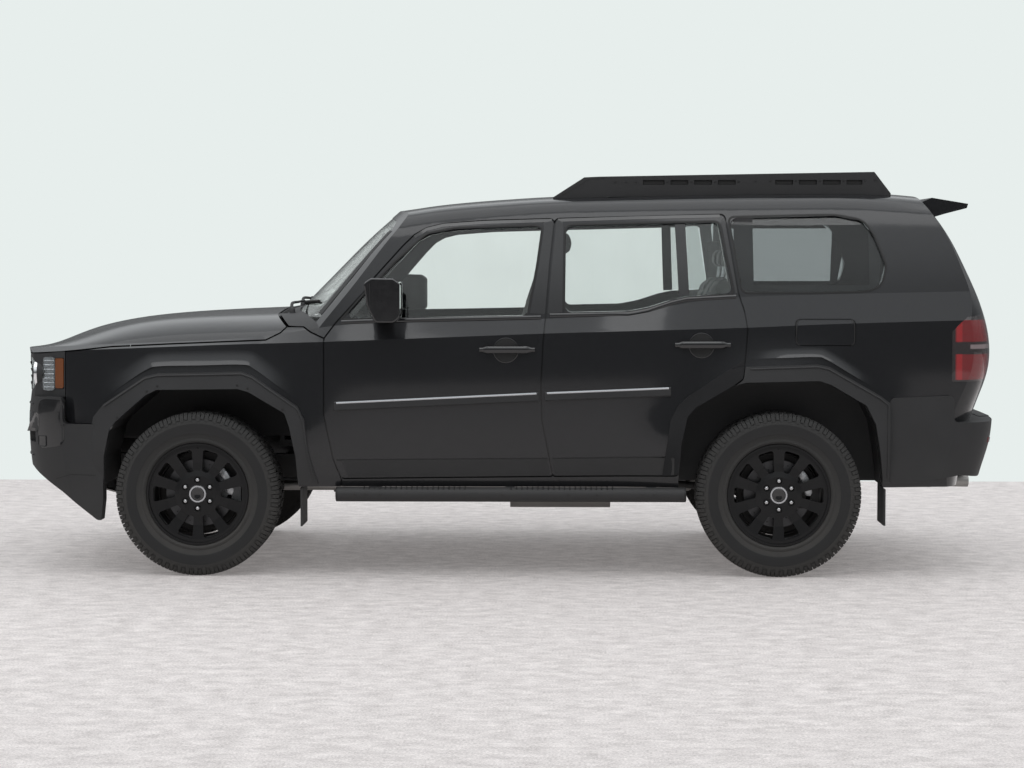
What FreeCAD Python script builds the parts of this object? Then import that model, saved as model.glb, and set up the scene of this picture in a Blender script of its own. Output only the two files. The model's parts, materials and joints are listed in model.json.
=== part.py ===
import FreeCAD, Part
import math
import os

V = FreeCAD.Vector

# Overall sizes, in millimetres. The front faces -X, the left side is -Y, and the floor is z = 0.
LENGTH = 4925.0
HALF_WIDTH = 990.0
BODY_HEIGHT = 1900.0
WHEELBASE = 2850.0
FRONT_OVERHANG = 940.0
FRONT_X = -LENGTH / 2
REAR_X = LENGTH / 2
FRONT_AXLE_X = FRONT_X + FRONT_OVERHANG
REAR_AXLE_X = FRONT_AXLE_X + WHEELBASE
FRONT_AXLE_SHARE = 940 / 4925
REAR_AXLE_SHARE = 3790 / 4925

# Wheels
TYRE_RADIUS = 403.0
TYRE_WIDTH = 262.0
HALF_TRACK = 832.0
AXLE_Z = TYRE_RADIUS
RIM_RADIUS = 250.0
RIM_WALL = 9.0
SPOKES = 10
DISC_RADIUS = 168.0
SEAT = 0.3

# Panel build-up
SKIN = 14.0
RECESS = 21.0
WALL = 88.0
FRAME = 46.0
ROOF = 30.0
HOOD = 18.0
TAIL_WALL = 60.0
HALF_GAP = 3.5
JAMB_LAP = 42.0
BOX_INSET = 60.0
GLASS = 5.0
GLASS_SET = 12.0
FLARE = 20.0
BUMPER_WALL = 70.0
STATIONS = 25
LEVELS = 12
FAR = 3000.0

# Lines of the body side, as (share of the length, share of the height or of the half width)
TAPER_SHARES = [(0.0, 0.80), (0.03, 0.885), (0.06, 0.93), (0.10, 0.962), (0.15, 0.985), (0.22, 0.998),
                (0.30, 1.0), (0.75, 1.0), (0.85, 0.99), (0.92, 0.97), (0.96, 0.955), (1.0, 0.93)]
CREASE_SHARES = [(0.0, 0.572), (0.07, 0.583), (0.22, 0.599), (0.32, 0.606), (0.535, 0.628), (0.74, 0.643),
                 (0.81, 0.652), (0.92, 0.660), (1.0, 0.664)]
BELT_SHARES = [(0.0, 0.584), (0.07, 0.595), (0.24, 0.613), (0.29, 0.632), (0.33, 0.651), (0.54, 0.665),
               (0.62, 0.676), (0.67, 0.704), (0.72, 0.722), (0.81, 0.728), (0.88, 0.732), (1.0, 0.738)]
RAIL_SHARES = [(0.0, 0.88), (0.40, 0.89), (0.435, 0.912), (0.48, 0.920), (0.55, 0.926), (0.72, 0.936),
               (1.0, 0.945)]
ROOF_SHARES = [(0.0, 0.92), (0.38, 0.93), (0.40, 0.9436), (0.43, 0.9542), (0.4715, 0.9634), (0.543, 0.9754),
               (0.695, 0.984), (0.86, 0.988), (0.92, 0.976), (1.0, 0.95)]
HOOD_CENTRE_SHARES = [(0.0, 0.56), (0.012, 0.577), (0.027, 0.602), (0.04, 0.619), (0.063, 0.641),
                      (0.1056, 0.6605), (0.142, 0.669), (0.19, 0.6775), (0.238, 0.682), (0.30, 0.690),
                      (0.36, 0.70), (1.0, 0.70)]
HOOD_RIDGE_SHARES = [(0.0, 0.555), (0.03, 0.585), (0.0639, 0.606), (0.0772, 0.626), (0.0986, 0.6423),
                     (0.1334, 0.6576), (0.1844, 0.6669), (0.257, 0.672), (0.36, 0.69), (1.0, 0.69)]
SILL_SHARE = 0.232
LOW_SHARE = 0.10
SIDE_RISE_SHARES = [0.0, 0.20, 0.32, 0.46, 0.62, 0.75, 0.88, 1.0]
SIDE_WIDTH_SHARES = [0.870, 0.905, 0.932, 0.947, 0.954, 0.954, 0.951, 0.944]
SWELL_SHARES = [0.3, 0.8, 1.0, 1.0, 1.0, 0.95, 0.30, 0.0]
BELT_WIDTH_SHARE = 0.893
HOUSE_RISE_SHARES = [0.35, 0.70, 1.0]
HOUSE_WIDTH_SHARES = [0.862, 0.812, 0.765]
ROOF_DROP_SHARES = [0.026, 0.002, -0.004, -0.012, -0.014]
ROOF_WIDTH_SHARES = [0.738, 0.690, 0.60, 0.35, 0.0]
HOOD_WIDTH_SHARES = [0.862, 0.77, 0.66, 0.52, 0.25, 0.0]
HOOD_EDGE_SHARES = [0.30, 0.74, 1.0]
HOOD_CROWN_SHARES = [0.25, 1.0, 1.0]
BULGE = 36.0
BULGE_INNER = 575.0
BULGE_OUTER = 660.0

# Front and rear ends in plan: (share of the half width, share of the length)
NOSE_BOW_SHARES = [(0.0, 0.0), (0.3, 0.0015), (0.6, 0.006), (0.76, 0.013), (0.86, 0.024), (0.93, 0.044),
                   (0.98, 0.080), (1.06, 0.16)]
NOSE_SHARES = [(0.10, 0.03), (0.20, 0.010), (0.277, 0.003), (0.302, 0.001), (0.44, 0.001), (0.47, 0.007),
               (0.554, 0.007), (0.575, 0.002), (0.62, 0.0), (1.0, 0.0)]
WINDSCREEN_BOW_SHARES = [(0.0, -0.021), (0.2, -0.020), (0.4, -0.015), (0.55, -0.009), (0.68, 0.0),
                         (0.8, 0.012), (1.0, 0.05)]
WINDSCREEN_SHARES = [(0.50, 0.245), (0.55, 0.250), (0.65, 0.2822), (0.7193, 0.3108), (0.9275, 0.3899),
                     (0.9428, 0.397), (0.97, 0.412), (1.05, 0.455)]
TAIL_BOW_SHARES = [(0.0, 0.006), (0.3, 0.005), (0.55, 0.001), (0.70, -0.003), (0.82, -0.009), (0.90, -0.020),
                   (0.95, -0.045), (1.02, -0.12)]
ENDS_LOW_SHARE = 0.05
NOSE_HIGH_SHARE = 0.90
HOUSE_HIGH_SHARE = 1.10
NOSE_BACK_SHARE = 0.5
SCREEN_BACK_SHARE = 1.08
TAIL_BACK_SHARE = -0.05
TAIL_SHARES = [(0.10, 0.950), (0.40, 0.966), (0.43, 0.972), (0.47, 0.981), (0.516, 0.9895), (0.6584, 0.9885), 
               (0.6847, 0.9834), (0.80, 0.962), (0.9325, 0.9366), (0.96, 0.928), (1.0, 0.910), (1.1, 0.86)]


def x_at(share):
    """Length shares are tied to the two axles, so the wheelbase moves what stands by it."""
    marks = [(0.0, FRONT_X), (FRONT_AXLE_SHARE, FRONT_AXLE_X), (REAR_AXLE_SHARE, REAR_AXLE_X), (1.0, REAR_X)]
    if share < 0:
        return FRONT_X + share * LENGTH
    for (s0, x0), (s1, x1) in zip(marks, marks[1:]):
        if share <= s1:
            return x0 + (share - s0) / (s1 - s0) * (x1 - x0)
    return REAR_X + (share - 1) * LENGTH


def y_at(share):
    return share * HALF_WIDTH


def z_at(share):
    return share * BODY_HEIGHT


def along(table, share):
    """The value at a share, between the pairs of a table."""
    if share <= table[0][0]:
        return table[0][1]
    for (s0, v0), (s1, v1) in zip(table, table[1:]):
        if share <= s1:
            return v0 + (v1 - v0) * (share - s0) / (s1 - s0)
    return table[-1][1]


def ease(t):
    t = max(0.0, min(1.0, t))
    return t * t * (3 - 2 * t)


# Surfaces from grids of poles
def clamped_knots(poles, degree):
    spans = poles - degree
    knots = [i / spans for i in range(spans + 1)]
    mults = [degree + 1] + [1] * (spans - 1) + [degree + 1]
    return knots, mults


def patch(grid):
    rows, columns = len(grid), len(grid[0])
    du, dv = min(3, rows - 1), min(3, columns - 1)
    ku, mu = clamped_knots(rows, du)
    kv, mv = clamped_knots(columns, dv)
    surface = Part.BSplineSurface()
    surface.buildFromPolesMultsKnots(grid, mu, mv, ku, kv, False, False, du, dv)
    return surface.toShape()


def end_edge(poles):
    degree = min(3, len(poles) - 1)
    knots, mults = clamped_knots(len(poles), degree)
    curve = Part.BSplineCurve()
    curve.buildFromPolesMultsKnots(poles, mults, knots, False, degree)
    return curve.toShape()


def loop_solid(patches):
    """A closed solid from a ring of pole grids whose end sections are flat."""
    faces = [patch(grid) for grid in patches]
    for end in (0, -1):
        edges = [end_edge(grid[end]) for grid in patches]
        faces.append(Part.Face(Part.Wire(Part.__sortEdges__(edges))))
    shell = Part.makeShell(faces)
    shell.sewShape()
    solid = Part.makeSolid(Part.Shell(shell.Faces))
    if solid.Volume < 0:
        solid.reverse()
    return solid


def bulge(x, z):
    """How far the skin swells out round the wheel arches."""
    most = 0.0
    for axle in (FRONT_AXLE_X, REAR_AXLE_X):
        d = math.hypot(x - axle, z - AXLE_Z)
        most = max(most, ease((BULGE_OUTER - d) / (BULGE_OUTER - BULGE_INNER)))
    return BULGE * most


def lower_poles(share, depth):
    x, taper = x_at(share), along(TAPER_SHARES, share)
    low, high = z_at(LOW_SHARE), z_at(along(CREASE_SHARES, share))
    poles = []
    for rise, width, swell in zip(SIDE_RISE_SHARES, SIDE_WIDTH_SHARES, SWELL_SHARES):
        z = low + rise * (high - low)
        poles.append((x, y_at(width * taper) + swell * bulge(x, z) - depth, z))
    return poles


def house_poles(share, depth, roof_depth):
    """Belt line, side glass, roof rail and crown."""
    x, taper = x_at(share), along(TAPER_SHARES, share)
    belt, rail, roof = (z_at(along(t, share)) for t in (BELT_SHARES, RAIL_SHARES, ROOF_SHARES))
    poles = [(x, y_at(BELT_WIDTH_SHARE * taper) - depth, belt)]
    for width, rise in zip(HOUSE_WIDTH_SHARES, HOUSE_RISE_SHARES):
        poles.append((x, y_at(width * taper) - depth, belt + rise * (rail - belt)))
    for i, (width, drop) in enumerate(zip(ROOF_WIDTH_SHARES, ROOF_DROP_SHARES)):
        sunk = roof_depth * (0.5 if i == 0 else 1.0)
        poles.append((x, max(0.0, y_at(width * taper) - depth), roof - z_at(drop) - sunk))
    return poles


def hood_poles(share, depth, roof_depth):
    """Belt line, fender shoulder, hood ridge and hood centre."""
    x, taper = x_at(share), along(TAPER_SHARES, share)
    edge = z_at(along(BELT_SHARES, share))
    ridge = max(edge, z_at(along(HOOD_RIDGE_SHARES, share)))
    centre = z_at(along(HOOD_CENTRE_SHARES, share))
    heights = [edge + part * (ridge - edge) for part in HOOD_EDGE_SHARES]
    heights += [ridge + part * (centre - ridge) for part in HOOD_CROWN_SHARES]
    poles = [(x, y_at(BELT_WIDTH_SHARE * taper) - depth, edge)]
    for width, z in zip(HOOD_WIDTH_SHARES, heights):
        poles.append((x, max(0.0, y_at(width * taper) - depth), z - roof_depth))
    return poles


def left_of(poles):
    return [V(x, -y, z) for x, y, z in poles]


def right_of(poles):
    return [V(x, y, z) for x, y, z in reversed(poles)]


def body_loft(top, depth, upper_depth, roof_depth):
    """The body as one solid reaching below the sills, its skin set in by the given depths."""
    rows = []
    for i in range(STATIONS):
        share = i / (STATIONS - 1)
        low = lower_poles(share, depth)
        house = top(share, upper_depth, roof_depth)
        middle = tuple((a + b) / 2 for a, b in zip(low[-1], house[0]))
        band = [low[-1], middle, house[0]]
        rows.append((left_of(low), left_of(band), left_of(house) + right_of(house)[1:],
                     right_of(band), right_of(low), [right_of(low)[-1], left_of(low)[0]]))
    return loop_solid([list(column) for column in zip(*rows)])


def plan_loft(profile, bow, depth, back_share, high_share):
    """An end of the body: curved in plan and in profile, flat at the back."""
    out = 1.0 if x_at(back_share) > x_at(profile[0][1]) else -1.0
    edge = y_at(bow[-1][0])
    fronts, sides, backs, others = [], [], [], []
    for i in range(LEVELS):
        share = ENDS_LOW_SHARE + (high_share - ENDS_LOW_SHARE) * i / (LEVELS - 1)
        z, base = z_at(share), along(profile, share)
        half = [(x_at(base + b) + out * depth, min(y_at(w), edge)) for w, b in bow]
        front = [V(x, -y, z) for x, y in reversed(half)] + [V(x, y, z) for x, y in half[1:]]
        back_left, back_right = V(x_at(back_share), -edge, z), V(x_at(back_share), edge, z)
        fronts.append(front)
        sides.append([front[-1], back_right])
        backs.append([back_right, back_left])
        others.append([back_left, front[0]])
    return loop_solid([fronts, sides, backs, others])


def nose_loft(depth):
    return plan_loft(NOSE_SHARES, NOSE_BOW_SHARES, depth, NOSE_BACK_SHARE, NOSE_HIGH_SHARE)


def screen_loft(depth):
    return plan_loft(WINDSCREEN_SHARES, WINDSCREEN_BOW_SHARES, depth, SCREEN_BACK_SHARE, HOUSE_HIGH_SHARE)


def tail_loft(depth):
    return plan_loft(TAIL_SHARES, TAIL_BOW_SHARES, depth, TAIL_BACK_SHARE, HOUSE_HIGH_SHARE)


# Simple shapes
def box(x0, x1, y0, y1, z0, z1):
    x0, x1 = min(x0, x1), max(x0, x1)
    y0, y1 = min(y0, y1), max(y0, y1)
    return Part.makeBox(x1 - x0, y1 - y0, z1 - z0, V(x0, y0, z0))


def share_box(b):
    return box(x_at(b[0]), x_at(b[1]), y_at(b[2]), y_at(b[3]), z_at(b[4]), z_at(b[5]))


def rounded(points, radius):
    """A closed wire through the points, its corners rounded as far as they allow."""
    edges, marks = [], []
    count = len(points)
    for i, p in enumerate(points):
        a, b = points[i - 1] - p, points[(i + 1) % count] - p
        u, w = V(a).normalize(), V(b).normalize()
        half = math.acos(max(-1.0, min(1.0, u.dot(w)))) / 2
        if radius == 0 or half > 0.485 * math.pi:
            marks.append((p, None, p))
            continue
        d = min(radius / math.tan(half), 0.42 * a.Length, 0.42 * b.Length)
        r = d * math.tan(half)
        middle = (u + w).normalize() * (d / math.cos(half) - r)
        marks.append((p + u * d, p + middle, p + w * d))
    for i, (start, middle, end) in enumerate(marks):
        if middle is not None:
            edges.append(Part.Arc(start, middle, end).toShape())
        following = marks[(i + 1) % count][0]
        edges.append(Part.makeLine(end, following))
    return Part.Wire(edges)


def side_outline(shares, radius, grow=0.0):
    """A face in the plane y = 0 from (length share, height share) points."""
    wire = rounded([V(x_at(s), 0, z_at(h)) for s, h in shares], radius)
    if grow:
        wire = wire.makeOffset2D(grow)
    return Part.Face(wire)


def side_plate(shares, y0, y1, radius=0.0, grow=0.0):
    face = side_outline(shares, radius, grow)
    face.translate(V(0, min(y0, y1), 0))
    return face.extrude(V(0, abs(y1 - y0), 0))


def end_plate(shares, x0, x1, radius=0.0, grow=0.0):
    """A plate across the body from (half-width share, height share) points."""
    wire = rounded([V(0, y_at(s), z_at(h)) for s, h in shares], radius)
    if grow:
        wire = wire.makeOffset2D(grow)
    face = Part.Face(wire)
    face.translate(V(min(x0, x1), 0, 0))
    return face.extrude(V(abs(x1 - x0), 0, 0))


def mirrored_points(half):
    return half + [(-s, h) for s, h in reversed(half)]


def other_side(shape):
    return shape.mirror(V(0, 0, 0), V(0, 1, 0))


def pair(shape):
    return [shape, other_side(shape)]


def rod(points, radius):
    """Round bars from point to point, joined by balls."""
    parts = []
    for a, b in zip(points, points[1:]):
        parts.append(Part.makeCylinder(radius, (b - a).Length, a, b - a))
    for p in points[1:-1]:
        parts.append(Part.makeSphere(radius, p))
    return parts[0] if len(parts) == 1 else parts[0].multiFuse(parts[1:])


def at(s, w, h):
    return V(x_at(s), y_at(w), z_at(h))


def disc(radius, y0, y1, x, z):
    """A round plate across the car, from y0 to y1."""
    return Part.makeCylinder(radius, abs(y1 - y0), V(x, min(y0, y1), z), V(0, 1, 0))


def lathe(profile):
    """A ring about the y axis from (offset, radius) points."""
    wire = Part.makePolygon([V(0, y, r) for y, r in profile + profile[:1]])
    return Part.Face(wire).revolve(V(0, 0, 0), V(0, 1, 0), 360)


def largest(shape):
    return max(shape.Solids, key=lambda s: s.Volume)


def one(shapes):
    """Shapes joined into one, without the seams between them."""
    joined = shapes[0] if len(shapes) == 1 else shapes[0].multiFuse(shapes[1:])
    return joined.removeSplitter()


# Outlines of the side, as (share of the length, share of the height)
FRONT_DOOR_SHARES = [(0.3344, 0.2524), (0.5453, 0.2589), (0.5443, 0.2769), (0.5383, 0.354), (0.5344, 0.4054),
                     (0.5334, 0.498), (0.5354, 0.6034), (0.5383, 0.6762), (0.5422, 0.8019), (0.5472, 0.9239),
                     (0.4756, 0.9187), (0.4348, 0.9104), (0.4182, 0.900), (0.4057, 0.8818), (0.3936, 0.8505),
                     (0.366, 0.7699), (0.3565, 0.7335), (0.3281, 0.6528), (0.3176, 0.615), (0.3176, 0.4209),
                     (0.3266, 0.3062)]
REAR_DOOR_SHARES = [(0.5453, 0.2589), (0.6700, 0.262), (0.6732, 0.3487), (0.679, 0.4144), (0.6871, 0.4385),
                    (0.7244, 0.4958), (0.7328, 0.512), (0.7348, 0.5494), (0.7368, 0.6016), (0.7377, 0.6394),
                    (0.7348, 0.6857), (0.7292, 0.7315), (0.7229, 0.8381), (0.7168, 0.9348), (0.5472, 0.9239),
                    (0.5422, 0.8019), (0.5383, 0.6762), (0.5354, 0.6034), (0.5334, 0.498), (0.5344, 0.4054),
                    (0.5383, 0.354), (0.5443, 0.2769)]
FRONT_WINDOW_SHARES = [(0.3328, 0.6640), (0.3578, 0.7285), (0.3879, 0.8116), (0.4185, 0.8830), (0.447, 0.8973),
                       (0.5269, 0.9037), (0.5332, 0.8990), (0.5282, 0.8038), (0.5190, 0.6740)]
REAR_WINDOW_SHARES = [(0.5572, 0.6817), (0.5582, 0.905), (0.7105, 0.914), (0.7160, 0.83), (0.7235, 0.7300),
                      (0.6784, 0.7233), (0.6640, 0.7150), (0.6400, 0.6950), (0.6201, 0.6853)]
QUARTER_SHARES = [(0.7335, 0.7349), (0.7215, 0.925), (0.8267, 0.931), (0.8538, 0.918), (0.8642, 0.8827),
                  (0.8758, 0.8012), (0.8708, 0.7534), (0.8576, 0.7380), (0.8127, 0.7350)]
FUEL_LID_SHARES = [(0.7854, 0.5983), (0.7854, 0.6640), (0.8439, 0.6640), (0.8439, 0.5983)]
SHUT_LINE_SHARES = [(-0.05, 0.573), (0.0305, 0.573), (0.0669, 0.5818), (0.1038, 0.5921), (0.1636, 0.5998),
                    (0.2592, 0.6102), (0.2732, 0.6283), (0.2790, 0.6438)]
FRONT_ARCH_SHARES = [(0.0900, 0.05), (0.0962, 0.20), (0.0975, 0.3088), (0.1031, 0.3773), (0.1096, 0.4001),
                     (0.1405, 0.4689), (0.1515, 0.483), (0.233, 0.4858), (0.2441, 0.4774), (0.2793, 0.4229),
                     (0.2837, 0.3896), (0.2902, 0.3088), (0.2925, 0.2182), (0.2925, 0.05)]
REAR_ARCH_SHARES = [(0.6690, 0.05), (0.6697, 0.2514), (0.6732, 0.3487), (0.679, 0.4144), (0.6871, 0.4385),
                    (0.7244, 0.4958), (0.7358, 0.5037), (0.8082, 0.5081), (0.8198, 0.4979), (0.8548, 0.4446),
                    (0.8642, 0.3963), (0.8688, 0.3239), (0.8721, 0.254), (0.8721, 0.05)]
FRONT_FLARE_SHARES = [(0.0788, 0.2399), (0.081, 0.3307), (0.0865, 0.4107), (0.0975, 0.4451), (0.1396, 0.5169),
                      (0.1525, 0.5251), (0.2366, 0.5297), (0.2475, 0.5194), (0.2919, 0.4399), (0.2986, 0.405),
                      (0.3029, 0.3194), (0.3118, 0.2380)]
REAR_FLARE_SHARES = [(0.6535, 0.2640), (0.6618, 0.4074), (0.6688, 0.4438), (0.6781, 0.4656), (0.7201, 0.5374),
                     (0.7341, 0.5435), (0.8065, 0.5497), (0.8182, 0.5435), (0.8695, 0.4681), (0.8787, 0.4500),
                     (0.8787, 0.2440), (0.6535, 0.2440)]
BUMPER_SIDE_SHARES = [(0.0900, 0.1434), (0.0551, 0.2158), (0.0189, 0.2769), (-0.02, 0.29), (-0.02, 0.4616),
                      (0.0560, 0.4616), (0.0560, 0.3920), (0.0960, 0.3920), (0.0960, 0.1434)]
GRILLE_SIDE_SHARES = [(-0.02, 0.4616), (-0.02, 0.573), (0.0305, 0.573), (0.0560, 0.5795), (0.0560, 0.4616)]
FENDER_SHARES = [(0.0560, 0.4070), (0.0560, 0.5795), (0.0669, 0.5818), (0.1038, 0.5921), (0.1636, 0.5998),
                 (0.2592, 0.6102), (0.2732, 0.6283), (0.2790, 0.6438), (0.2960, 0.6438), (0.3040, 0.6300),
                 (0.3176, 0.615), (0.3176, 0.4209), (0.3266, 0.3062), (0.3344, 0.2524), (0.3344, 0.20),
                 (0.1000, 0.20), (0.1000, 0.3920), (0.0618, 0.3920)]
REAR_BUMPER_SIDE_SHARES = [(0.8787, 0.2440), (0.8787, 0.4631), (0.9421, 0.4697), (0.9421, 0.4000), (1.02, 0.4000),
                           (1.02, 0.3180), (0.9914, 0.3150), (0.9735, 0.2550), (0.9500, 0.2640), (0.9000, 0.2440)]
TAILGATE_HALF_SHARES = [(0.690, 0.470), (0.715, 0.520), (0.715, 0.665), (0.665, 0.80), (0.600, 0.90),
                        (0.575, 0.94), (0.575, 1.08)]
TAILGATE_TOP_SHARE = 0.9170
TAIL_WINDOW_HALF_SHARES = [(0.615, 0.700), (0.570, 0.82), (0.515, 0.915)]
TAIL_LAMP_SHARES = [(0.9404, 0.6334), (0.9559, 0.672), (1.02, 0.6785), (1.02, 0.5044), (0.9404, 0.5044)]
SPOILER_SHARES = [(0.9190, 0.968), (0.9300, 0.9800), (0.9667, 0.9640), (0.9653, 0.9526), (0.9437, 0.9382),
                  (0.9330, 0.9300), (0.9250, 0.9400)]
SPOILER_WIDTH_SHARE = 0.57
FLARE_WIDTH_SHARE = 0.55
SIDE_START_SHARE = 0.255
SIDE_SPLIT_SHARE = 0.695
ROOF_START_SHARE = 0.90
REAR_SILL_WIDTH_SHARE = 0.60
REAR_SILL_START_SHARE = 0.940
TAILGATE_HINGE_SHARES = (0.30, 0.36)
TAILGATE_PIN_SHARE = 0.980
TAILGATE_BEVEL_SHARES = [(0.9176, 0.9800), (0.9211, 0.9891), (0.9100, 0.9891), (0.9100, 0.9800)]
TAILGATE_RELIEF = 24.0
TAILGATE_RELIEF_TOP_SHARE = 0.93
TAILGATE_PIN = 9.0
LID_PIN = 3.0


def lofts():
    """The body volumes that the panels are cut from."""
    far_left = box(-FAR, FAR, -FAR, 0, -FAR, FAR)
    tail, tail_in = tail_loft(0.0), tail_loft(TAIL_WALL)
    screen = screen_loft(0.0)
    nose, nose_in = nose_loft(0.0), nose_loft(HOOD)
    above_sill = box(-FAR, FAR, -FAR, FAR, z_at(SILL_SHARE), FAR)
    outer = body_loft(house_poles, 0.0, 0.0, 0.0).common(above_sill)
    inner = body_loft(house_poles, WALL, FRAME, ROOF)
    hull = outer.common(tail)
    shell = hull.cut(inner.common(tail_in))
    left = {
        "outer": outer.common(far_left),
        "skin": body_loft(house_poles, SKIN, SKIN, SKIN).common(far_left),
        "recess": body_loft(house_poles, RECESS, RECESS, RECESS).common(far_left),
        "glass": body_loft(house_poles, GLASS_SET, GLASS_SET, GLASS_SET).cut(
            body_loft(house_poles, GLASS_SET + GLASS, GLASS_SET + GLASS, GLASS_SET + GLASS)
        ).common(far_left),
        "flare": body_loft(house_poles, -FLARE, -FLARE, -FLARE).common(above_sill).cut(
            body_loft(house_poles, -SEAT, -SEAT, -SEAT)).common(far_left),
    }
    left["wall"] = outer.cut(inner).common(far_left)
    cabin_front = box(x_at(SIDE_START_SHARE), FAR, -FAR, FAR, -FAR, FAR)
    shell = shell.common(screen).common(cabin_front)
    front_outer = body_loft(hood_poles, 0.0, 0.0, 0.0).common(nose).common(above_sill)
    front_inner = body_loft(hood_poles, SKIN, SKIN, HOOD).common(nose_in)
    return {"left": left, "shell": shell, "hull": hull, "screen": screen, "nose": nose,
            "front_outer": front_outer, "front": front_outer.cut(front_inner), "front_inner": front_inner}


def prism(shares, radius, grow=0.0):
    return side_plate(shares, -FAR, 0, radius, grow)


# Doors
DOOR_CORNER = 26.0
WINDOW_CORNER = 34.0


def opening(volumes, outline):
    """What a door leaves open in the wall: the skin layer in full, the rest inside the jamb."""
    skin_layer = prism(outline, DOOR_CORNER, HALF_GAP).cut(volumes["left"]["recess"])
    through = prism(outline, DOOR_CORNER, -JAMB_LAP)
    return [skin_layer, through]


def door(volumes, outline, window):
    left = volumes["left"]
    skin = left["outer"].cut(left["skin"]).common(prism(outline, DOOR_CORNER, -HALF_GAP))
    inside = left["wall"].common(left["skin"]).common(prism(outline, DOOR_CORNER, -BOX_INSET))
    whole = skin.fuse(inside)
    return largest(whole.cut(prism(window, WINDOW_CORNER)))


def window_glass(volumes, window):
    return volumes["left"]["glass"].common(prism(window, WINDOW_CORNER, -SEAT))


def front_door(volumes):
    return door(volumes, FRONT_DOOR_SHARES, FRONT_WINDOW_SHARES)


def rear_door(volumes):
    """The rear door carries the front end of the wheel-arch moulding."""
    panel = door(volumes, REAR_DOOR_SHARES, REAR_WINDOW_SHARES)
    flare = volumes["left"]["flare"].common(prism(REAR_FLARE_SHARES, 0.0))
    flare = flare.cut(prism(REAR_ARCH_SHARES, DOOR_CORNER))
    flare = flare.common(prism(REAR_DOOR_SHARES, DOOR_CORNER, -HALF_GAP))
    return Part.makeCompound([panel] + flare.Solids)


# Fixed body
LAMP_DEPTH = 34.0
LID_CORNER = 22.0
LID_HINGE_SHARES = (0.9460, 0.6030, 0.6220)
FENDER_INNER_SHARE = 0.62
WINDSCREEN_LOW_SHARE = 0.668
HOOD_TOP_SHARES = [(0.2652, 0.6748), (0.262, 0.72), (-0.05, 0.72)]


def side_left(volumes):
    """Pillars, sill, rear quarter and roof rail of the left side."""
    part = volumes["shell"].common(box(-FAR, FAR, -FAR, 0, -FAR, FAR)).cut(roof_space()).cut(rear_sill_space())
    for cut in opening(volumes, FRONT_DOOR_SHARES) + opening(volumes, REAR_DOOR_SHARES):
        part = part.cut(cut)
    for outline, radius in ((QUARTER_SHARES, WINDOW_CORNER), (REAR_ARCH_SHARES, DOOR_CORNER)):
        part = part.cut(prism(outline, radius))
    part = part.cut(prism(FENDER_SHARES, 0.0, HALF_GAP).cut(volumes["left"]["recess"]))
    part = part.cut(prism(FRONT_ARCH_SHARES, DOOR_CORNER, BUMPER_WALL))
    part = part.cut(prism(REAR_BUMPER_SIDE_SHARES, DOOR_CORNER))
    part = part.cut(tailgate_space(HALF_GAP))
    part = part.cut(side_plate(TAIL_LAMP_SHARES, -FAR, 0).cut(lamp_core(volumes)))
    return largest(part)


def lamp_core(volumes):
    """What lies behind the tail lamps."""
    return tail_loft(LAMP_DEPTH).common(volumes["left"]["recess"])


def lid_barrel(radius):
    """The upright hinge barrel at the front edge of the fuel lid."""
    width, low, high = LID_HINGE_SHARES
    extra = radius - LID_PIN
    foot = V(x_at(FUEL_LID_SHARES[0][0]), -y_at(width), z_at(low) - extra)
    return Part.makeCylinder(radius, z_at(high) - z_at(low) + 2 * extra, foot)


def fuel_opening(volumes):
    hole = prism(FUEL_LID_SHARES, LID_CORNER, HALF_GAP).cut(volumes["left"]["recess"])
    return hole.fuse(lid_barrel(LID_PIN + SEAT))


def fuel_lid(volumes):
    left = volumes["left"]
    lid = left["outer"].cut(left["skin"]).common(prism(FUEL_LID_SHARES, LID_CORNER))
    return one([lid, lid_barrel(LID_PIN)])


def tailgate_space(grow):
    outline = mirrored_points(TAILGATE_HALF_SHARES)
    return end_plate(outline, x_at(TAILGATE_TOP_SHARE) - grow, FAR, WINDOW_CORNER, grow)


def tailgate_relief():
    """The tailgate's inner part stands back from its outer skin, so that it swings clear."""
    edge = tailgate_space(0.0).cut(tailgate_space(-TAILGATE_RELIEF))
    below = box(-FAR, FAR, -FAR, FAR, -FAR, z_at(TAILGATE_RELIEF_TOP_SHARE))
    return edge.common(tail_loft(SKIN)).common(below)


def tailgate(volumes):
    part = volumes["shell"].common(tailgate_space(-HALF_GAP))
    part = part.cut(end_plate(mirrored_points(TAIL_WINDOW_HALF_SHARES), 0, FAR, WINDOW_CORNER))
    part = part.cut(tailgate_relief()).cut(side_plate(TAILGATE_BEVEL_SHARES, -FAR, FAR))
    wing = side_plate(SPOILER_SHARES, -y_at(SPOILER_WIDTH_SHARE), y_at(SPOILER_WIDTH_SHARE))
    return one([largest(part), wing] + hinge_barrels(TAILGATE_PIN))


def tailgate_glass(volumes):
    pane = tail_loft(GLASS_SET).cut(tail_loft(GLASS_SET + GLASS))
    return pane.common(end_plate(mirrored_points(TAIL_WINDOW_HALF_SHARES), 0, FAR, WINDOW_CORNER, -SEAT))


def roof_space():
    half = y_at(SIDE_SPLIT_SHARE)
    return box(-FAR, FAR, -half, half, z_at(ROOF_START_SHARE), FAR)


def rear_sill_space():
    half = y_at(REAR_SILL_WIDTH_SHARE)
    return box(x_at(REAR_SILL_START_SHARE), FAR, -half, half, -FAR, z_at(TAILGATE_HALF_SHARES[0][1]))


def hinge_barrels(radius):
    """The round parts of the two tailgate hinges, on the hinge line."""
    near, far = TAILGATE_HINGE_SHARES
    x, z = x_at(TAILGATE_TOP_SHARE), z_at(TAILGATE_PIN_SHARE)
    extra = radius - TAILGATE_PIN
    return pair(disc(radius, -y_at(far) - extra, -y_at(near) + extra, x, z))


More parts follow.
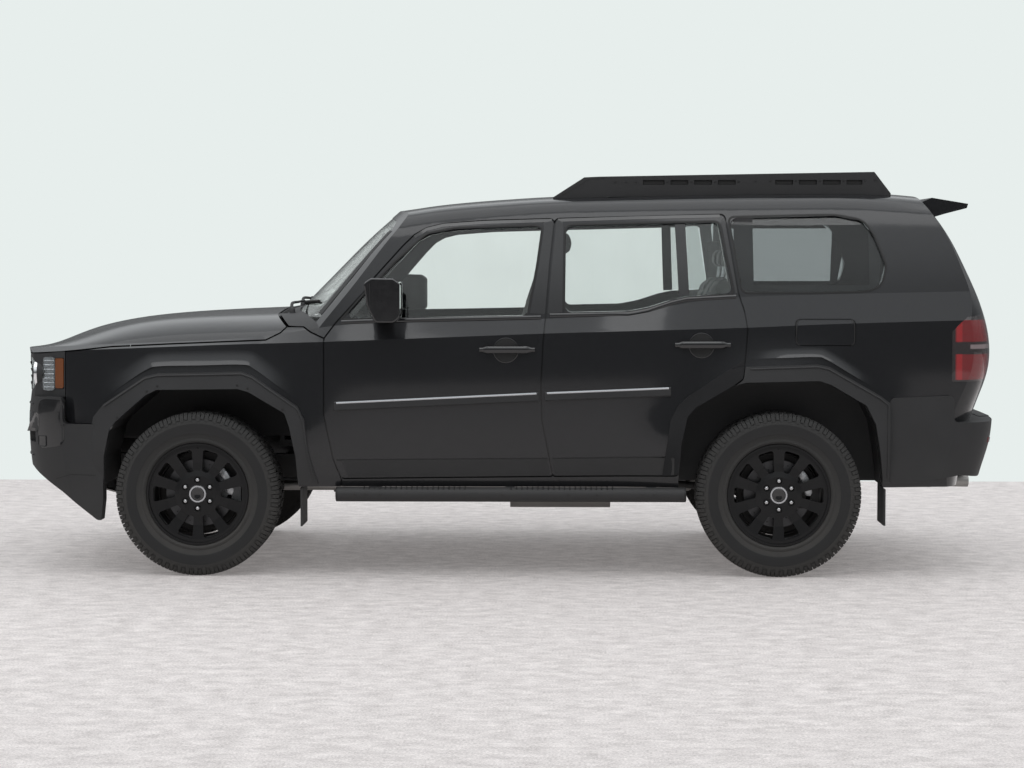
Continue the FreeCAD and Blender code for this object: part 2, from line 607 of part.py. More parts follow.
def roof_panel(volumes):
    part = volumes["shell"].common(roof_space()).cut(tailgate_space(HALF_GAP))
    for barrel in hinge_barrels(TAILGATE_PIN + SEAT):
        part = part.cut(barrel)
    return largest(part)


def windscreen(volumes):
    pane = screen_loft(GLASS).cut(screen_loft(2 * GLASS))
    space = body_loft(house_poles, WALL + SEAT, FRAME + SEAT, ROOF + SEAT)
    return pane.common(space).common(box(-FAR, FAR, -FAR, FAR, z_at(WINDSCREEN_LOW_SHARE), BODY_HEIGHT))


def quarter_glass(volumes):
    return Part.makeCompound(pair(window_glass(volumes, QUARTER_SHARES)))


def fender(volumes):
    part = volumes["front"].common(prism(FENDER_SHARES, 0.0, -HALF_GAP))
    part = part.cut(prism(FRONT_ARCH_SHARES, DOOR_CORNER))
    part = part.cut(box(-FAR, FAR, -y_at(FENDER_INNER_SHARE), 0, -FAR, FAR))
    return largest(part)


def hood(volumes):
    lid = side_plate(SHUT_LINE_SHARES + HOOD_TOP_SHARES, -FAR, FAR, 0.0, -HALF_GAP)
    return largest(volumes["front"].common(lid))


# Front end
BUMPER_WIDTH_SHARE = 0.940
BUMPER_INNER_SHARE = 0.85
LAMP_RADIUS = 81.0
LAMP_CENTRE_SHARES = (0.752, 0.5207)
LAMP_BACK_SHARE = 0.060
MARKER_SHARES = (0.0455, 0.0548, -1.0, 0.0, 0.482, 0.562)
PANEL_DEPTH = 40.0
INTAKE_SHARES = (-0.02, 0.016, -0.46, 0.46, 0.315, 0.40)
FOG_SHARES = (-0.02, 0.034, -0.84, -0.72, 0.342, 0.378)


def front_bumper(volumes):
    wide, narrow = (box(-FAR, FAR, -y_at(s), y_at(s), -FAR, FAR)
                    for s in (BUMPER_WIDTH_SHARE, BUMPER_INNER_SHARE))
    part = volumes["nose"].common(wide).cut(nose_loft(BUMPER_WALL).common(narrow))
    part = part.common(side_plate(BUMPER_SIDE_SHARES, -FAR, FAR, DOOR_CORNER))
    part = part.cut(share_box(INTAKE_SHARES)).cut(volumes["flares"])
    for pocket in pair(share_box(FOG_SHARES)):
        part = part.cut(pocket)
    return largest(part.cut(side_plate(FRONT_ARCH_SHARES, -FAR, FAR, DOOR_CORNER)))


def lamp_barrel(radius):
    width, height = LAMP_CENTRE_SHARES
    start, end = FRONT_X, x_at(LAMP_BACK_SHARE)
    return Part.makeCylinder(radius, end - start, V(start, -y_at(width), z_at(height)), V(1, 0, 0))


def headlamps(volumes):
    lens = lamp_barrel(LAMP_RADIUS).common(volumes["front_outer"])
    marker = volumes["front"].common(share_box(MARKER_SHARES))
    return Part.makeCompound(pair(lens) + pair(largest(marker)))


def grille_panel(volumes):
    inner = body_loft(hood_poles, PANEL_DEPTH, PANEL_DEPTH, PANEL_DEPTH)
    inner = inner.common(nose_loft(PANEL_DEPTH))
    part = volumes["front_outer"].common(side_plate(GRILLE_SIDE_SHARES, -FAR, FAR, 0.0, -SEAT)).cut(inner)
    for hole in pair(lamp_barrel(LAMP_RADIUS + SEAT)) + pair(share_box(MARKER_SHARES)):
        part = part.cut(hole)
    return largest(part)


COWL_SHARES = [(0.2672, 0.730), (0.2672, 0.6765), (0.2810, 0.6460), (0.2965, 0.6450), (0.3048, 0.6312),
               (0.3185, 0.6170), (0.3500, 0.6170), (0.3500, 0.730)]


def cowl(volumes):
    part = volumes["front"].common(side_plate(COWL_SHARES, -FAR, FAR)).cut(volumes["screen"])
    return largest(part.cut(volumes["sides"]))


FLARE_REACH_SHARE = 0.045
LINER = 6.0
LINER_INNER = 488.0
LINER_WALL_SHARE = 0.345
LINER_LOW_SHARE = 0.236
WHEELHOUSE_INNER = 640.0


def arch_flares(volumes):
    flare = volumes["left"]["flare"]
    front = flare.common(prism(FRONT_FLARE_SHARES, 0.0)).cut(prism(FRONT_ARCH_SHARES, DOOR_CORNER))
    rear = flare.common(prism(REAR_FLARE_SHARES, 0.0)).cut(prism(REAR_ARCH_SHARES, DOOR_CORNER))
    rear = rear.cut(prism(REAR_DOOR_SHARES, DOOR_CORNER, HALF_GAP))
    rear = rear.common(box(x_at(REAR_AXLE_SHARE - FLARE_REACH_SHARE), FAR, -FAR, FAR, -FAR, FAR))
    return Part.makeCompound(pair(largest(front)) + pair(largest(rear)))


def arch_ring(shares, thin, thick, inner_y):
    ring = side_plate(shares, -HALF_WIDTH, -inner_y, DOOR_CORNER, thick)
    return ring.cut(side_plate(shares, -HALF_WIDTH, -inner_y, DOOR_CORNER, thin))


def arch_liners(volumes):
    above = box(-FAR, FAR, -FAR, FAR, z_at(LINER_LOW_SHARE), FAR)
    front = arch_ring(FRONT_ARCH_SHARES, SEAT, LINER, LINER_INNER).common(above).common(volumes["front_inner"])
    end, top = BUMPER_SIDE_SHARES[-1][0], BUMPER_SIDE_SHARES[5][1]
    front = front.cut(box(-FAR, x_at(end), -FAR, FAR, -FAR, z_at(top))).cut(volumes["sides"])
    wall = side_plate(FRONT_ARCH_SHARES, -LINER_INNER, LINER - LINER_INNER, DOOR_CORNER, LINER)
    wall = wall.common(box(-FAR, FAR, -FAR, FAR, z_at(LINER_WALL_SHARE), FAR))
    ring = arch_ring(REAR_ARCH_SHARES, SEAT, LINER, WHEELHOUSE_INNER).common(above).common(volumes["cabin"])
    side = side_plate(REAR_ARCH_SHARES, -WHEELHOUSE_INNER, LINER - WHEELHOUSE_INNER, DOOR_CORNER, LINER)
    rear = one([ring, side.common(above)])
    liners = [largest(one([front, wall]).cut(volumes["chassis"])), largest(rear)]
    return Part.makeCompound([solid for liner in liners for solid in pair(liner)])


FLAP = 9.0
FLAP_NARROW_SHARES = (0.712, 0.850)
FLAP_WIDE_SHARE = 0.945
FRONT_FLAP_SHARES = (0.280, 0.330, 0.129, 0.300)
REAR_FLAP_SHARES = (0.860, 0.880, 0.134, 0.314)
FLAP_LIP_SHARE = 0.228


def flap(arch, limits):
    start, end, low, high = limits
    ring = arch_ring(arch, LINER, LINER + FLAP, y_at(FLAP_NARROW_SHARES[0]))
    near, far = FLAP_NARROW_SHARES
    upper = ring.common(box(x_at(start), x_at(end), -y_at(far), -y_at(near), z_at(low), z_at(high)))
    wide = -y_at(FLAP_WIDE_SHARE)
    lower = ring.common(box(x_at(start), x_at(end), wide, -y_at(near), z_at(low), z_at(FLAP_LIP_SHARE)))
    return one([upper, lower])


def mud_flaps(volumes):
    flaps = []
    for arch, limits in ((FRONT_ARCH_SHARES, FRONT_FLAP_SHARES), (REAR_ARCH_SHARES, REAR_FLAP_SHARES)):
        flaps += pair(largest(flap(arch, limits).cut(volumes["sides"])))
    return Part.makeCompound(flaps)


REAR_BUMPER_END_SHARES = [(0.05, 0.972), (0.24, 0.9745), (0.33, 0.9905), (0.43, 0.9925), (1.10, 0.9925)]
REAR_BUMPER_WIDTH_SHARE = 0.945
REAR_BUMPER_INNER_SHARE = 0.87
REAR_BUMPER_SET = 34.0


def rear_bumper(volumes):
    outer = plan_loft(REAR_BUMPER_END_SHARES, TAIL_BOW_SHARES, 0.0, TAIL_BACK_SHARE, HOUSE_HIGH_SHARE)
    inner = tail_loft(REAR_BUMPER_SET)
    wide, narrow = (box(0, FAR, -y_at(s), y_at(s), -FAR, FAR)
                    for s in (REAR_BUMPER_WIDTH_SHARE, REAR_BUMPER_INNER_SHARE))
    part = outer.common(wide).cut(inner.common(narrow))
    part = part.common(side_plate(REAR_BUMPER_SIDE_SHARES, -FAR, FAR, DOOR_CORNER, -SEAT))
    return largest(part.cut(volumes["floor"]).cut(volumes["rails"]))


def tail_lamps(volumes):
    part = volumes["shell"].common(side_plate(TAIL_LAMP_SHARES, -FAR, 0, 0.0, -SEAT)).cut(lamp_core(volumes))
    part = part.cut(tailgate_space(HALF_GAP))
    return Part.makeCompound(pair(largest(part)))


# Side step tubes and their brackets
STEP_ENDS_SHARES = (0.331, 0.676)
STEP_CENTRE_SHARES = (0.966, 0.214)
STEP_RADIUS = 36.0
BRACKET_SHARES = [(0.362, 0.370), (0.498, 0.506), (0.640, 0.648)]
BRACKET_SPAN_SHARES = (-0.935, -0.404, 0.214, 0.232)


def side_steps(volumes):
    width, height = STEP_CENTRE_SHARES
    start, end = STEP_ENDS_SHARES
    tube = rod([at(start, -width, height), at(end, -width, height)], STEP_RADIUS)
    low, high = BRACKET_SPAN_SHARES[:2], BRACKET_SPAN_SHARES[2:]
    brackets = [share_box((a, b) + low + high) for a, b in BRACKET_SHARES]
    return Part.makeCompound(pair(one([tube] + brackets)))


# Roof rack
RACK_SHARES = [(0.545, 0.960), (0.545, 0.9810), (0.5766, 1.0333), (0.5919, 1.0351), (0.8700, 1.0470),
               (0.8866, 0.991), (0.8866, 0.960)]
RACK_SIDE_SHARES = (0.595, 0.622)
RACK_SLOT_SHARES = [(0.636, 0.658), (0.664, 0.682), (0.688, 0.706), (0.712, 0.730),
                    (0.770, 0.788), (0.794, 0.812), (0.818, 0.836), (0.842, 0.858)]
RACK_SLOT_HEIGHT_SHARES = (1.014, 1.026)
RACK_SLOT_DEPTH = 14.0
RACK_FOOT_SHARES = [(0.62, 0.64), (0.735, 0.765), (0.840, 0.862)]
RACK_UNDER_SHARES = [(0.600, 0.90), (0.600, 0.982), (0.862, 0.986), (0.862, 0.90)]
RACK_BAR_SHARES = [(0.585, 0.597), (0.652, 0.664), (0.717, 0.729), (0.782, 0.794), (0.847, 0.859)]
RACK_BAR_HEIGHT_SHARES = (1.0185, 1.0300)
FAIRING_SHARES = [(0.5480, 0.9860), (0.5766, 1.0333), (0.5800, 1.0333), (0.5535, 0.9860)]


def roof_rack(volumes):
    near, far = RACK_SIDE_SHARES
    side = side_plate(RACK_SHARES, -y_at(far), -y_at(near))
    for start, end in RACK_SLOT_SHARES:
        low, high = RACK_SLOT_HEIGHT_SHARES
        side = side.cut(box(x_at(start), x_at(end), -FAR, RACK_SLOT_DEPTH - y_at(far), z_at(low), z_at(high)))
    under = side_plate(RACK_UNDER_SHARES, -FAR, 0)
    for start, end in RACK_FOOT_SHARES:
        under = under.cut(box(x_at(start), x_at(end), -FAR, 0, -FAR, FAR))
    side = side.cut(under)
    low, high = RACK_BAR_HEIGHT_SHARES
    bars = [box(x_at(a), x_at(b), -y_at(near), y_at(near), z_at(low), z_at(high)) for a, b in RACK_BAR_SHARES]
    fairing = side_plate(FAIRING_SHARES, -y_at(near), y_at(near))
    return largest(one(pair(side) + bars + [fairing]).cut(volumes["near_skin"]))


# Door mirrors
MIRROR_HEAD_SHARES = [(0.3609, 0.7585), (0.3680, 0.7712), (0.3900, 0.7700), (0.3962, 0.7585), (0.3962, 0.6700),
                      (0.3900, 0.6580), (0.3720, 0.6580), (0.3640, 0.7000)]
MIRROR_WIDTH_SHARES = (-1.150, -0.975)
MIRROR_FOOT_SHARES = (0.3690, 0.3860, -0.990, -0.850, 0.6600, 0.6760)
MIRROR_ROUND = 24.0
MIRROR_EDGE = 8.0
GLASS_RECESS_SHARES = (0.3948, 0.41, -1.136, -0.989, 0.6740, 0.7590)


def mirror(volumes):
    outer, inner = MIRROR_WIDTH_SHARES
    head = side_plate(MIRROR_HEAD_SHARES, y_at(outer), y_at(inner), MIRROR_ROUND)
    caps = [e for e in head.Edges if abs(e.BoundBox.YLength) < SEAT and e.BoundBox.YMin < y_at(outer) + SEAT]
    head = head.makeFillet(MIRROR_EDGE, caps)
    head = head.cut(share_box(GLASS_RECESS_SHARES))
    foot = share_box(MIRROR_FOOT_SHARES).cut(volumes["near_skin"])
    return largest(one([head, foot]))


# Chassis
RAIL_PLATE_SHARES = [(0.045, 0.262), (0.045, 0.300), (0.110, 0.295), (0.955, 0.295), (0.955, 0.245),
                     (0.900, 0.232), (0.815, 0.232), (0.805, 0.262), (0.735, 0.262), (0.725, 0.232),
                     (0.110, 0.232)]
RAIL_WIDTH_SHARES = (0.404, 0.474)
MEMBER_SHARES = [(0.047, 0.060, 0.266, 0.296), (0.262, 0.274, 0.240, 0.285), (0.450, 0.462, 0.240, 0.285),
                 (0.620, 0.632, 0.240, 0.285), (0.830, 0.842, 0.240, 0.285), (0.938, 0.952, 0.248, 0.290)]
MOUNT_SHARES = [0.285, 0.440, 0.600, 0.700, 0.850, 0.925]
MOUNT_RADIUS = 30.0
FLOOR_LOW_SHARE = 0.318
FLOOR_HIGH_SHARE = 0.334
CARRIER_SHARES = (0.158, 0.224, -0.430, 0.430, 0.150, 0.176)
CARRIER_POST_SHARES = [(0.158, 0.166), (0.216, 0.224)]
TOWER_SHARES = (0.176, 0.206, 0.404, 0.625, 0.400, 0.408)
TOWER_POST_SHARES = [(0.170, 0.176), (0.206, 0.212)]
PLATE_SHARES = (0.112, 0.150, -0.474, 0.474, 0.226, 0.232)


def frame_rails(volumes):
    near, far = RAIL_WIDTH_SHARES
    return Part.makeCompound(pair(side_plate(RAIL_PLATE_SHARES, -y_at(far), -y_at(near))))


def crossmembers(volumes):
    """Crossmembers, body mounts, front axle carrier and spring towers."""
    near, far = RAIL_WIDTH_SHARES
    parts = [box(x_at(a), x_at(b), -y_at(near), y_at(near), z_at(c), z_at(d)) for a, b, c, d in MEMBER_SHARES]
    carrier = [share_box(CARRIER_SHARES)]
    under, above = z_at(CARRIER_SHARES[-1]), z_at(RAIL_PLATE_SHARES[-1][1])
    for a, b in CARRIER_POST_SHARES:
        carrier += pair(box(x_at(a), x_at(b), -y_at(CARRIER_SHARES[3]), -y_at(near), under, above))
    parts.append(one(carrier))
    tower, low = [share_box(TOWER_SHARES)], z_at(RAIL_PLATE_SHARES[2][1])
    for a, b in TOWER_POST_SHARES:
        tower.append(box(x_at(a), x_at(b), y_at(near), y_at(far), low, z_at(TOWER_SHARES[-1])))
    parts += pair(one(tower))
    for s in MOUNT_SHARES:
        foot = V(x_at(s), -y_at((near + far) / 2), low)
        parts += pair(Part.makeCylinder(MOUNT_RADIUS, z_at(FLOOR_LOW_SHARE) - low, foot))
    parts.append(share_box(PLATE_SHARES))
    return Part.makeCompound(parts)


FLOOR_SHARES = (0.262, 1.000, -1.0, 1.0, FLOOR_LOW_SHARE, FLOOR_HIGH_SHARE)
BULKHEAD_SHARES = (0.262, 0.267, -1.0, 1.0, FLOOR_LOW_SHARE, 0.652)
LOAD_FLOOR_SHARES = (0.770, 0.920, -0.44, 0.44, FLOOR_HIGH_SHARE, 0.3405)


def floor_pan(volumes):
    """Cabin floor and the wall behind the engine."""
    floor = share_box(FLOOR_SHARES).common(volumes["cabin"])
    wall = share_box(BULKHEAD_SHARES).common(volumes["front_seat_inner"]).cut(volumes["sides"])
    start = box(x_at(BULKHEAD_SHARES[1]), FAR, -FAR, FAR, -FAR, FAR)
    end = rear_sill_space().common(box(-FAR, FAR, -FAR, FAR, z_at(FLOOR_LOW_SHARE), FAR))
    sill = one([volumes["shell"].common(end), volumes["hull"].common(share_box(FLOOR_SHARES)).common(end)])
    part = one([floor.common(start), wall, sill, share_box(LOAD_FLOOR_SHARES)])
    for arch, inner in ((REAR_ARCH_SHARES, WHEELHOUSE_INNER), (FRONT_ARCH_SHARES, LINER_INNER)):
        for cut in pair(side_plate(arch, -FAR, LINER + SEAT - inner, DOOR_CORNER, LINER + SEAT)):
            part = part.cut(cut)
    return largest(part)


# Suspension
KINGPIN_Y = 782.0
KNUCKLE_LOW = 292.0
KNUCKLE_HIGH = 518.0
KNUCKLE_RADIUS = 25.0
JOINT_HEIGHT = 30.0
JOINT_RADIUS = 28.0
ARM_BASE_Y = 420.0
ARM_SPREAD = 135.0
ARM_TIP_Y = 745.0
ARM_RADIUS = 19.0
UPPER_SPREAD = 105.0
UPPER_BASE_Y = 460.0
UPPER_RADIUS = 16.5
ARM_END_RADIUS = 14.6
STRUT_Y = 560.0
STRUT_RADIUS = 44.0
STRUT_LOW = 446.0
STRUT_LEG_X = 34.0
STRUT_LEG_RADIUS = 9.0
SHAFT_RADIUS = 15.0
COIL_Y = 560.0
COIL_RADIUS = 55.0
DAMPER_RADIUS = 26.0
DAMPER_SHIFT = 120.0
LINK_REACH_SHARE = 0.115
LINK_RADIUS = 18.0
AXLE_TUBE = 44.0
DIFF_RADIUS = 128.0
BEARING_RADIUS = 58.0
HUB_FACE_Y = 828.0
DISC_Y = 834.0
DISC_THICK = 22.0
CALIPER_REACH = 205.0
CALIPER_START = 104.0
CALIPER_HALF = 70.0
CALIPER_WALL = 12.0
CLEAR = 6.0
RACK_SET = 150.0
RACK_HALF = 340.0
TIE_END_Y = 588.0
TIE_Z = 350.0
LINK_UPPER_Y = 300.0
LINK_RISE = 24.0


def wishbone(x, z, spread, base, radius):
    """Two legs from the frame that meet at the ball joint."""
    tip, pin = V(x, -ARM_TIP_Y, z), V(x, -KINGPIN_Y, z)
    foot = pin - V(0, 0, JOINT_HEIGHT / 2 - SEAT)
    return [rod([V(x - spread, -base, z), tip], radius), rod([V(x + spread, -base, z), tip], radius),
            rod([tip, pin], ARM_END_RADIUS),
            Part.makeCylinder(JOINT_RADIUS, JOINT_HEIGHT - 2 * SEAT, foot)]


def suspension_arms(volumes):
    """Front arms, steering rack and rear links."""
    x = FRONT_AXLE_X
    low = KNUCKLE_LOW - JOINT_HEIGHT / 2
    high = KNUCKLE_HIGH + JOINT_HEIGHT / 2
    reach = STRUT_LEG_X + JOINT_RADIUS
    strut_seat = box(x - reach, x + reach, -STRUT_Y - JOINT_RADIUS, -STRUT_Y + JOINT_RADIUS,
                     low - ARM_RADIUS, low + ARM_RADIUS)
    lower = [strut_seat] + wishbone(x, low, ARM_SPREAD, ARM_BASE_Y, ARM_RADIUS)
    upper = wishbone(x, high, UPPER_SPREAD, UPPER_BASE_Y, UPPER_RADIUS)
    arms = pair(one(lower)) + pair(one(upper))
    rack_x = x + RACK_SET
    rack = rod([V(rack_x, -TIE_END_Y, TIE_Z), V(rack_x, TIE_END_Y, TIE_Z)], SHAFT_RADIUS)
    housing = rod([V(rack_x, -RACK_HALF, TIE_Z), V(rack_x, RACK_HALF, TIE_Z)], 2 * SHAFT_RADIUS)
    arms.append(one([rack, housing]))
    rx = REAR_AXLE_X
    for z, y in ((AXLE_Z - AXLE_TUBE / 2, COIL_Y), (AXLE_Z + AXLE_TUBE + LINK_RADIUS, LINK_UPPER_Y)):
        reach = LINK_REACH_SHARE * LENGTH
        link = rod([V(rx - reach, -y, AXLE_Z + LINK_RISE), V(rx, -y, z)], LINK_RADIUS)
        arms += pair(link)
    return Part.makeCompound([largest(arm.cut(volumes["chassis"]).cut(volumes["axle"])) for arm in arms])


def springs(volumes):
    """Front struts, rear coils and rear dampers."""
    x, top = FRONT_AXLE_X, z_at(TOWER_SHARES[4])
    low = KNUCKLE_LOW - JOINT_HEIGHT / 2 + ARM_RADIUS
    strut = [Part.makeCylinder(STRUT_RADIUS, top - STRUT_LOW, V(x, -STRUT_Y, STRUT_LOW))]
    for side in (-1, 1):
        leg = V(x + side * STRUT_LEG_X, -STRUT_Y, low)
        strut.append(Part.makeCylinder(STRUT_LEG_RADIUS, STRUT_LOW - low, leg))
    rx = REAR_AXLE_X
    floor = z_at(FLOOR_LOW_SHARE)
    coil = Part.makeCylinder(COIL_RADIUS, floor - AXLE_Z - AXLE_TUBE, V(rx, -COIL_Y, AXLE_Z + AXLE_TUBE))
    foot = V(rx + DAMPER_SHIFT, -COIL_Y, AXLE_Z + SHAFT_RADIUS)
    damper = Part.makeCylinder(DAMPER_RADIUS, floor - foot.z, foot)
    return Part.makeCompound(pair(one(strut)) + pair(coil) + pair(damper))


def caliper(x):
    """A brake caliper behind the axle, open where the disc turns."""
    y0, y1 = DISC_Y - CALIPER_WALL - CLEAR, DISC_Y + DISC_THICK + CALIPER_WALL + CLEAR
    body = box(x + CALIPER_START, x + CALIPER_REACH, -y1, -y0, AXLE_Z - CALIPER_HALF, AXLE_Z + CALIPER_HALF)
    slot = disc(DISC_RADIUS + CLEAR, -(DISC_Y + DISC_THICK + CLEAR), -(DISC_Y - CLEAR), x, AXLE_Z)
    ring = disc(BARREL_RADIUS - RIM_WALL - CLEAR, -y1, -y0, x, AXLE_Z)
    return body.common(ring).cut(slot)


def knuckle(volumes):
    """The left front upright, its steering arm and caliper."""
    x = FRONT_AXLE_X
    post = Part.makeCylinder(KNUCKLE_RADIUS, KNUCKLE_HIGH - KNUCKLE_LOW, V(x, -KINGPIN_Y, KNUCKLE_LOW))
    bearing = disc(BEARING_RADIUS, -HUB_FACE_Y + SEAT, -KINGPIN_Y + KNUCKLE_RADIUS, x, AXLE_Z)
    bracket_y0, bracket_y1 = DISC_Y - CALIPER_WALL - CLEAR, KINGPIN_Y + KNUCKLE_RADIUS
    bracket = box(x, x + CALIPER_REACH - CALIPER_WALL, -bracket_y0, -bracket_y1 + CALIPER_WALL,
                  AXLE_Z - CALIPER_HALF / 2, AXLE_Z + CALIPER_HALF / 2)
    tie_end = V(x + RACK_SET - JOINT_RADIUS, -KINGPIN_Y + RACK_SET / 4, TIE_Z)
    arm = rod([V(x, -KINGPIN_Y, TIE_Z), tie_end], SHAFT_RADIUS)
    parts = [post, bearing, bracket, arm, caliper(x)]
    return largest(one(parts))


def rear_axle(volumes):
    """Axle housing, differential and rear calipers."""
    x = REAR_AXLE_X
    tube = disc(AXLE_TUBE, -HUB_FACE_Y + SEAT, HUB_FACE_Y - SEAT, x, AXLE_Z)
    parts = [tube, Part.makeSphere(DIFF_RADIUS, V(x, 0, AXLE_Z))]
    y0 = DISC_Y - CALIPER_WALL - CLEAR
    bracket = box(x, x + CALIPER_REACH - CALIPER_WALL, -y0, -y0 + 2 * CALIPER_WALL,
                  AXLE_Z - CALIPER_HALF / 2, AXLE_Z + CALIPER_HALF / 2)
    parts += pair(one([caliper(x), bracket]))
    parts += pair(box(x - COIL_RADIUS, x + COIL_RADIUS, -COIL_Y - COIL_RADIUS, -COIL_Y + COIL_RADIUS,
                      AXLE_Z, AXLE_Z + AXLE_TUBE))
    parts += pair(box(x, x + DAMPER_SHIFT + DAMPER_RADIUS, -COIL_Y - DAMPER_RADIUS, -COIL_Y + DAMPER_RADIUS,
                      AXLE_Z - SHAFT_RADIUS, AXLE_Z + SHAFT_RADIUS))
    return largest(one(parts))


# Drive and exhaust
ENGINE_SHARES = (0.112, 0.222, -0.26, 0.26, 0.300, 0.560)
SUMP_SHARES = (0.120, 0.150, -0.18, 0.18, 0.235, 0.300)
GEARBOX_SHARES = [(0.224, 0.0, 0.330), (0.300, 0.0, 0.262), (0.372, 0.0, 0.240)]
GEARBOX_RADIUS = 105.0
GEARBOX_NARROW = 80.0
FRONT_DIFF_SHARES = (0.1908, -0.10, 0.2121)
FRONT_DIFF_RADIUS = 78.0
FRONT_SHAFT_SHARES = [(0.205, -0.10, 0.205), (0.345, -0.10, 0.205)]
REAR_SHAFT_SHARES = [(0.400, 0.0, 0.215), (0.735, 0.0, 0.2121)]
PROP_RADIUS = 32.0
FRONT_PROP_RADIUS = 23.0
TRANSFER_SHARES = (0.330, 0.400, -0.18, 0.13, 0.180, 0.238)
PIPE_SHARES = [(0.235, -0.36, 0.330), (0.258, -0.36, 0.205), (0.685, -0.36, 0.205), (0.725, -0.36, 0.3005),
               (0.868, -0.36, 0.3005), (0.898, -0.36, 0.228), (0.975, -0.36, 0.222)]
PIPE_RADIUS = 25.0
MUFFLER_SHARES = [(0.500, -0.27, 0.190), (0.605, -0.27, 0.190)]
MUFFLER_RADIUS = 92.0
TANK_SHARES = (0.475, 0.610, 0.07, 0.39, 0.150, 0.236)
TANK_ROUND = 22.0
TANK_FLANGE_SHARES = (0.512, 0.590, 0.300, 0.474, 0.222, 0.232)


def points(shares):
    return [at(*p) for p in shares]


def engine_block(volumes):
    return one([share_box(ENGINE_SHARES), share_box(SUMP_SHARES)])


def driveline(volumes):
    """Gearbox, transfer case, prop shafts, front differential and half shafts."""
    a, b, c = points(GEARBOX_SHARES)
    gearbox = [rod([a, b], GEARBOX_RADIUS), rod([b, c], GEARBOX_NARROW), Part.makeSphere(GEARBOX_RADIUS, b)]
    gearbox.append(share_box(TRANSFER_SHARES))
    gearbox.append(rod(points(REAR_SHAFT_SHARES), PROP_RADIUS))
    gearbox.append(rod(points(FRONT_SHAFT_SHARES), FRONT_PROP_RADIUS))
    diff = at(*FRONT_DIFF_SHARES)
    gearbox.append(Part.makeSphere(FRONT_DIFF_RADIUS, diff))
    reach = KINGPIN_Y - 2 * KNUCKLE_RADIUS - CLEAR
    gearbox.append(rod([V(diff.x, -reach, AXLE_Z), V(diff.x, reach, AXLE_Z)], SHAFT_RADIUS))
    whole = one(gearbox)
    for piece in (volumes["chassis"], volumes["engine"], volumes["arms"], volumes["axle"]):
        whole = whole.cut(piece)
    return largest(whole.cut(volumes["floor"]))


HANGER_SHARES = [(0.452, 0.460, -0.370, -0.350, 0.206, 0.240), (0.832, 0.840, -0.370, -0.350, 0.285, 0.300)]
PIPE_WALL = 4.0
BORE_SHARE = 0.945


def exhaust(volumes):
    pipe = rod(points(PIPE_SHARES), PIPE_RADIUS)
    muffler = rod(points(MUFFLER_SHARES), MUFFLER_RADIUS)
    whole = one([pipe, muffler] + [share_box(h) for h in HANGER_SHARES])
    tip = points(PIPE_SHARES)[-2:]
    bore = rod(tip, PIPE_RADIUS - PIPE_WALL).common(box(x_at(BORE_SHARE), FAR, -FAR, FAR, -FAR, FAR))
    for piece in (volumes["chassis"], volumes["engine"], volumes["arms"], volumes["axle"], bore):
        whole = whole.cut(piece)
    return largest(whole)


def fuel_tank(volumes):
    tank = share_box(TANK_SHARES)
    return one([tank.makeFillet(TANK_ROUND, tank.Edges), share_box(TANK_FLANGE_SHARES)])


# Cabin
DASH_SHARES = [(0.2690, 0.500), (0.2690, 0.640), (0.2850, 0.662), (0.3180, 0.662), (0.3370, 0.640),
               (0.3400, 0.600), (0.3260, 0.560), (0.3180, 0.500)]
CONSOLE_SHARES = [(0.300, 0.334), (0.300, 0.500), (0.340, 0.500), (0.400, 0.440), (0.520, 0.460),
                  (0.520, 0.334)]
CONSOLE_WIDTH_SHARE = 0.125
WHEEL_CENTRE_SHARES = (0.3700, -0.384, 0.6050)
COLUMN_START_SHARES = (0.3300, -0.384, 0.5650)
COLUMN_RADIUS = 24.0
WHEEL_RADIUS = 182.0
WHEEL_GRIP = 15.0
WHEEL_HUB = 52.0
HUB_THICK = 34.0
WHEEL_SPOKE = 12.0


def column_axis():
    return (at(*WHEEL_CENTRE_SHARES) - at(*COLUMN_START_SHARES)).normalize()


def dashboard(volumes):
    """Dashboard, centre console and steering column."""
    dash = side_plate(DASH_SHARES, -FAR, FAR).common(volumes["cabin_front"])
    console = side_plate(CONSOLE_SHARES, -y_at(CONSOLE_WIDTH_SHARE), y_at(CONSOLE_WIDTH_SHARE))
    axis = column_axis()
    end = at(*WHEEL_CENTRE_SHARES) - axis * (HUB_THICK / 2 + SEAT)
    column = rod([at(*COLUMN_START_SHARES) - axis * HUB_THICK, end], COLUMN_RADIUS)
    whole = one([dash, console, column])
    return largest(whole.cut(volumes["floor"]).cut(volumes["sides"]))


def steering_wheel(volumes):
    centre, axis = at(*WHEEL_CENTRE_SHARES), column_axis()
    rim = Part.makeTorus(WHEEL_RADIUS, WHEEL_GRIP, centre, axis)
    hub = Part.makeCylinder(WHEEL_HUB, HUB_THICK, centre - axis * HUB_THICK / 2, axis)
    across = V(0, 1, 0)
    down = axis.cross(across).normalize()
    if down.z > 0:
        down = down * -1
    parts = [rim, hub]
    for way in (across, across * -1, down):
        parts.append(rod([centre, centre + way * WHEEL_RADIUS], WHEEL_SPOKE))
    return one(parts)


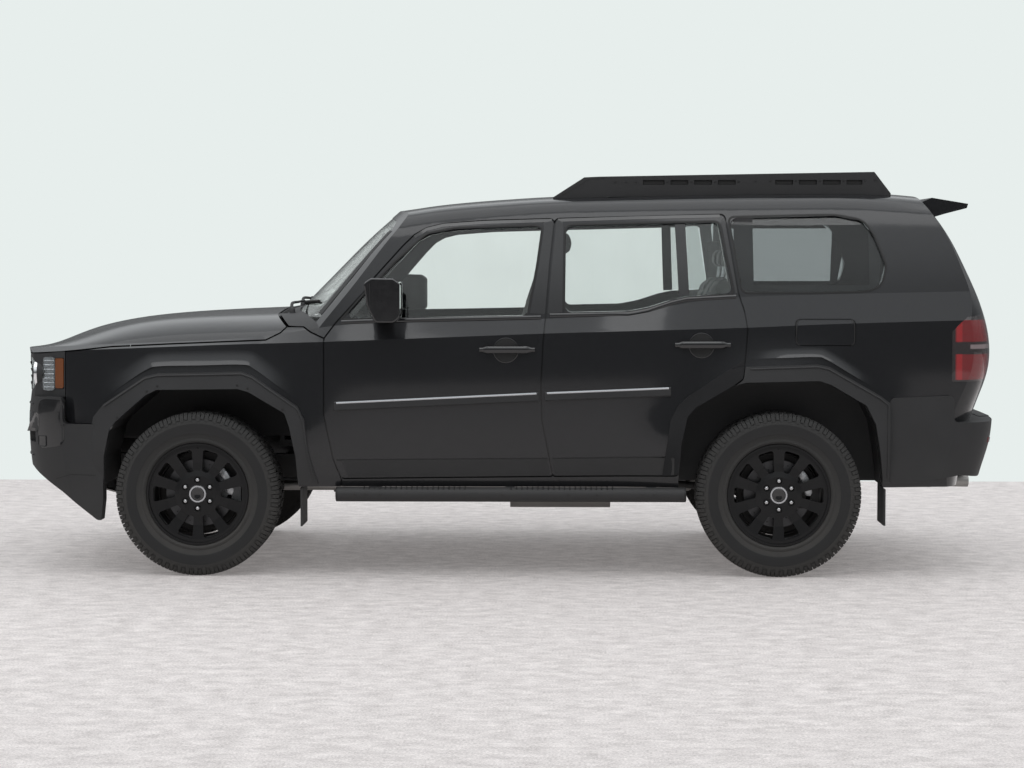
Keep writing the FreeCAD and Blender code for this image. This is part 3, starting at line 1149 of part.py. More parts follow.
FRONT_SEAT_SHARES = {
    "width": (0.150, 0.640),
    "base": [(0.420, 0.3340), (0.420, 0.415), (0.498, 0.415), (0.498, 0.3340)],
    "cushion": [(0.398, 0.415), (0.398, 0.470), (0.404, 0.482), (0.500, 0.462), (0.506, 0.415)],
    "back": [(0.500, 0.430), (0.488, 0.460), (0.530, 0.800), (0.540, 0.812), (0.556, 0.800), (0.535, 0.430)],
    "head_width": (0.280, 0.510),
    "head": [(0.538, 0.828), (0.541, 0.895), (0.560, 0.895), (0.562, 0.828)],
}
HEAD_POST_RADIUS = 8.0
SEAT_ROUND = 22.0
HEAD_LAP_SHARE = 0.012
POST_SHARES = (0.3, 0.7)
REAR_SEAT_SHARES = {
    "width": (-0.600, 0.600),
    "base": [(0.612, 0.3340), (0.612, 0.400), (0.672, 0.400), (0.672, 0.3340)],
    "cushion": [(0.592, 0.400), (0.592, 0.450), (0.600, 0.462), (0.682, 0.446), (0.686, 0.400)],
    "back": [(0.682, 0.420), (0.674, 0.446), (0.712, 0.770), (0.722, 0.782), (0.738, 0.770), (0.712, 0.420)],
    "head": [(0.716, 0.790), (0.719, 0.850), (0.736, 0.850), (0.738, 0.790)],
    "heads": [(-0.460, -0.250), (-0.100, 0.100), (0.250, 0.460)],
}


def seat(shares, heads):
    low, high = shares["width"]
    parts = [side_plate(shares["base"], y_at(low), y_at(high)),
             side_plate(shares["cushion"], y_at(low), y_at(high), SEAT_ROUND),
             side_plate(shares["back"], y_at(low), y_at(high), SEAT_ROUND)]
    for a, b in heads:
        parts.append(side_plate(shares["head"], y_at(a), y_at(b), SEAT_ROUND))
        middle = sum(s for s, _ in shares["head"]) / len(shares["head"])
        bottom = z_at(shares["head"][0][1] + HEAD_LAP_SHARE)
        top = z_at(shares["back"][3][1] - HEAD_LAP_SHARE)
        for across in POST_SHARES:
            foot = V(x_at(middle), y_at(a + across * (b - a)), top)
            parts.append(Part.makeCylinder(HEAD_POST_RADIUS, bottom - top, foot))
    return one(parts)


def front_seats(volumes):
    return Part.makeCompound(pair(seat(FRONT_SEAT_SHARES, [FRONT_SEAT_SHARES["head_width"]])))


def rear_seat(volumes):
    return seat(REAR_SEAT_SHARES, REAR_SEAT_SHARES["heads"])


# Wheels
BARREL_RADIUS = 226.0
BEAD_HALF_SHARE = 0.43
FACE_SET = 14.0
HUB_RADIUS = 74.0
BORE_RADIUS = 34.0
BORE_DEPTH = 14.0
NUT_CIRCLE = 69.8
NUT_POCKET = 17.0
NUTS = 6
WINDOW_ROUND = 12.0
WINDOW_POINTS = [(14.0, 112.0), (41.0, 218.0)]
RIM_OUTER_SHARES = [(-1.0, 1.0), (-0.72, 1.0), (-0.60, 0.0), (0.60, 0.0), (0.72, 1.0), (1.0, 1.0)]
RIM_INNER_SHARES = [(1.0, 1.0), (0.74, 1.0), (0.62, 0.0), (-0.62, 0.0), (-0.74, 1.0), (-1.0, 1.0)]
FACE_SHARES = [(0.0, 0.0), (0.36, 0.0), (0.46, 0.30), (0.62, 0.30), (0.90, -0.10), (0.965, -0.10),
               (0.965, 1.10), (0.88, 1.10), (0.62, 1.50), (0.40, 1.50), (0.30, 1.40), (0.0, 1.40)]
FACE_THICK = 22.0
TYRE_PROFILE_SHARES = [(-0.40, 0.0), (-0.46, 0.10), (-0.497, 0.36), (-0.50, 0.52), (-0.485, 0.78),
                       (-0.450, 0.93), (-0.385, 1.0), (0.385, 1.0), (0.450, 0.93), (0.485, 0.78),
                       (0.50, 0.52), (0.497, 0.36), (0.46, 0.10), (0.40, 0.0)]


def tyre_shape():
    tall = TYRE_RADIUS - RIM_RADIUS
    return lathe([(s * TYRE_WIDTH, RIM_RADIUS + SEAT + h * (tall - SEAT)) for s, h in TYRE_PROFILE_SHARES])


def rim_shape():
    """Barrel, ten-window face, hub and brake disc of a left wheel, its face towards -Y."""
    half = BEAD_HALF_SHARE * TYRE_WIDTH
    rise = RIM_RADIUS - BARREL_RADIUS
    outer = [(s * half, BARREL_RADIUS + h * rise) for s, h in RIM_OUTER_SHARES]
    inner = [(s * half, BARREL_RADIUS - RIM_WALL + h * rise) for s, h in RIM_INNER_SHARES]
    front = FACE_SET - half
    face = lathe([(front + t * FACE_THICK, r * RIM_RADIUS) for r, t in FACE_SHARES])
    for i in range(SPOKES):
        face = face.cut(turned(face_window(front), (i + 1 / 2) / SPOKES))
    pocket = Part.makeCylinder(NUT_POCKET, FACE_THICK / 2, V(0, front, NUT_CIRCLE), V(0, 1, 0))
    for i in range(NUTS):
        face = face.cut(turned(pocket, i / NUTS))
    face = face.cut(disc(BORE_RADIUS, front, front + BORE_DEPTH, 0, 0))
    near = HALF_TRACK - DISC_Y - DISC_THICK
    plate = disc(DISC_RADIUS, near, near + DISC_THICK, 0, 0)
    hat = disc(HUB_RADIUS, front + FACE_THICK, HALF_TRACK - HUB_FACE_Y, 0, 0)
    return one([lathe(outer + inner), face, plate, hat])


def face_window(front):
    """The opening between two spokes, wider outwards."""
    (narrow, near), (wide, far) = WINDOW_POINTS
    corners = [(-narrow, near), (-wide, far), (wide, far), (narrow, near)]
    wire = rounded([V(x, front - FACE_THICK, z) for x, z in corners], WINDOW_ROUND)
    return Part.Face(wire).extrude(V(0, 4 * FACE_THICK, 0))


def turned(shape, turn):
    """A copy turned about the wheel's axle by a share of a full turn."""
    copy = shape.copy()
    copy.rotate(V(0, 0, 0), V(0, 1, 0), 360 * turn)
    return copy


def placed(shape, x, y):
    copy = shape.copy()
    copy.translate(V(x, y, AXLE_Z))
    return copy


def wheels():
    """Tyres and rims at the four corners, the right ones mirrored."""
    tyre, rim = tyre_shape(), rim_shape()
    made = {}
    for corner, x in (("front", FRONT_AXLE_X), ("rear", REAR_AXLE_X)):
        for name, shape in (("tyre", tyre), ("rim", rim)):
            left = placed(shape, x, -HALF_TRACK)
            made[f"{name}_{corner}_left"] = left
            made[f"{name}_{corner}_right"] = other_side(left)
    return made


def build():
    volumes = lofts()
    left = volumes["left"]
    volumes["near_skin"] = body_loft(house_poles, -SEAT, -SEAT, -SEAT)
    deep = body_loft(house_poles, WALL + SEAT, FRAME + SEAT, ROOF + SEAT)
    volumes["cabin"] = deep.common(tail_loft(TAIL_WALL + SEAT))
    volumes["cabin_front"] = deep.common(screen_loft(PANEL_DEPTH))
    volumes["front_seat_inner"] = body_loft(hood_poles, SKIN + SEAT, SKIN + SEAT, HOOD + SEAT)
    parts = {}
    side = side_left(volumes)
    parts["side_left"] = largest(side.cut(fuel_opening(volumes)))
    parts["side_right"] = other_side(side)
    volumes["sides"] = Part.makeCompound([parts["side_left"], parts["side_right"]])
    parts["roof_panel"] = roof_panel(volumes)
    parts["fenders"] = Part.makeCompound(pair(fender(volumes)))
    parts["hood"] = hood(volumes)
    parts["front_door_left"] = front_door(volumes)
    parts["front_door_right"] = other_side(parts["front_door_left"])
    parts["rear_door_left"] = rear_door(volumes)
    parts["rear_door_right"] = other_side(parts["rear_door_left"])
    parts["front_window_left"] = window_glass(volumes, FRONT_WINDOW_SHARES)
    parts["front_window_right"] = other_side(parts["front_window_left"])
    parts["rear_window_left"] = window_glass(volumes, REAR_WINDOW_SHARES)
    parts["rear_window_right"] = other_side(parts["rear_window_left"])
    parts["quarter_glass"] = quarter_glass(volumes)
    parts["windscreen"] = windscreen(volumes)
    parts["tailgate"] = tailgate(volumes)
    parts["tailgate_glass"] = tailgate_glass(volumes)
    parts["fuel_lid"] = fuel_lid(volumes)
    parts["cowl"] = cowl(volumes)
    parts["grille_panel"] = grille_panel(volumes)
    parts["headlamps"] = headlamps(volumes)
    parts["tail_lamps"] = tail_lamps(volumes)
    parts["arch_flares"] = volumes["flares"] = arch_flares(volumes)
    parts["front_bumper"] = front_bumper(volumes)
    parts["mud_flaps"] = mud_flaps(volumes)
    parts["side_steps"] = side_steps(volumes)
    parts["roof_rack"] = roof_rack(volumes)
    parts["mirror_left"] = mirror(volumes)
    parts["mirror_right"] = other_side(parts["mirror_left"])
    parts["floor_pan"] = volumes["floor"] = floor_pan(volumes)
    parts["frame_rails"] = volumes["rails"] = frame_rails(volumes)
    parts["rear_bumper"] = rear_bumper(volumes)
    parts["crossmembers"] = crossmembers(volumes)
    volumes["chassis"] = Part.makeCompound(parts["frame_rails"].Solids + parts["crossmembers"].Solids)
    parts["arch_liners"] = arch_liners(volumes)
    parts["rear_axle"] = volumes["axle"] = rear_axle(volumes)
    parts["suspension_arms"] = volumes["arms"] = suspension_arms(volumes)
    parts["springs"] = springs(volumes)
    parts["knuckle_left"] = knuckle(volumes)
    parts["knuckle_right"] = other_side(parts["knuckle_left"])
    parts["engine_block"] = engine_block(volumes)
    volumes["engine"] = parts["engine_block"]
    parts["driveline"] = driveline(volumes)
    parts["exhaust"] = exhaust(volumes)
    parts["fuel_tank"] = fuel_tank(volumes)
    parts["dashboard"] = dashboard(volumes)
    parts["steering_wheel"] = steering_wheel(volumes)
    parts["front_seats"] = front_seats(volumes)
    parts["rear_seat"] = rear_seat(volumes)
    parts.update(wheels())
    return parts


def main():
    os.makedirs("parts", exist_ok=True)
    for name, shape in build().items():
        shape.exportStep(os.path.join("parts", name + ".step"))


if __name__ == "__main__":
    main()
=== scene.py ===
"""A lifted off-road wagon: finishes, lamps, trim, tread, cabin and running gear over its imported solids."""
import json
import math

import bmesh
import bpy
from mathutils import Matrix, Vector
from mathutils.bvhtree import BVHTree


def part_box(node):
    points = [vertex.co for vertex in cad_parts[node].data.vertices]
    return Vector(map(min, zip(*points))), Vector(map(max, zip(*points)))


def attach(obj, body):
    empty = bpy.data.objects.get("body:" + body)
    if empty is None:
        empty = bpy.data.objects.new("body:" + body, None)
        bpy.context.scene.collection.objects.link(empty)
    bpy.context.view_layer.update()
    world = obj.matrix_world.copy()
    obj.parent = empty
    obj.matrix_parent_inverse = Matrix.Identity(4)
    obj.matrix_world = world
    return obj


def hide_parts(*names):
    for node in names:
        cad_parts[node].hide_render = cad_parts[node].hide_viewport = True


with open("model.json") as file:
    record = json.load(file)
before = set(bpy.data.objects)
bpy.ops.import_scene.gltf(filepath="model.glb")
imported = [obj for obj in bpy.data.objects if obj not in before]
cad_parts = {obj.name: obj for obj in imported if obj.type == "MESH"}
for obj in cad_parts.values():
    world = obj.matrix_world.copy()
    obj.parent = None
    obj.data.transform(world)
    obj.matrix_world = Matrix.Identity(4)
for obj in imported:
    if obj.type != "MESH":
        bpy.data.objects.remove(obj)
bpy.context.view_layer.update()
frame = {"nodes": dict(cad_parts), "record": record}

LENGTH, HALF_WIDTH, HEIGHT = 4.925, 0.99, 1.9
AXLES = (-1.5225, 1.3275)
TRACK, AXLE_Z = 0.832, 0.403
TURN = 2 * math.pi


def x_at(share):
    return (share - 0.5) * LENGTH


def z_at(share):
    return share * HEIGHT


def side_points(shares):
    return [(x_at(s), z_at(h)) for s, h in shares]


# Shader groups: effects that several finishes share
def new_group(name, inputs, outputs):
    tree = bpy.data.node_groups.new(name, "ShaderNodeTree")
    for label, value in inputs:
        tree.interface.new_socket(label, in_out="INPUT",
            socket_type="NodeSocketFloat").default_value = value
    for label in outputs:
        kind = "NodeSocketColor" if label == "Tone" else "NodeSocketFloat"
        tree.interface.new_socket(label, in_out="OUTPUT", socket_type=kind)
    start, end = tree.nodes.new("NodeGroupInput"), tree.nodes.new("NodeGroupOutput")
    return tree, start, end


def node(tree, kind, links=(), **values):
    made = tree.nodes.new(kind)
    for key, value in values.items():
        if hasattr(made, key):
            setattr(made, key, value)
        else:
            made.inputs[key.replace("_", " ")].default_value = value
    for key, source in dict(links).items():
        tree.links.new(source, made.inputs[key])
    return made


def feed(tree, surface, **sources):
    for key, source in sources.items():
        tree.links.new(source, surface.inputs[key.replace("_", " ")])


def maths(tree, operation, a, b=None, c=None):
    made = tree.nodes.new("ShaderNodeMath")
    made.operation = operation
    for slot, value in zip(made.inputs, (a, b, c)):
        if isinstance(value, (int, float)):
            slot.default_value = value
        elif value is not None:
            tree.links.new(value, slot)
    return made.outputs[0]


def grain_group():
    """Fine moulded grain: a height for the bump and a slow shift of tone."""
    tree, start, end = new_group("moulded_grain", [("Scale", 900.0), ("Spread", 6.0)], ["Height", "Shade"])
    where = node(tree, "ShaderNodeTexCoord").outputs["Object"]
    cells = node(tree, "ShaderNodeTexVoronoi", {"Vector": where, "Scale": start.outputs["Scale"]})
    fine = node(tree, "ShaderNodeTexNoise", {"Vector": where, "Scale": start.outputs["Scale"]}, Detail=3.0)
    slow = node(tree, "ShaderNodeTexNoise", {"Vector": where, "Scale": start.outputs["Spread"]}, Detail=4.0)
    tree.links.new(maths(tree, "MULTIPLY_ADD", cells.outputs["Distance"], 0.7, fine.outputs["Fac"]),
        end.inputs["Height"])
    tree.links.new(slow.outputs["Fac"], end.inputs["Shade"])
    return tree


def flake_group():
    """Metallic flakes and a faint ripple of the clear coat."""
    tree, start, end = new_group("metal_flake", [("Scale", 2600.0), ("Ripple", 60.0)], ["Flake", "Height"])
    where = node(tree, "ShaderNodeTexCoord").outputs["Object"]
    cells = node(tree, "ShaderNodeTexVoronoi", {"Vector": where, "Scale": start.outputs["Scale"]})
    ripple = node(tree, "ShaderNodeTexNoise", {"Vector": where, "Scale": start.outputs["Ripple"]},
        Detail=1.0)
    bright = node(tree, "ShaderNodeSeparateColor", {"Color": cells.outputs["Color"]})
    tree.links.new(maths(tree, "POWER", bright.outputs[0], 3.0), end.inputs["Flake"])
    tree.links.new(ripple.outputs["Fac"], end.inputs["Height"])
    return tree


def dust_group():
    """Road dust that thins out with height above the floor."""
    tree, start, end = new_group("road_dust", [("Low", 0.25), ("High", 0.75), ("Amount", 0.3)], ["Dust"])
    where = node(tree, "ShaderNodeTexCoord").outputs["Object"]
    height = node(tree, "ShaderNodeSeparateXYZ", {"Vector": where}).outputs["Z"]
    noise = node(tree, "ShaderNodeTexNoise", {"Vector": where}, Scale=9.0, Detail=6.0, Roughness=0.65)
    fade = node(tree, "ShaderNodeMapRange", {"Value": height, "From Min": start.outputs["Low"],
        "From Max": start.outputs["High"]})
    fade.inputs["To Min"].default_value, fade.inputs["To Max"].default_value = 1.0, 0.0
    patchy = maths(tree, "MULTIPLY", fade.outputs[0], noise.outputs["Fac"])
    tree.links.new(maths(tree, "MULTIPLY", patchy, start.outputs["Amount"]), end.inputs["Dust"])
    return tree


def weave_group():
    """Crossed threads for cloth and carpet."""
    tree, start, end = new_group("woven_threads", [("Scale", 500.0)], ["Height", "Shade"])
    where = node(tree, "ShaderNodeTexCoord").outputs["Object"]
    waves = []
    for direction in ("X", "Z"):
        wave = node(tree, "ShaderNodeTexWave", {"Vector": where, "Scale": start.outputs["Scale"]},
            bands_direction=direction, Distortion=0.6)
        waves.append(wave.outputs["Fac"])
    slow = node(tree, "ShaderNodeTexNoise", {"Vector": where}, Scale=14.0, Detail=4.0)
    tree.links.new(maths(tree, "MAXIMUM", *waves), end.inputs["Height"])
    tree.links.new(slow.outputs["Fac"], end.inputs["Shade"])
    return tree


def brushed_group():
    """Streaks of rolled or machined metal and patches of its tarnish."""
    tree, start, end = new_group("worked_metal", [("Scale", 40.0), ("Stretch", 12.0)], ["Height", "Shade"])
    where = node(tree, "ShaderNodeTexCoord").outputs["Object"]
    parts = node(tree, "ShaderNodeSeparateXYZ", {"Vector": where})
    joined = node(tree, "ShaderNodeCombineXYZ", {"X": parts.outputs["X"], "Y": maths(tree, "MULTIPLY",
        parts.outputs["Y"], 3.0), "Z": maths(tree, "MULTIPLY", parts.outputs["Z"],
        start.outputs["Stretch"])})
    fine = node(tree, "ShaderNodeTexNoise", {"Vector": joined.outputs[0], "Scale": start.outputs["Scale"]},
        Detail=5.0)
    slow = node(tree, "ShaderNodeTexNoise", {"Vector": where}, Scale=7.0, Detail=6.0)
    tree.links.new(fine.outputs["Fac"], end.inputs["Height"])
    tree.links.new(slow.outputs["Fac"], end.inputs["Shade"])
    return tree


GROUPS = {"grain": grain_group(), "flake": flake_group(), "dust": dust_group(), "weave": weave_group(),
    "brushed": brushed_group()}
DUST_COLOUR = (0.17, 0.155, 0.14, 1.0)


def shader(name, **plain):
    material = bpy.data.materials.new(name)
    material.use_nodes = True
    tree = material.node_tree
    surface = tree.nodes["Principled BSDF"]
    for key, value in plain.items():
        surface.inputs[key.replace("_", " ")].default_value = value
    return material, tree, surface


def use(tree, key, **values):
    made = tree.nodes.new("ShaderNodeGroup")
    made.node_tree = GROUPS[key]
    for label, value in values.items():
        made.inputs[label].default_value = value
    return made.outputs


def span(tree, value, low, high):
    """A value from 0 to 1 spread between two others."""
    made = node(tree, "ShaderNodeMapRange", {"Value": value})
    made.inputs["To Min"].default_value, made.inputs["To Max"].default_value = low, high
    return made.outputs[0]


def blend_colour(tree, share, a, b):
    made = tree.nodes.new("ShaderNodeMix")
    made.data_type = "RGBA"
    tree.links.new(share, made.inputs["Factor"])
    for slot, value in ((made.inputs[6], a), (made.inputs[7], b)):
        if isinstance(value, tuple):
            slot.default_value = value if len(value) == 4 else (*value, 1.0)
        else:
            tree.links.new(value, slot)
    return made.outputs[2]


def bump(tree, surface, height, strength, distance):
    made = node(tree, "ShaderNodeBump", {"Height": height}, Strength=strength, Distance=distance)
    feed(tree, surface, Normal=made.outputs[0])


def textured(name, colour, rough, effect, strength, distance, contrast=0.35, dusty=0.0, scales=None,
        **plain):
    """A finish whose tone, roughness and bump come from one of the shared effects.

    The numbers are its colour, its lowest and highest roughness, and the strength and depth of the bump."""
    material, tree, surface = shader(name, **plain)
    effect_out = use(tree, effect, **(scales or {}))
    darker, lighter = (tuple(c * f for c in colour) for f in (1 - contrast, 1 + contrast))
    tone = blend_colour(tree, effect_out["Shade"], darker, lighter)
    roughness = span(tree, effect_out["Shade"], rough[0], rough[1])
    if dusty:
        dust = use(tree, "dust", Amount=dusty)["Dust"]
        tone = blend_colour(tree, dust, tone, DUST_COLOUR)
        roughness = maths(tree, "ADD", roughness, dust)
    feed(tree, surface, Base_Color=tone, Roughness=roughness)
    bump(tree, surface, effect_out["Height"], strength, distance)
    return material


PAINT_TONES = ((0.0055, 0.0058, 0.0068), (0.034, 0.035, 0.039))
PAINT_ROUGH = (0.3, 0.42)
CLEAR_COAT = {"Coat_Roughness": 0.09, "Coat_IOR": 1.45, "Specular_IOR_Level": 0.15}
PAINT_METAL = 0.25


def paint():
    material, tree, surface = shader("metallic_paint", Metallic=PAINT_METAL, Coat_Weight=1.0, **CLEAR_COAT)
    flakes = use(tree, "flake")
    tone = blend_colour(tree, flakes["Flake"], *PAINT_TONES)
    dust = use(tree, "dust", Low=0.3, High=0.8, Amount=0.06)["Dust"]
    feed(tree, surface, Base_Color=blend_colour(tree, dust, tone, DUST_COLOUR))
    feed(tree, surface, Roughness=span(tree, flakes["Flake"], *PAINT_ROUGH))
    bump(tree, surface, flakes["Height"], 0.012, 0.002)
    return material


REAR_FLARE_FRONT = ((0.264, 0.6535), (0.4074, 0.6618), (0.4438, 0.6688), (0.4656, 0.6781), (0.5374, 0.7201))


def rear_door_paint():
    """Paint, with grained plastic behind the slanting front edge of the wheel-arch moulding."""
    material, tree, surface = shader("rear_door_paint", **CLEAR_COAT)
    where = node(tree, "ShaderNodeSeparateXYZ",
        {"Vector": node(tree, "ShaderNodeTexCoord").outputs["Object"]})
    edge = None
    for (h0, s0), (h1, s1) in zip(REAR_FLARE_FRONT, REAR_FLARE_FRONT[1:]):
        slope = (x_at(s1) - x_at(s0)) / (z_at(h1) - z_at(h0))
        line = maths(tree, "MULTIPLY_ADD", where.outputs["Z"], slope, x_at(s0) - slope * z_at(h0))
        edge = line if edge is None else maths(tree, "MAXIMUM", edge, line)
    outside = maths(tree, "GREATER_THAN", maths(tree, "ABSOLUTE", where.outputs["Y"]), 0.8)
    mask = maths(tree, "MULTIPLY", maths(tree, "GREATER_THAN", where.outputs["X"], edge), outside)
    flakes, grain = use(tree, "flake"), use(tree, "grain")
    tone = blend_colour(tree, flakes["Flake"], *PAINT_TONES)
    plastic = blend_colour(tree, grain["Shade"], (0.013, 0.013, 0.0137), (0.027, 0.027, 0.0284))
    feed(tree, surface, Base_Color=blend_colour(tree, mask, tone, plastic))
    feed(tree, surface, Roughness=maths(tree, "MULTIPLY_ADD", mask, 0.26, span(tree, flakes["Flake"],
        *PAINT_ROUGH)))
    feed(tree, surface, Coat_Weight=maths(tree, "SUBTRACT", 1.0, mask))
    feed(tree, surface, Metallic=maths(tree, "MULTIPLY_ADD", mask, -PAINT_METAL, PAINT_METAL))
    bump(tree, surface, maths(tree, "MULTIPLY", grain["Height"], mask), 0.35, 0.0006)
    return material


def gloss_black():
    material, tree, surface = shader("gloss_black", Coat_Weight=0.6, Coat_Roughness=0.03)
    flakes = use(tree, "flake", Scale=300.0)
    feed(tree, surface, Base_Color=blend_colour(tree, flakes["Height"], (0.004, 0.004, 0.005),
        (0.012, 0.012, 0.013)))
    feed(tree, surface, Roughness=span(tree, flakes["Height"], 0.08, 0.2))
    return material


def glass(name, tint, rough=(0.0, 0.003)):
    material, tree, surface = shader(name, Transmission_Weight=1.0, IOR=1.45)
    flakes = use(tree, "flake", Scale=120.0, Ripple=5.0)
    feed(tree, surface, Base_Color=blend_colour(tree, flakes["Height"], tuple(c * 0.94 for c in tint),
        tint))
    feed(tree, surface, Roughness=span(tree, flakes["Height"], *rough))
    return material


def floor_finish():
    material, tree, surface = shader("studio_floor")
    where = node(tree, "ShaderNodeTexCoord").outputs["Object"]
    stretch = node(tree, "ShaderNodeMapping", {"Vector": where})
    stretch.inputs["Scale"].default_value = (1.0, 1.5, 1.0)
    slow = node(tree, "ShaderNodeTexNoise", {"Vector": stretch.outputs[0]}, Scale=9.0, Detail=9.0,
        Roughness=0.72)
    fine = node(tree, "ShaderNodeTexNoise", {"Vector": where}, Scale=110.0, Detail=5.0, Roughness=0.75)
    both = maths(tree, "MULTIPLY_ADD", fine.outputs["Fac"], 0.65,
        maths(tree, "MULTIPLY", slow.outputs["Fac"], 0.45))
    speckle = node(tree, "ShaderNodeMapRange", {"Value": both}, From_Min=0.42, From_Max=0.68).outputs[0]
    tone = blend_colour(tree, speckle, (0.295, 0.273, 0.267), (0.625, 0.592, 0.582))
    feed(tree, surface, Base_Color=tone, Emission_Color=tone)
    path = node(tree, "ShaderNodeLightPath")
    seen = maths(tree, "MAXIMUM", path.outputs["Is Camera Ray"],
        maths(tree, "MAXIMUM", path.outputs["Is Glossy Ray"], path.outputs["Is Transmission Ray"]))
    feed(tree, surface, Emission_Strength=maths(tree, "MULTIPLY", seen, 0.42))
    feed(tree, surface, Roughness=span(tree, slow.outputs["Fac"], 0.55, 0.75))
    bump(tree, surface, fine.outputs["Fac"], 0.25, 0.01)
    return material


M = {
    "body_paint": paint(),
    "gloss_trim": gloss_black(),
    "black_trim": textured("grained_plastic", (0.02, 0.02, 0.021), (0.5, 0.66), "grain", 0.35, 0.0006,
        dusty=0.12),
    "rear_door_paint": rear_door_paint(),
    "clear_glass": glass("clear_glass", (0.945, 0.965, 0.955)),
    "door_glass": glass("rear_door_glass", (0.9, 0.925, 0.915)),
    "dark_glass": glass("privacy_glass", (0.5, 0.52, 0.525)),
    "pane_film": glass("pane_film", (0.78, 0.8, 0.8)),
    "lamp_lens": glass("lamp_lens", (0.94, 0.95, 0.96), (0.0, 0.02)),
    "lamp_shell": textured("lamp_shell", (0.2, 0.205, 0.215), (0.16, 0.34), "brushed", 0.35, 0.0012, 0.55,
        Metallic=0.9),
    "amber_lens": textured("amber_lens", (0.17, 0.052, 0.015), (0.1, 0.18), "brushed", 0.3, 0.001, 0.25,
        Coat_Weight=1.0, Coat_Roughness=0.03),
    "tyre": textured("tyre_rubber", (0.026, 0.0255, 0.025), (0.62, 0.82), "grain", 0.35, 0.0006,
        dusty=0.24, scales={"Scale": 420.0}),
    "tyre_band": textured("polished_rubber", (0.008, 0.008, 0.0085), (0.42, 0.55), "grain", 0.15, 0.0004,
        scales={"Scale": 700.0}),
    "wheel_alloy": textured("satin_black_alloy", (0.0075, 0.0075, 0.008), (0.34, 0.46), "grain", 0.12,
        0.0003, scales={"Scale": 1300.0}, Metallic=0.25, Coat_Weight=0.15, Coat_Roughness=0.2,
        Specular_IOR_Level=0.3),
    "chassis_steel": textured("chassis_coating", (0.018, 0.018, 0.019), (0.42, 0.6), "grain", 0.3, 0.001,
        dusty=0.35, scales={"Scale": 220.0}, Metallic=0.2),
    "cast_metal": textured("cast_alloy", (0.16, 0.165, 0.17), (0.42, 0.6), "grain", 0.5, 0.0015,
        dusty=0.25, scales={"Scale": 260.0}, Metallic=0.8),
    "exhaust_steel": textured("aluminised_steel", (0.34, 0.33, 0.32), (0.28, 0.45), "brushed", 0.15, 0.001,
        dusty=0.2, Metallic=0.9),
    "brake_iron": textured("turned_iron", (0.085, 0.085, 0.088), (0.34, 0.46), "brushed", 0.2, 0.0006,
        scales={"Scale": 90.0}, Metallic=0.95),
    "caliper": textured("caliper_silver", (0.5, 0.51, 0.52), (0.3, 0.42), "grain", 0.35, 0.001, 0.15,
        scales={"Scale": 300.0}, Metallic=0.8),
    "nut_steel": textured("plated_steel", (0.55, 0.55, 0.56), (0.2, 0.32), "brushed", 0.1, 0.0005, 0.15,
        Metallic=1.0),
    "bright_trim": textured("satin_bright", (0.5, 0.51, 0.53), (0.16, 0.26), "brushed", 0.06, 0.0004, 0.12,
        Metallic=1.0),
    "reflector": textured("vapour_chrome", (0.82, 0.83, 0.84), (0.05, 0.12), "brushed", 0.03, 0.0005, 0.05,
        Metallic=1.0),
    "rubber": textured("seal_rubber", (0.009, 0.009, 0.009), (0.55, 0.7), "grain", 0.2, 0.0005),
    "cabin_trim": textured("soft_trim", (0.03, 0.03, 0.032), (0.55, 0.7), "grain", 0.5, 0.0007,
        scales={"Scale": 620.0}),
    "seat_cover": textured("seat_hide", (0.03, 0.029, 0.029), (0.46, 0.6), "grain", 0.45, 0.001,
        scales={"Scale": 480.0, "Spread": 9.0}, Sheen_Weight=0.1),
    "carpet": textured("carpet", (0.02, 0.02, 0.021), (0.85, 0.95), "weave", 0.7, 0.003,
        scales={"Scale": 180.0}, Sheen_Weight=0.2),
    "headlining": textured("headlining", (0.42, 0.41, 0.39), (0.8, 0.92), "weave", 0.25, 0.001, 0.08,
        scales={"Scale": 400.0}),
    "webbing": textured("belt_webbing", (0.022, 0.022, 0.024), (0.55, 0.7), "weave", 0.5, 0.0008,
        scales={"Scale": 700.0}),
    "display": textured("display_glass", (0.006, 0.007, 0.009), (0.05, 0.12), "grain", 0.0, 0.0002,
        Coat_Weight=1.0, Coat_Roughness=0.02),
    "stitch": textured("stitch_thread", (0.16, 0.16, 0.16), (0.7, 0.8), "weave", 0.3, 0.0005,
        scales={"Scale": 900.0}),
}


# Meshes
def link(name, mesh):
    made = bpy.data.objects.new(name, mesh)
    bpy.context.scene.collection.objects.link(made)
    return made


def from_bmesh(name, bm, smooth_angle=0.6):
    bmesh.ops.remove_doubles(bm, verts=bm.verts, dist=1e-6)
    bmesh.ops.recalc_face_normals(bm, faces=bm.faces)
    mesh = bpy.data.meshes.new(name)
    bm.to_mesh(mesh)
    bm.free()
    for face in mesh.polygons:
        face.use_smooth = True
    mesh.set_sharp_from_angle(angle=smooth_angle)
    return link(name, mesh)


def as_plain(made, name):
    """The evaluated object as a plain mesh without modifiers."""
    graph = bpy.context.evaluated_depsgraph_get()
    mesh = bpy.data.meshes.new_from_object(made.evaluated_get(graph), depsgraph=graph)
    bpy.data.objects.remove(made)
    return link(name, mesh)


def mirrored(source, name):
    mesh = source.data.copy()
    mesh.transform(Matrix.Scale(-1, 4, (0, 1, 0)))
    mesh.flip_normals()
    return link(name, mesh)


def dress(made, finish, body="body"):
    """Give a piece its finish and the body that carries it."""
    made.data.materials.clear()
    made.data.materials.append(M[finish])
    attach(made, body)
    return made


def dress_pair(left, finish, body="body"):
    """A left piece and its mirror image; a body name may hold SIDE."""
    right = mirrored(left, left.name.replace("left", "right"))
    dress(left, finish, body.replace("SIDE", "left"))
    dress(right, finish, body.replace("SIDE", "right"))
    return left, right


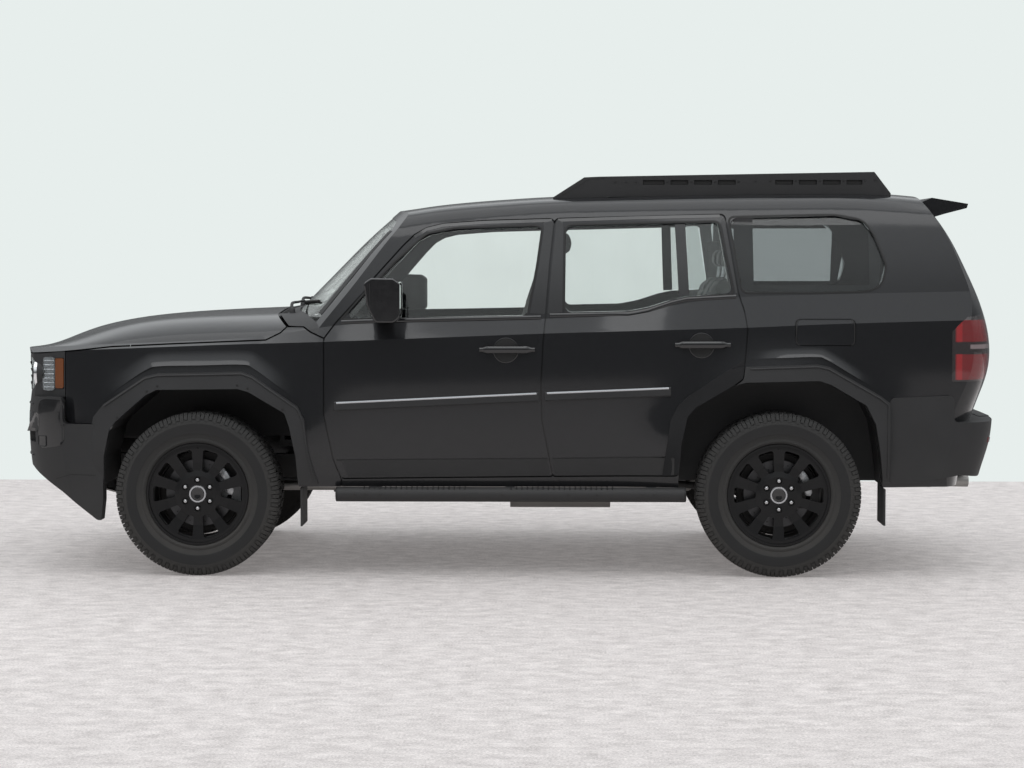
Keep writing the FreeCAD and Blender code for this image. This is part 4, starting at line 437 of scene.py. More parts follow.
def bevelled(made, width):
    modifier = made.modifiers.new("edges", "BEVEL")
    modifier.width, modifier.segments, modifier.limit_method = width, 2, "ANGLE"
    modifier.harden_normals = False
    return as_plain(made, made.name)


def add_box(bm, low, high):
    low, high = Vector(low), Vector(high)
    ends = (low, high)
    corners = [bm.verts.new((ends[i & 1].x, ends[i >> 1 & 1].y, ends[i >> 2].z)) for i in range(8)]
    for face in ((0, 2, 3, 1), (4, 5, 7, 6), (0, 1, 5, 4), (2, 6, 7, 3), (0, 4, 6, 2), (1, 3, 7, 5)):
        bm.faces.new([corners[i] for i in face])


def boxes(name, spans, bevel):
    bm = bmesh.new()
    for low, high in spans:
        add_box(bm, low, high)
    return bevelled(from_bmesh(name, bm), bevel)


def add_rings(bm, rings, loop=False):
    """Faces between rings of points; the ends are closed with flat caps."""
    rows = [[bm.verts.new(p) for p in ring] for ring in rings]
    count = len(rows[0])
    pairs = list(zip(rows, rows[1:])) + ([(rows[-1], rows[0])] if loop else [])
    for a, b in pairs:
        for i in range(count):
            j = (i + 1) % count
            bm.faces.new((a[i], a[j], b[j], b[i]))
    if not loop:
        bm.faces.new(list(reversed(rows[0])))
        bm.faces.new(rows[-1])


def ringed(name, rings, smooth_angle=0.6, loop=False):
    bm = bmesh.new()
    add_rings(bm, rings, loop)
    return from_bmesh(name, bm, smooth_angle)


def frame_along(points, i, closed):
    """The direction of a path at one of its points."""
    before = points[i - 1] if i or closed else points[i]
    after = points[(i + 1) % len(points)] if i < len(points) - 1 or closed else points[i]
    return (after - before).normalized()


def add_tube(bm, points, radius, sides=12, closed=False):
    points = [Vector(p) for p in points]
    up, rings = Vector((0, 0, 1)), []
    for i, p in enumerate(points):
        along = frame_along(points, i, closed)
        if abs(along.dot(up)) > 0.95:
            up = Vector((1, 0, 0)) if abs(along.x) < 0.9 else Vector((0, 1, 0))
        side = along.cross(up).normalized()
        up = side.cross(along).normalized()
        r = radius[i] if isinstance(radius, (list, tuple)) else radius
        rings.append([p + side * (r * math.cos(TURN * k / sides)) + up * (r * math.sin(TURN * k / sides))
            for k in range(sides)])
    add_rings(bm, rings, loop=closed)


def tube(name, points, radius, sides=12, closed=False):
    bm = bmesh.new()
    add_tube(bm, points, radius, sides, closed)
    return from_bmesh(name, bm, 1.0)


def smooth_path(points, steps=6, closed=False):
    """A rounded path through points."""
    points = [Vector(p) for p in points]
    count, out = len(points), []
    for i in range(count if closed else count - 1):
        if closed:
            a, b, c, d = (points[(i + k) % count] for k in (-1, 0, 1, 2))
        else:
            a, b, c, d = points[max(i - 1, 0)], points[i], points[i + 1], points[min(i + 2, count - 1)]
        for k in range(steps):
            t = k / steps
            bend = (2 * a - 5 * b + 4 * c - d) * t * t
            out.append(0.5 * ((2 * b) + (c - a) * t + bend + (3 * b - a - 3 * c + d) * t ** 3))
    return out if closed else out + [points[-1]]


def add_lathe(bm, profile, centre, axis="Y", steps=48):
    """A ring turned about an axis from (along, radius) points."""
    rings = []
    for k in range(steps):
        a = TURN * k / steps
        ring = []
        for along, r in profile:
            u, v = r * math.sin(a), r * math.cos(a)
            point = {"Y": (u, along, v), "X": (along, u, v), "Z": (u, v, along)}[axis]
            ring.append(Vector(centre) + Vector(point))
        rings.append(ring)
    add_rings(bm, rings, loop=True)


def lathe(name, profile, centre, axis="Y", steps=48):
    bm = bmesh.new()
    add_lathe(bm, profile, centre, axis, steps)
    bmesh.ops.dissolve_degenerate(bm, dist=1e-6, edges=bm.edges)
    return from_bmesh(name, bm, 0.5)


def plate(name, outline, axis, start, end, bevel=0.0):
    """A flat outline pushed along an axis; Y takes (x, z), X takes (y, z) and Z takes (x, y) points."""
    place = {"Y": lambda a, b, c: (a, c, b), "X": lambda a, b, c: (c, a, b), "Z": lambda a, b,
        c: (a, b, c)}[axis]
    made = ringed(name, [[Vector(place(a, b, c)) for a, b in outline] for c in (start, end)])
    return bevelled(made, bevel) if bevel else made


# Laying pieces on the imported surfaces
def tree_of(mesh):
    return BVHTree.FromPolygons([v.co.copy() for v in mesh.vertices],
        [tuple(p.vertices) for p in mesh.polygons])


SURFACES = {}
VIEWS = {
    "left": (Vector((0, 1, 0)), lambda a, b: Vector((a, -3, b))),
    "inner_left": (Vector((0, -1, 0)), lambda a, b: Vector((a, -0.1, b))),
    "front": (Vector((1, 0, 0)), lambda a, b: Vector((-4, a, b))),
    "rear": (Vector((-1, 0, 0)), lambda a, b: Vector((4, a, b))),
    "inner_rear": (Vector((1, 0, 0)), lambda a, b: Vector((0.5, a, b))),
    "top": (Vector((0, 0, -1)), lambda a, b: Vector((a, b, 4))),
    "inner_top": (Vector((0, 0, 1)), lambda a, b: Vector((a, b, 1.0))),
}


def touch(nodes, view, a, b):
    """Where a sight line first meets the given nodes, and the outward direction there."""
    direction, start = VIEWS[view]
    best = None
    for name in nodes:
        if name not in SURFACES:
            SURFACES[name] = tree_of(frame["nodes"][name].data)
        place, normal, _, distance = SURFACES[name].ray_cast(start(a, b), direction)
        if place is not None and (best is None or distance < best[2]):
            best = (place, normal if normal.dot(direction) < 0 else -normal, distance)
    return best[:2] if best else None


def resample(path, step, closed):
    points = [Vector((a, b, 0)) for a, b in path]
    if closed:
        points.append(points[0])
    out = []
    for a, b in zip(points, points[1:]):
        count = max(1, round((b - a).length / step))
        out += [a.lerp(b, k / count) for k in range(count)]
    return out if closed else out + [points[-1]]


def band(name, nodes, view, path, profile, closed=False, step=0.02, soften=0):
    """A strip that follows a path over a surface, with a cross-section of (across, out) points."""
    flat = resample(path, step, closed)
    hits = [h for h in (touch(nodes, view, p.x, p.y) for p in flat) if h]
    places, normals = [h[0] for h in hits], [h[1] for h in hits]
    for _ in range(soften):
        normals = [(normals[max(i - 1, 0)] + n + normals[min(i + 1, len(normals) - 1)]).normalized()
            for i, n in enumerate(normals)]
    rings = []
    for i, (place, normal) in enumerate(zip(places, normals)):
        along = frame_along(places, i, closed)
        across = along.cross(normal).normalized()
        rings.append([place + across * a + normal * o for a, o in profile])
    return ringed(name, rings, loop=closed)


def cover(name, nodes, view, outline, proud, sink=0.0015, step=0.05):
    """A skin laid on a surface inside an outline."""
    bm = bmesh.new()
    bm.faces.new([bm.verts.new((a, b, 0)) for a, b in outline])
    for axis in (0, 1):
        values = [p[axis] for p in outline]
        low, high = min(values), max(values)
        for k in range(1, max(1, round((high - low) / step))):
            place, way = [0, 0, 0], [0, 0, 0]
            place[axis], way[axis] = low + k * step, 1
            bmesh.ops.bisect_plane(bm, geom=bm.verts[:] + bm.edges[:] + bm.faces[:], plane_co=place,
                plane_no=way)
    bmesh.ops.triangulate(bm, faces=[f for f in bm.faces if len(f.verts) > 4])
    hits = {v: touch(nodes, view, v.co.x, v.co.y) for v in bm.verts}
    known = [(v.co.copy(), h) for v, h in hits.items() if h]
    for v in bm.verts:
        if hits[v] is None:
            hits[v] = min(known, key=lambda k: (k[0] - v.co).length)[1]
            direction, start = VIEWS[view]
            place = start(v.co.x, v.co.y)
            hits[v] = (place + direction * (hits[v][0] - place).dot(direction), hits[v][1])
    faces = [list(f.verts) for f in bm.faces]
    edges = [e for e in bm.edges if len(e.link_faces) == 1]
    out = bmesh.new()
    top = {v: out.verts.new(hits[v][0] + hits[v][1] * proud) for v in bm.verts}
    low = {v: out.verts.new(hits[v][0] - hits[v][1] * sink) for v in bm.verts}
    for verts in faces:
        out.faces.new([top[v] for v in verts])
        out.faces.new([low[v] for v in reversed(verts)])
    for e in edges:
        a, b = e.verts
        out.faces.new((top[a], top[b], low[b], low[a]))
    bm.free()
    return from_bmesh(name, out)


def rounded_outline(corners, radius, steps=5):
    """A closed outline with its corners rounded."""
    points, out = [Vector((a, b)) for a, b in corners], []
    for i, p in enumerate(points):
        a, b = points[i - 1] - p, points[(i + 1) % len(points)] - p
        reach = min(radius, 0.45 * a.length, 0.45 * b.length)
        start, end = p + a.normalized() * reach, p + b.normalized() * reach
        for k in range(steps + 1):
            t = k / steps
            out.append(tuple((1 - t) ** 2 * start + 2 * t * (1 - t) * p + t * t * end))
    return out


def oblong(a0, b0, a1, b1, radius):
    """A rectangle between two corners, rounded."""
    return rounded_outline([(a0, b0), (a1, b0), (a1, b1), (a0, b1)], radius)


def side_outline(shares, radius):
    return rounded_outline(side_points(shares), radius)


def section(foot, top, low, high):
    """The cross-section of a strip: half its width at the foot and at the top, and their heights."""
    return [(-foot, low), (-top, high), (top, high), (foot, low)]


def stud(base, radius, shoulder, tip, tip_radius):
    """The profile of a small round head along its axis."""
    return [(base, 0.0), (base, radius), (shoulder, radius), (tip, tip_radius), (tip, 0.0)]


def oval(a, b, half_a, half_b, steps=24):
    out = []
    for k in range(steps):
        turned = TURN * k / steps
        out.append((a + half_a * math.cos(turned), b + half_b * math.sin(turned)))
    return out


# Geometry Nodes for what repeats
def repeat_tree():
    """Copies of one item in its own finish, each moved and turned by one more step."""
    tree = bpy.data.node_groups.new("repeat_item", "GeometryNodeTree")
    face = tree.interface
    for label, kind in (("Item", "NodeSocketObject"), ("Count", "NodeSocketInt"),
            ("Step", "NodeSocketVector"), ("Turn", "NodeSocketVector"), ("Finish", "NodeSocketMaterial")):
        face.new_socket(label, in_out="INPUT", socket_type=kind)
    face.new_socket("Geometry", in_out="OUTPUT", socket_type="NodeSocketGeometry")
    new, wire = tree.nodes.new, tree.links.new
    start, end = new("NodeGroupInput"), new("NodeGroupOutput")
    line, index = new("GeometryNodeMeshLine"), new("GeometryNodeInputIndex")
    turn, info = new("ShaderNodeVectorMath"), new("GeometryNodeObjectInfo")
    place, real = new("GeometryNodeInstanceOnPoints"), new("GeometryNodeRealizeInstances")
    finish = new("GeometryNodeSetMaterial")
    turn.operation = "SCALE"
    wire(start.outputs["Count"], line.inputs["Count"])
    wire(start.outputs["Step"], line.inputs["Offset"])
    wire(start.outputs["Turn"], turn.inputs[0])
    wire(index.outputs[0], turn.inputs["Scale"])
    wire(start.outputs["Item"], info.inputs["Object"])
    wire(line.outputs[0], place.inputs["Points"])
    wire(info.outputs["Geometry"], place.inputs["Instance"])
    wire(turn.outputs[0], place.inputs["Rotation"])
    wire(place.outputs[0], real.inputs[0])
    wire(real.outputs[0], finish.inputs["Geometry"])
    wire(start.outputs["Finish"], finish.inputs["Material"])
    wire(finish.outputs[0], end.inputs[0])
    return tree


REPEAT = repeat_tree()


def repeated(name, item, count, turn, finish):
    host = link(name + "_host", bpy.data.meshes.new(name + "_host"))
    modifier = host.modifiers.new("repeat", "NODES")
    modifier.node_group = REPEAT
    keys = {s.name: s.identifier for s in REPEAT.interface.items_tree if s.in_out == "INPUT"}
    for label, value in (("Item", item), ("Count", count), ("Step", (0, 0, 0)), ("Turn", turn),
            ("Finish", M[finish])):
        modifier[keys[label]] = value
    made = as_plain(host, name)
    bpy.data.objects.remove(item)
    return made


def moved(made, offset):
    made.data.transform(Matrix.Translation(offset))


# Wheels and tyres
TYRE_HALF_PROFILE = [(0.104, 0.2505), (0.1125, 0.2555), (0.118, 0.2635), (0.1185, 0.27), (0.1165, 0.276),
    (0.1195, 0.286), (0.1262, 0.303), (0.1298, 0.32), (0.1305, 0.333), (0.1292, 0.35), (0.1262, 0.364),
    (0.1215, 0.374), (0.114, 0.383), (0.102, 0.389), (0.06, 0.3925), (0.0, 0.3935)]
TREAD_PITCHES = 58
TREAD_CENTRE = [(0.0, 0.004), (0.55, 0.002), (0.85, 0.018), (0.72, 0.03), (0.1, 0.033)]
TREAD_MIDDLE = [(0.2, 0.04), (0.7, 0.036), (1.0, 0.055), (0.88, 0.07), (0.3, 0.072), (0.05, 0.058)]


TREAD_DRAFT = 0.0012


def tread_block(bm, corners, low, high):
    """A rubber block from (angle, across) corners between two radii."""
    middle = Vector((sum(a for a, _ in corners) / len(corners), sum(b for _, b in corners) / len(corners)))
    rings = []
    for radius, shrink in ((low, 0.0), (high - 0.001, TREAD_DRAFT), (high, TREAD_DRAFT * 2)):
        ring = []
        for angle, across in corners:
            away = Vector((angle * radius, across)) - Vector((middle.x * radius, middle.y))
            keep = max(0.0, 1 - shrink / max(away.length, 1e-6))
            a, w = middle.x + away.x * keep / radius, middle.y + away.y * keep
            ring.append(Vector((radius * math.sin(a), w, radius * math.cos(a))))
        rings.append(ring)
    add_rings(bm, rings)


def tread_pitch():
    """One pitch of the tread: two centre rows, two middle rows and shoulder lugs that wrap on to the side."""
    pitch = TURN / TREAD_PITCHES
    bm = bmesh.new()
    gap = 0.1 * pitch
    for side in (-1, 1):
        slip = 0.5 * pitch if side > 0 else 0.0
        for rows, high in ((TREAD_CENTRE, 0.4027), (TREAD_MIDDLE, 0.4024)):
            tread_block(bm, [(slip + share * (pitch - gap), side * w) for share, w in rows], 0.389, high)
        for share, end in ((0.0, 0.44), (0.52, 0.92)):
            top = [(slip + share * pitch, side * 0.08), (slip + end * pitch, side * 0.078),
                (slip + end * pitch, side * 0.108), (slip + share * pitch, side * 0.108)]
            tread_block(bm, top, 0.386, 0.4015)
            long = 0.372 if share else 0.362
            rings = []
            for w, r, thick in ((0.107, 0.401, 0.012), (0.1185, 0.3925, 0.009), (0.1245, 0.3805, 0.006),
                    (0.1282, long, 0.001)):
                ring = []
                for angle in (slip + share * pitch, slip + end * pitch):
                    for inward in (0.0, thick):
                        q, y = r - inward * 0.7, side * (w - inward * 0.7)
                        ring.append(Vector((q * math.sin(angle), y, q * math.cos(angle))))
                rings.append([ring[0], ring[2], ring[3], ring[1]])
            add_rings(bm, rings)
    return from_bmesh("tread_pitch", bm, 0.5)


def sidewall_bars(side):
    """Small ribs round the side of the tyre, in three fans between plain stretches."""
    bm = bmesh.new()
    for start in (0.35, 2.45, 4.55):
        for k in range(18):
            a = start + k * 0.03
            rings = []
            for r, w in ((0.3, 0.1262), (0.346, 0.1308)):
                ring = [Vector((r * math.sin(a + d), side * (w + h), r * math.cos(a + d)))
                    for d, h in ((0.0, -0.003), (0.0, 0.0), (0.012, 0.0), (0.012, -0.003))]
                rings.append(ring)
            add_rings(bm, rings)
    return from_bmesh("sidewall_bars", bm)


def joined(name, parts):
    bm = bmesh.new()
    for part in parts:
        bm.from_mesh(part.data)
        bpy.data.objects.remove(part)
    mesh = bpy.data.meshes.new(name)
    bm.to_mesh(mesh)
    bm.free()
    return link(name, mesh)


def lug_nut():
    radius, low, high, circle = 0.0105, -0.1085, -0.086, 0.0698
    rings = []
    for y, r in ((high, radius), (low + 0.006, radius), (low + 0.002, radius * 0.78), (low, radius * 0.35)):
        rings.append([Vector((r * math.cos(TURN * k / 6), y, circle + r * math.sin(TURN * k / 6)))
            for k in range(6)])
    return ringed("lug_nut", rings, 0.4)


def wheels():
    """One wheel's treaded tyre, nuts, cap, brake disc and valve, placed at all four wheels."""
    half = TYRE_HALF_PROFILE
    profile = [(-w, r) for w, r in half] + [(w, r) for w, r in reversed(half[:-1])]
    carcass = lathe("carcass", profile, (0, 0, 0), steps=96)
    tread = repeated("tread", tread_pitch(), TREAD_PITCHES, (0, TURN / TREAD_PITCHES, 0), "tyre")
    tyre = joined("tyre_left", [carcass, tread, sidewall_bars(-1), sidewall_bars(1)])
    band_points = [(-0.1278, 0.3), (-0.1312, 0.329), (-0.1306, 0.347), (-0.129, 0.344), (-0.1285, 0.302)]
    side_band = lathe("side_band", [(y + 0.0002, r) for y, r in band_points], (0, 0, 0), steps=96)
    nuts = repeated("lug_nuts", lug_nut(), 6, (0, TURN / 6, 0), "nut_steel")
    cap = lathe("cap", [(-0.1, 0.0), (-0.1035, 0.012), (-0.1035, 0.03), (-0.1015, 0.0335),
        (-0.088, 0.0338), (-0.088, 0.0)], (0, 0, 0), steps=40)
    cap_ring = lathe("cap_ring", [(-0.102, 0.0325), (-0.1045, 0.034), (-0.1045, 0.041), (-0.101, 0.0435),
        (-0.096, 0.0435), (-0.096, 0.0325)], (0, 0, 0), steps=40)
    disc = lathe("disc", [(-0.0018, 0.082), (-0.0018, 0.1665), (0.0015, 0.1665), (0.0015, 0.082)],
        (0, TRACK - 0.8575, 0), steps=64)
    hat = lathe("hat", [(-0.052, 0.034), (-0.052, 0.07), (-0.049, 0.0745), (-0.0275, 0.0755),
        (-0.0275, 0.034)], (0, 0, 0), steps=48)
    # Black dots on the disc's outer face stand in for its drilled holes: painted shade where the holes look
    # dark.
    vents = bmesh.new()
    for ring, radius in ((0, 0.105), (1, 0.126), (2, 0.147)):
        for k in range(12):
            a = TURN * (k + ring / 3) / 12
            centre = Vector((radius * math.sin(a), TRACK - 0.86, radius * math.cos(a)))
            add_lathe(vents, [(-0.0004, 0.0), (-0.0004, 0.0034), (0.0006, 0.0034), (0.0006, 0.0)], centre,
                steps=8)
    drilled = from_bmesh("drilled", vents)
    valve = tube("valve", [(0.0, -0.085, 0.232), (0.0, -0.1, 0.226), (0.0, -0.108, 0.222)], 0.0035, 8)
    pieces = [(tyre, "tyre", "tyre", None), (side_band, "tyre_band", "tyre", "side"),
        (nuts, "nut_steel", "wheel_alloy", "nuts"), (cap, "gloss_trim", "wheel_alloy", "cap"),
        (cap_ring, "bright_trim", "wheel_alloy", "cap_ring"), (disc, "brake_iron", "wheel_alloy", "disc"),
        (hat, "brake_iron", "wheel_alloy", "disc_hat"), (drilled, "rubber", "wheel_alloy", "disc_holes"),
        (valve, "rubber", "wheel_alloy", "valve")]
    for end, x in zip(("front", "rear"), AXLES):
        for side in ("left", "right"):
            for source, finish, slot, label in pieces:
                name = f"{label or 'treaded_tyre'}_{end}_{side}"
                made = link(name, source.data.copy()) if side == "left" else mirrored(source, name)
                moved(made, (x, -TRACK if side == "left" else TRACK, AXLE_Z))
                dress(made, finish, f"wheel_{end}_{side}")
                if label is None:
                    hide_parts(f"tyre_{end}_{side}")
    for source, *_ in pieces:
        bpy.data.objects.remove(source)


def brake_guards():
    """Dark dust shields behind the brake discs, and the calipers' outer halves."""
    for end, x, body in (("front", AXLES[0], "upright_SIDE"), ("rear", AXLES[1], "body")):
        shield = lathe(f"dust_shield_{end}_left", [(-0.001, 0.078), (-0.001, 0.198), (-0.033, 0.203),
            (-0.033, 0.205), (0.001, 0.201), (0.001, 0.078)], (x, -0.8225, AXLE_Z), steps=64)
        dress_pair(shield, "chassis_steel", body)
        rings = []
        for k in range(15):
            a = math.radians(-12 + 62 * k / 14)
            swell = 0.004 if 2 < k < 12 and k != 7 else 0.0
            outline = [(0.128, -0.862), (0.131, -0.87 - swell), (0.14, -0.874 - swell),
                (0.16, -0.874 - swell), (0.1705, -0.869 - swell), (0.173, -0.86), (0.173, -0.852),
                (0.128, -0.8605)]
            rings.append([Vector((x + r * math.cos(a), y, AXLE_Z + r * math.sin(a))) for r, y in outline])
        dress_pair(ringed(f"caliper_face_{end}_left", rings), "caliper", body)


wheels()
brake_guards()


# Body side trim
FRONT_DOOR = ("front_door_left", "door_front_SIDE")
REAR_DOOR = ("rear_door_left", "door_rear_SIDE")
FRONT_WINDOW = side_points([(0.3328, 0.664), (0.3578, 0.7285), (0.3879, 0.8116), (0.4185, 0.883),
    (0.447, 0.8973), (0.5269, 0.9037), (0.5332, 0.899), (0.5282, 0.8038), (0.519, 0.674)])
REAR_WINDOW = side_points([(0.5572, 0.6817), (0.5582, 0.905), (0.7105, 0.914), (0.716, 0.83),
    (0.7235, 0.73), (0.6784, 0.7233), (0.664, 0.715), (0.64, 0.695), (0.6201, 0.6853)])
QUARTER_WINDOW = side_points([(0.7335, 0.7349), (0.7215, 0.925), (0.8267, 0.931), (0.8538, 0.918),
    (0.8642, 0.8827), (0.8758, 0.8012), (0.8708, 0.7534), (0.8576, 0.738), (0.8127, 0.735)])
SEAL = [(-0.004, -0.004), (-0.004, 0.0012), (0.004, 0.0018), (0.007, -0.001)]


def grown(outline, by):
    """An outline moved outwards by a distance."""
    points = [Vector(p) for p in outline]
    area = sum(points[i - 1].cross(points[i]) for i in range(len(points)))
    out = []
    for i, p in enumerate(points):
        a, b = (p - points[i - 1]).normalized(), (points[(i + 1) % len(points)] - p).normalized()
        normal = Vector((a.y + b.y, -a.x - b.x))
        normal = normal.normalized() * (by if area > 0 else -by)
        out.append(tuple(p + normal / max(0.6, math.sqrt((1 + a.dot(b)) / 2))))
    return out


def window_trim():
    """A rubber seal round every side window."""
    for label, outline, door, body in (("front", FRONT_WINDOW, *FRONT_DOOR),
            ("rear", REAR_WINDOW, *REAR_DOOR), ("quarter", QUARTER_WINDOW, "side_left", "body")):
        path = rounded_outline(grown(outline, 0.007), 0.036)
        seal = band(f"{label}_window_seal_left", [door], "left", path, SEAL, closed=True, step=0.015)
        dress_pair(seal, "rubber", body)


def pillar_covers():
    """Gloss covers between the side windows, the rails above, and the rear windows' own parts."""
    front = side_points([(0.5222, 0.679), (0.537, 0.677), (0.5408, 0.8019), (0.5455, 0.918),
        (0.535, 0.913), (0.5362, 0.899), (0.5312, 0.8038)])
    rear = side_points([(0.54, 0.678), (0.544, 0.8019), (0.5488, 0.9215), (0.5545, 0.915), (0.5552, 0.905),
        (0.5545, 0.6817)])
    back = side_points([(0.7265, 0.73), (0.719, 0.83), (0.7132, 0.919), (0.716, 0.926), (0.7215, 0.8381),
        (0.7282, 0.7315)])
    for label, outline, door, body in (("front_pillar_cover_left", front, *FRONT_DOOR),
            ("rear_pillar_cover_left", rear, *REAR_DOOR), ("back_pillar_cover_left", back, *REAR_DOOR)):
        dress_pair(cover(label, [door], "left", outline, 0.0016), "gloss_trim", body)
    top_front = side_points([(0.406, 0.876), (0.4182, 0.896), (0.4348, 0.9065), (0.4756, 0.914),
        (0.544, 0.919)])
    top_rear = side_points([(0.55, 0.9195), (0.63, 0.926), (0.712, 0.9305)])
    rail = [(-0.008, -0.002), (-0.008, 0.0015), (0.009, 0.0015), (0.009, -0.002)]
    for label, path, door, body in (("front_frame_rail_left", top_front, *FRONT_DOOR),
            ("rear_frame_rail_left", top_rear, *REAR_DOOR)):
        dress_pair(band(label, [door], "left", path, rail), "gloss_trim", body)
    division = [(0.6755, 0.725), (0.6722, 0.9105)]
    bar = band("window_division_left", ["rear_window_left"], "left", side_points(division),
        section(0.026, 0.025, -0.002, 0.004))
    dress_pair(bar, "gloss_trim", "door_rear_SIDE")
    film = side_points([(0.6812, 0.7262), (0.678, 0.9105), (0.7085, 0.9125), (0.7135, 0.83),
        (0.7205, 0.732)])
    dress_pair(cover("fixed_pane_film_left", ["rear_window_left"], "left", film, 0.0012, 0.0002),
        "pane_film", "door_rear_SIDE")
    for label, outline in (("front", [(1.112, 1.405), (1.112, 1.765), (1.206, 1.765), (1.206, 1.405)]),
            ("rear", [(1.775, 1.41), (1.775, 1.735), (1.8, 1.7), (1.838, 1.59), (1.815, 1.43)]),
            ("low", [(1.206, 1.4), (1.206, 1.432), (1.775, 1.432), (1.775, 1.4)]),
            ("high", [(1.206, 1.73), (1.206, 1.765), (1.7, 1.765), (1.745, 1.73)])):
        lining = cover(f"quarter_lining_{label}_left", ["quarter_glass"], "left", outline, -0.014, 0.018)
        dress_pair(lining, "cabin_trim")


BELT_FRONT = side_points([(0.33, 0.656), (0.36, 0.659), (0.44, 0.664), (0.533, 0.669)])
BELT_REAR = side_points([(0.542, 0.674), (0.6201, 0.678), (0.64, 0.687), (0.664, 0.707), (0.6784, 0.7155),
    (0.727, 0.7225)])


def belt_and_mouldings():
    """Strips under the windows, the door mouldings with their bright inlay and the line above the sill."""
    strip = [(-0.009, -0.003), (-0.009, 0.003), (-0.004, 0.0055), (0.004, 0.0055), (0.009, 0.003),
        (0.009, -0.003)]
    for label, path, door, body in (("front_belt_strip_left", BELT_FRONT, *FRONT_DOOR),
            ("rear_belt_strip_left", BELT_REAR, *REAR_DOOR)):
        dress_pair(band(label, [door], "left", path, strip, soften=3), "gloss_trim", body)
    for label, ends, door, body in (("front", ((0.3282, 0.44), (0.531, 0.465)), *FRONT_DOOR),
            ("rear", ((0.5374, 0.466), (0.662, 0.479)), *REAR_DOOR)):
        (s0, h0), (s1, h1) = ends
        low, high = (x_at(s0), z_at(h0)), (x_at(s1), z_at(h1))
        body_of_strip = [(-0.024, -0.004), (-0.023, 0.007), (-0.017, 0.0115), (0.016, 0.0125),
            (0.021, 0.009), (0.0225, -0.004)]
        moulding = band(f"{label}_moulding_left", [door], "left", [low, high], body_of_strip, step=0.04,
            soften=4)
        dress_pair(moulding, "black_trim", body)
        lift = 0.018
        bright = band(f"{label}_moulding_strip_left", [door], "left", [(low[0] + 0.01, low[1] + lift),
            (high[0] - 0.01, high[1] + lift)], [(-0.0045, 0.004), (-0.004, 0.0125), (0.001, 0.014),
            (0.005, 0.012), (0.0055, 0.004)], step=0.04, soften=4)
        dress_pair(bright, "bright_trim", body)
    for label, path, door, body in (("front", [(0.33, 0.301), (0.541, 0.306)], *FRONT_DOOR),
            ("rear", [(0.545, 0.306), (0.664, 0.311)], *REAR_DOOR)):
        groove = band(f"{label}_cladding_line_left", [door], "left", side_points(path),
            section(0.003, 0.003, -0.002, 0.0016), step=0.04)
        dress_pair(groove, "rubber", body)


HANDLE_HALF = 0.135


def door_handles():
    """A dark cup in the door with a bowed grip over it, and the lock in the front doors."""
    for label, s, h, door, body in (("front", 0.4998, 0.586, *FRONT_DOOR),
            ("rear", 0.6934, 0.5987, *REAR_DOOR)):
        x, z = x_at(s), z_at(h)
        rim = oval(x - 0.006, z - 0.002, 0.061, 0.06)
        cup = cover(f"{label}_handle_cup_left", [door], "left", rim, 0.0012, step=0.03)
        dress_pair(cup, "rubber", body)
        lip = band(f"{label}_handle_cup_edge_left", [door], "left", rim,
            [(-0.003, -0.001), (-0.001, 0.0028), (0.002, 0.0022), (0.003, -0.001)], closed=True, step=0.012)
        dress_pair(lip, "gloss_trim", body)
        rings = []
        for k in range(17):
            t = k / 16
            along = HANDLE_HALF * (2 * t - 1)
            place, normal = touch([door], "left", x + along, z)
            bow = min(1, max(0, t * 1.15 - 0.07))
            arch = 0.03 * math.sin(math.pi * bow) ** 0.45 if 0.06 < t < 0.94 else 0.004
            half = 0.0185 if 0.1 < t < 0.9 else 0.012
            ring = []
            for j in range(10):
                a = TURN * j / 10
                ring.append(place + normal * (arch + 0.009 * math.sin(a)) + Vector((0, 0,
                    half * math.cos(a))))
            rings.append(ring)
        dress_pair(ringed(f"{label}_handle_left", rings, 1.2), "gloss_trim", body)
        if label == "front":
            place, _ = touch([door], "left", x + 0.095, z)
            lock = lathe("front_door_lock_left", [(-0.0205, 0.0), (-0.0205, 0.0045), (-0.0195, 0.0055),
                (0.0, 0.0055), (0.0, 0.0)], place + Vector((0, -0.001, 0)), steps=16)
            dress_pair(lock, "nut_steel", body)


FUEL_LID = side_points([(0.7868, 0.6005), (0.7868, 0.6618), (0.8425, 0.6618), (0.8425, 0.6005)])


def fuel_lid_trim():
    rim = rounded_outline(FUEL_LID, 0.022)
    raised = band("fuel_lid_edge", ["fuel_lid"], "left", rim, section(0.002, 0.001, -0.001, 0.0008),
        closed=True)
    dress(raised, "body_paint", "fuel_lid")
    around = rounded_outline(grown(FUEL_LID, 0.0045), 0.026)
    groove = band("fuel_lid_groove", ["side_left", "fuel_lid"], "left", around,
        section(0.0028, 0.0028, -0.002, 0.0007), closed=True)
    dress(groove, "rubber")


window_trim()
pillar_covers()
belt_and_mouldings()
door_handles()
fuel_lid_trim()


# Door mirrors
def mirror_details():
    low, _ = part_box("mirror_left")
    glass_x = x_at(0.3948)
    outline = rounded_outline([(-1.128, 1.29), (-1.128, 1.432), (-0.998, 1.432), (-0.998, 1.29)], 0.022)
    dress_pair(plate("mirror_glass_left", outline, "X", glass_x + 0.0005, glass_x + 0.0035, 0.0008),
        "reflector", "door_front_SIDE")
    lamp = band("mirror_lamp_left", ["mirror_left"], "front", [(-1.128, 1.345), (-1.01, 1.352)],
        section(0.006, 0.005, -0.001, 0.0025), step=0.01, soften=2)
    dress_pair(lamp, "display", "door_front_SIDE")
    seam = [(low.x + 0.028, z) for z in (1.27, 1.32, 1.38, 1.44)]
    line = band("mirror_seam_left", ["mirror_left"], "left", seam, section(0.0012, 0.0012, -0.001, 0.0006),
        step=0.01)
    dress_pair(line, "rubber", "door_front_SIDE")


mirror_details()

# Front end: lamps, grille bars, intakes and hooks
HEADLAMP_Y, HEADLAMP_Z, HEADLAMP_RADIUS = 0.7445, 0.9893, 0.079


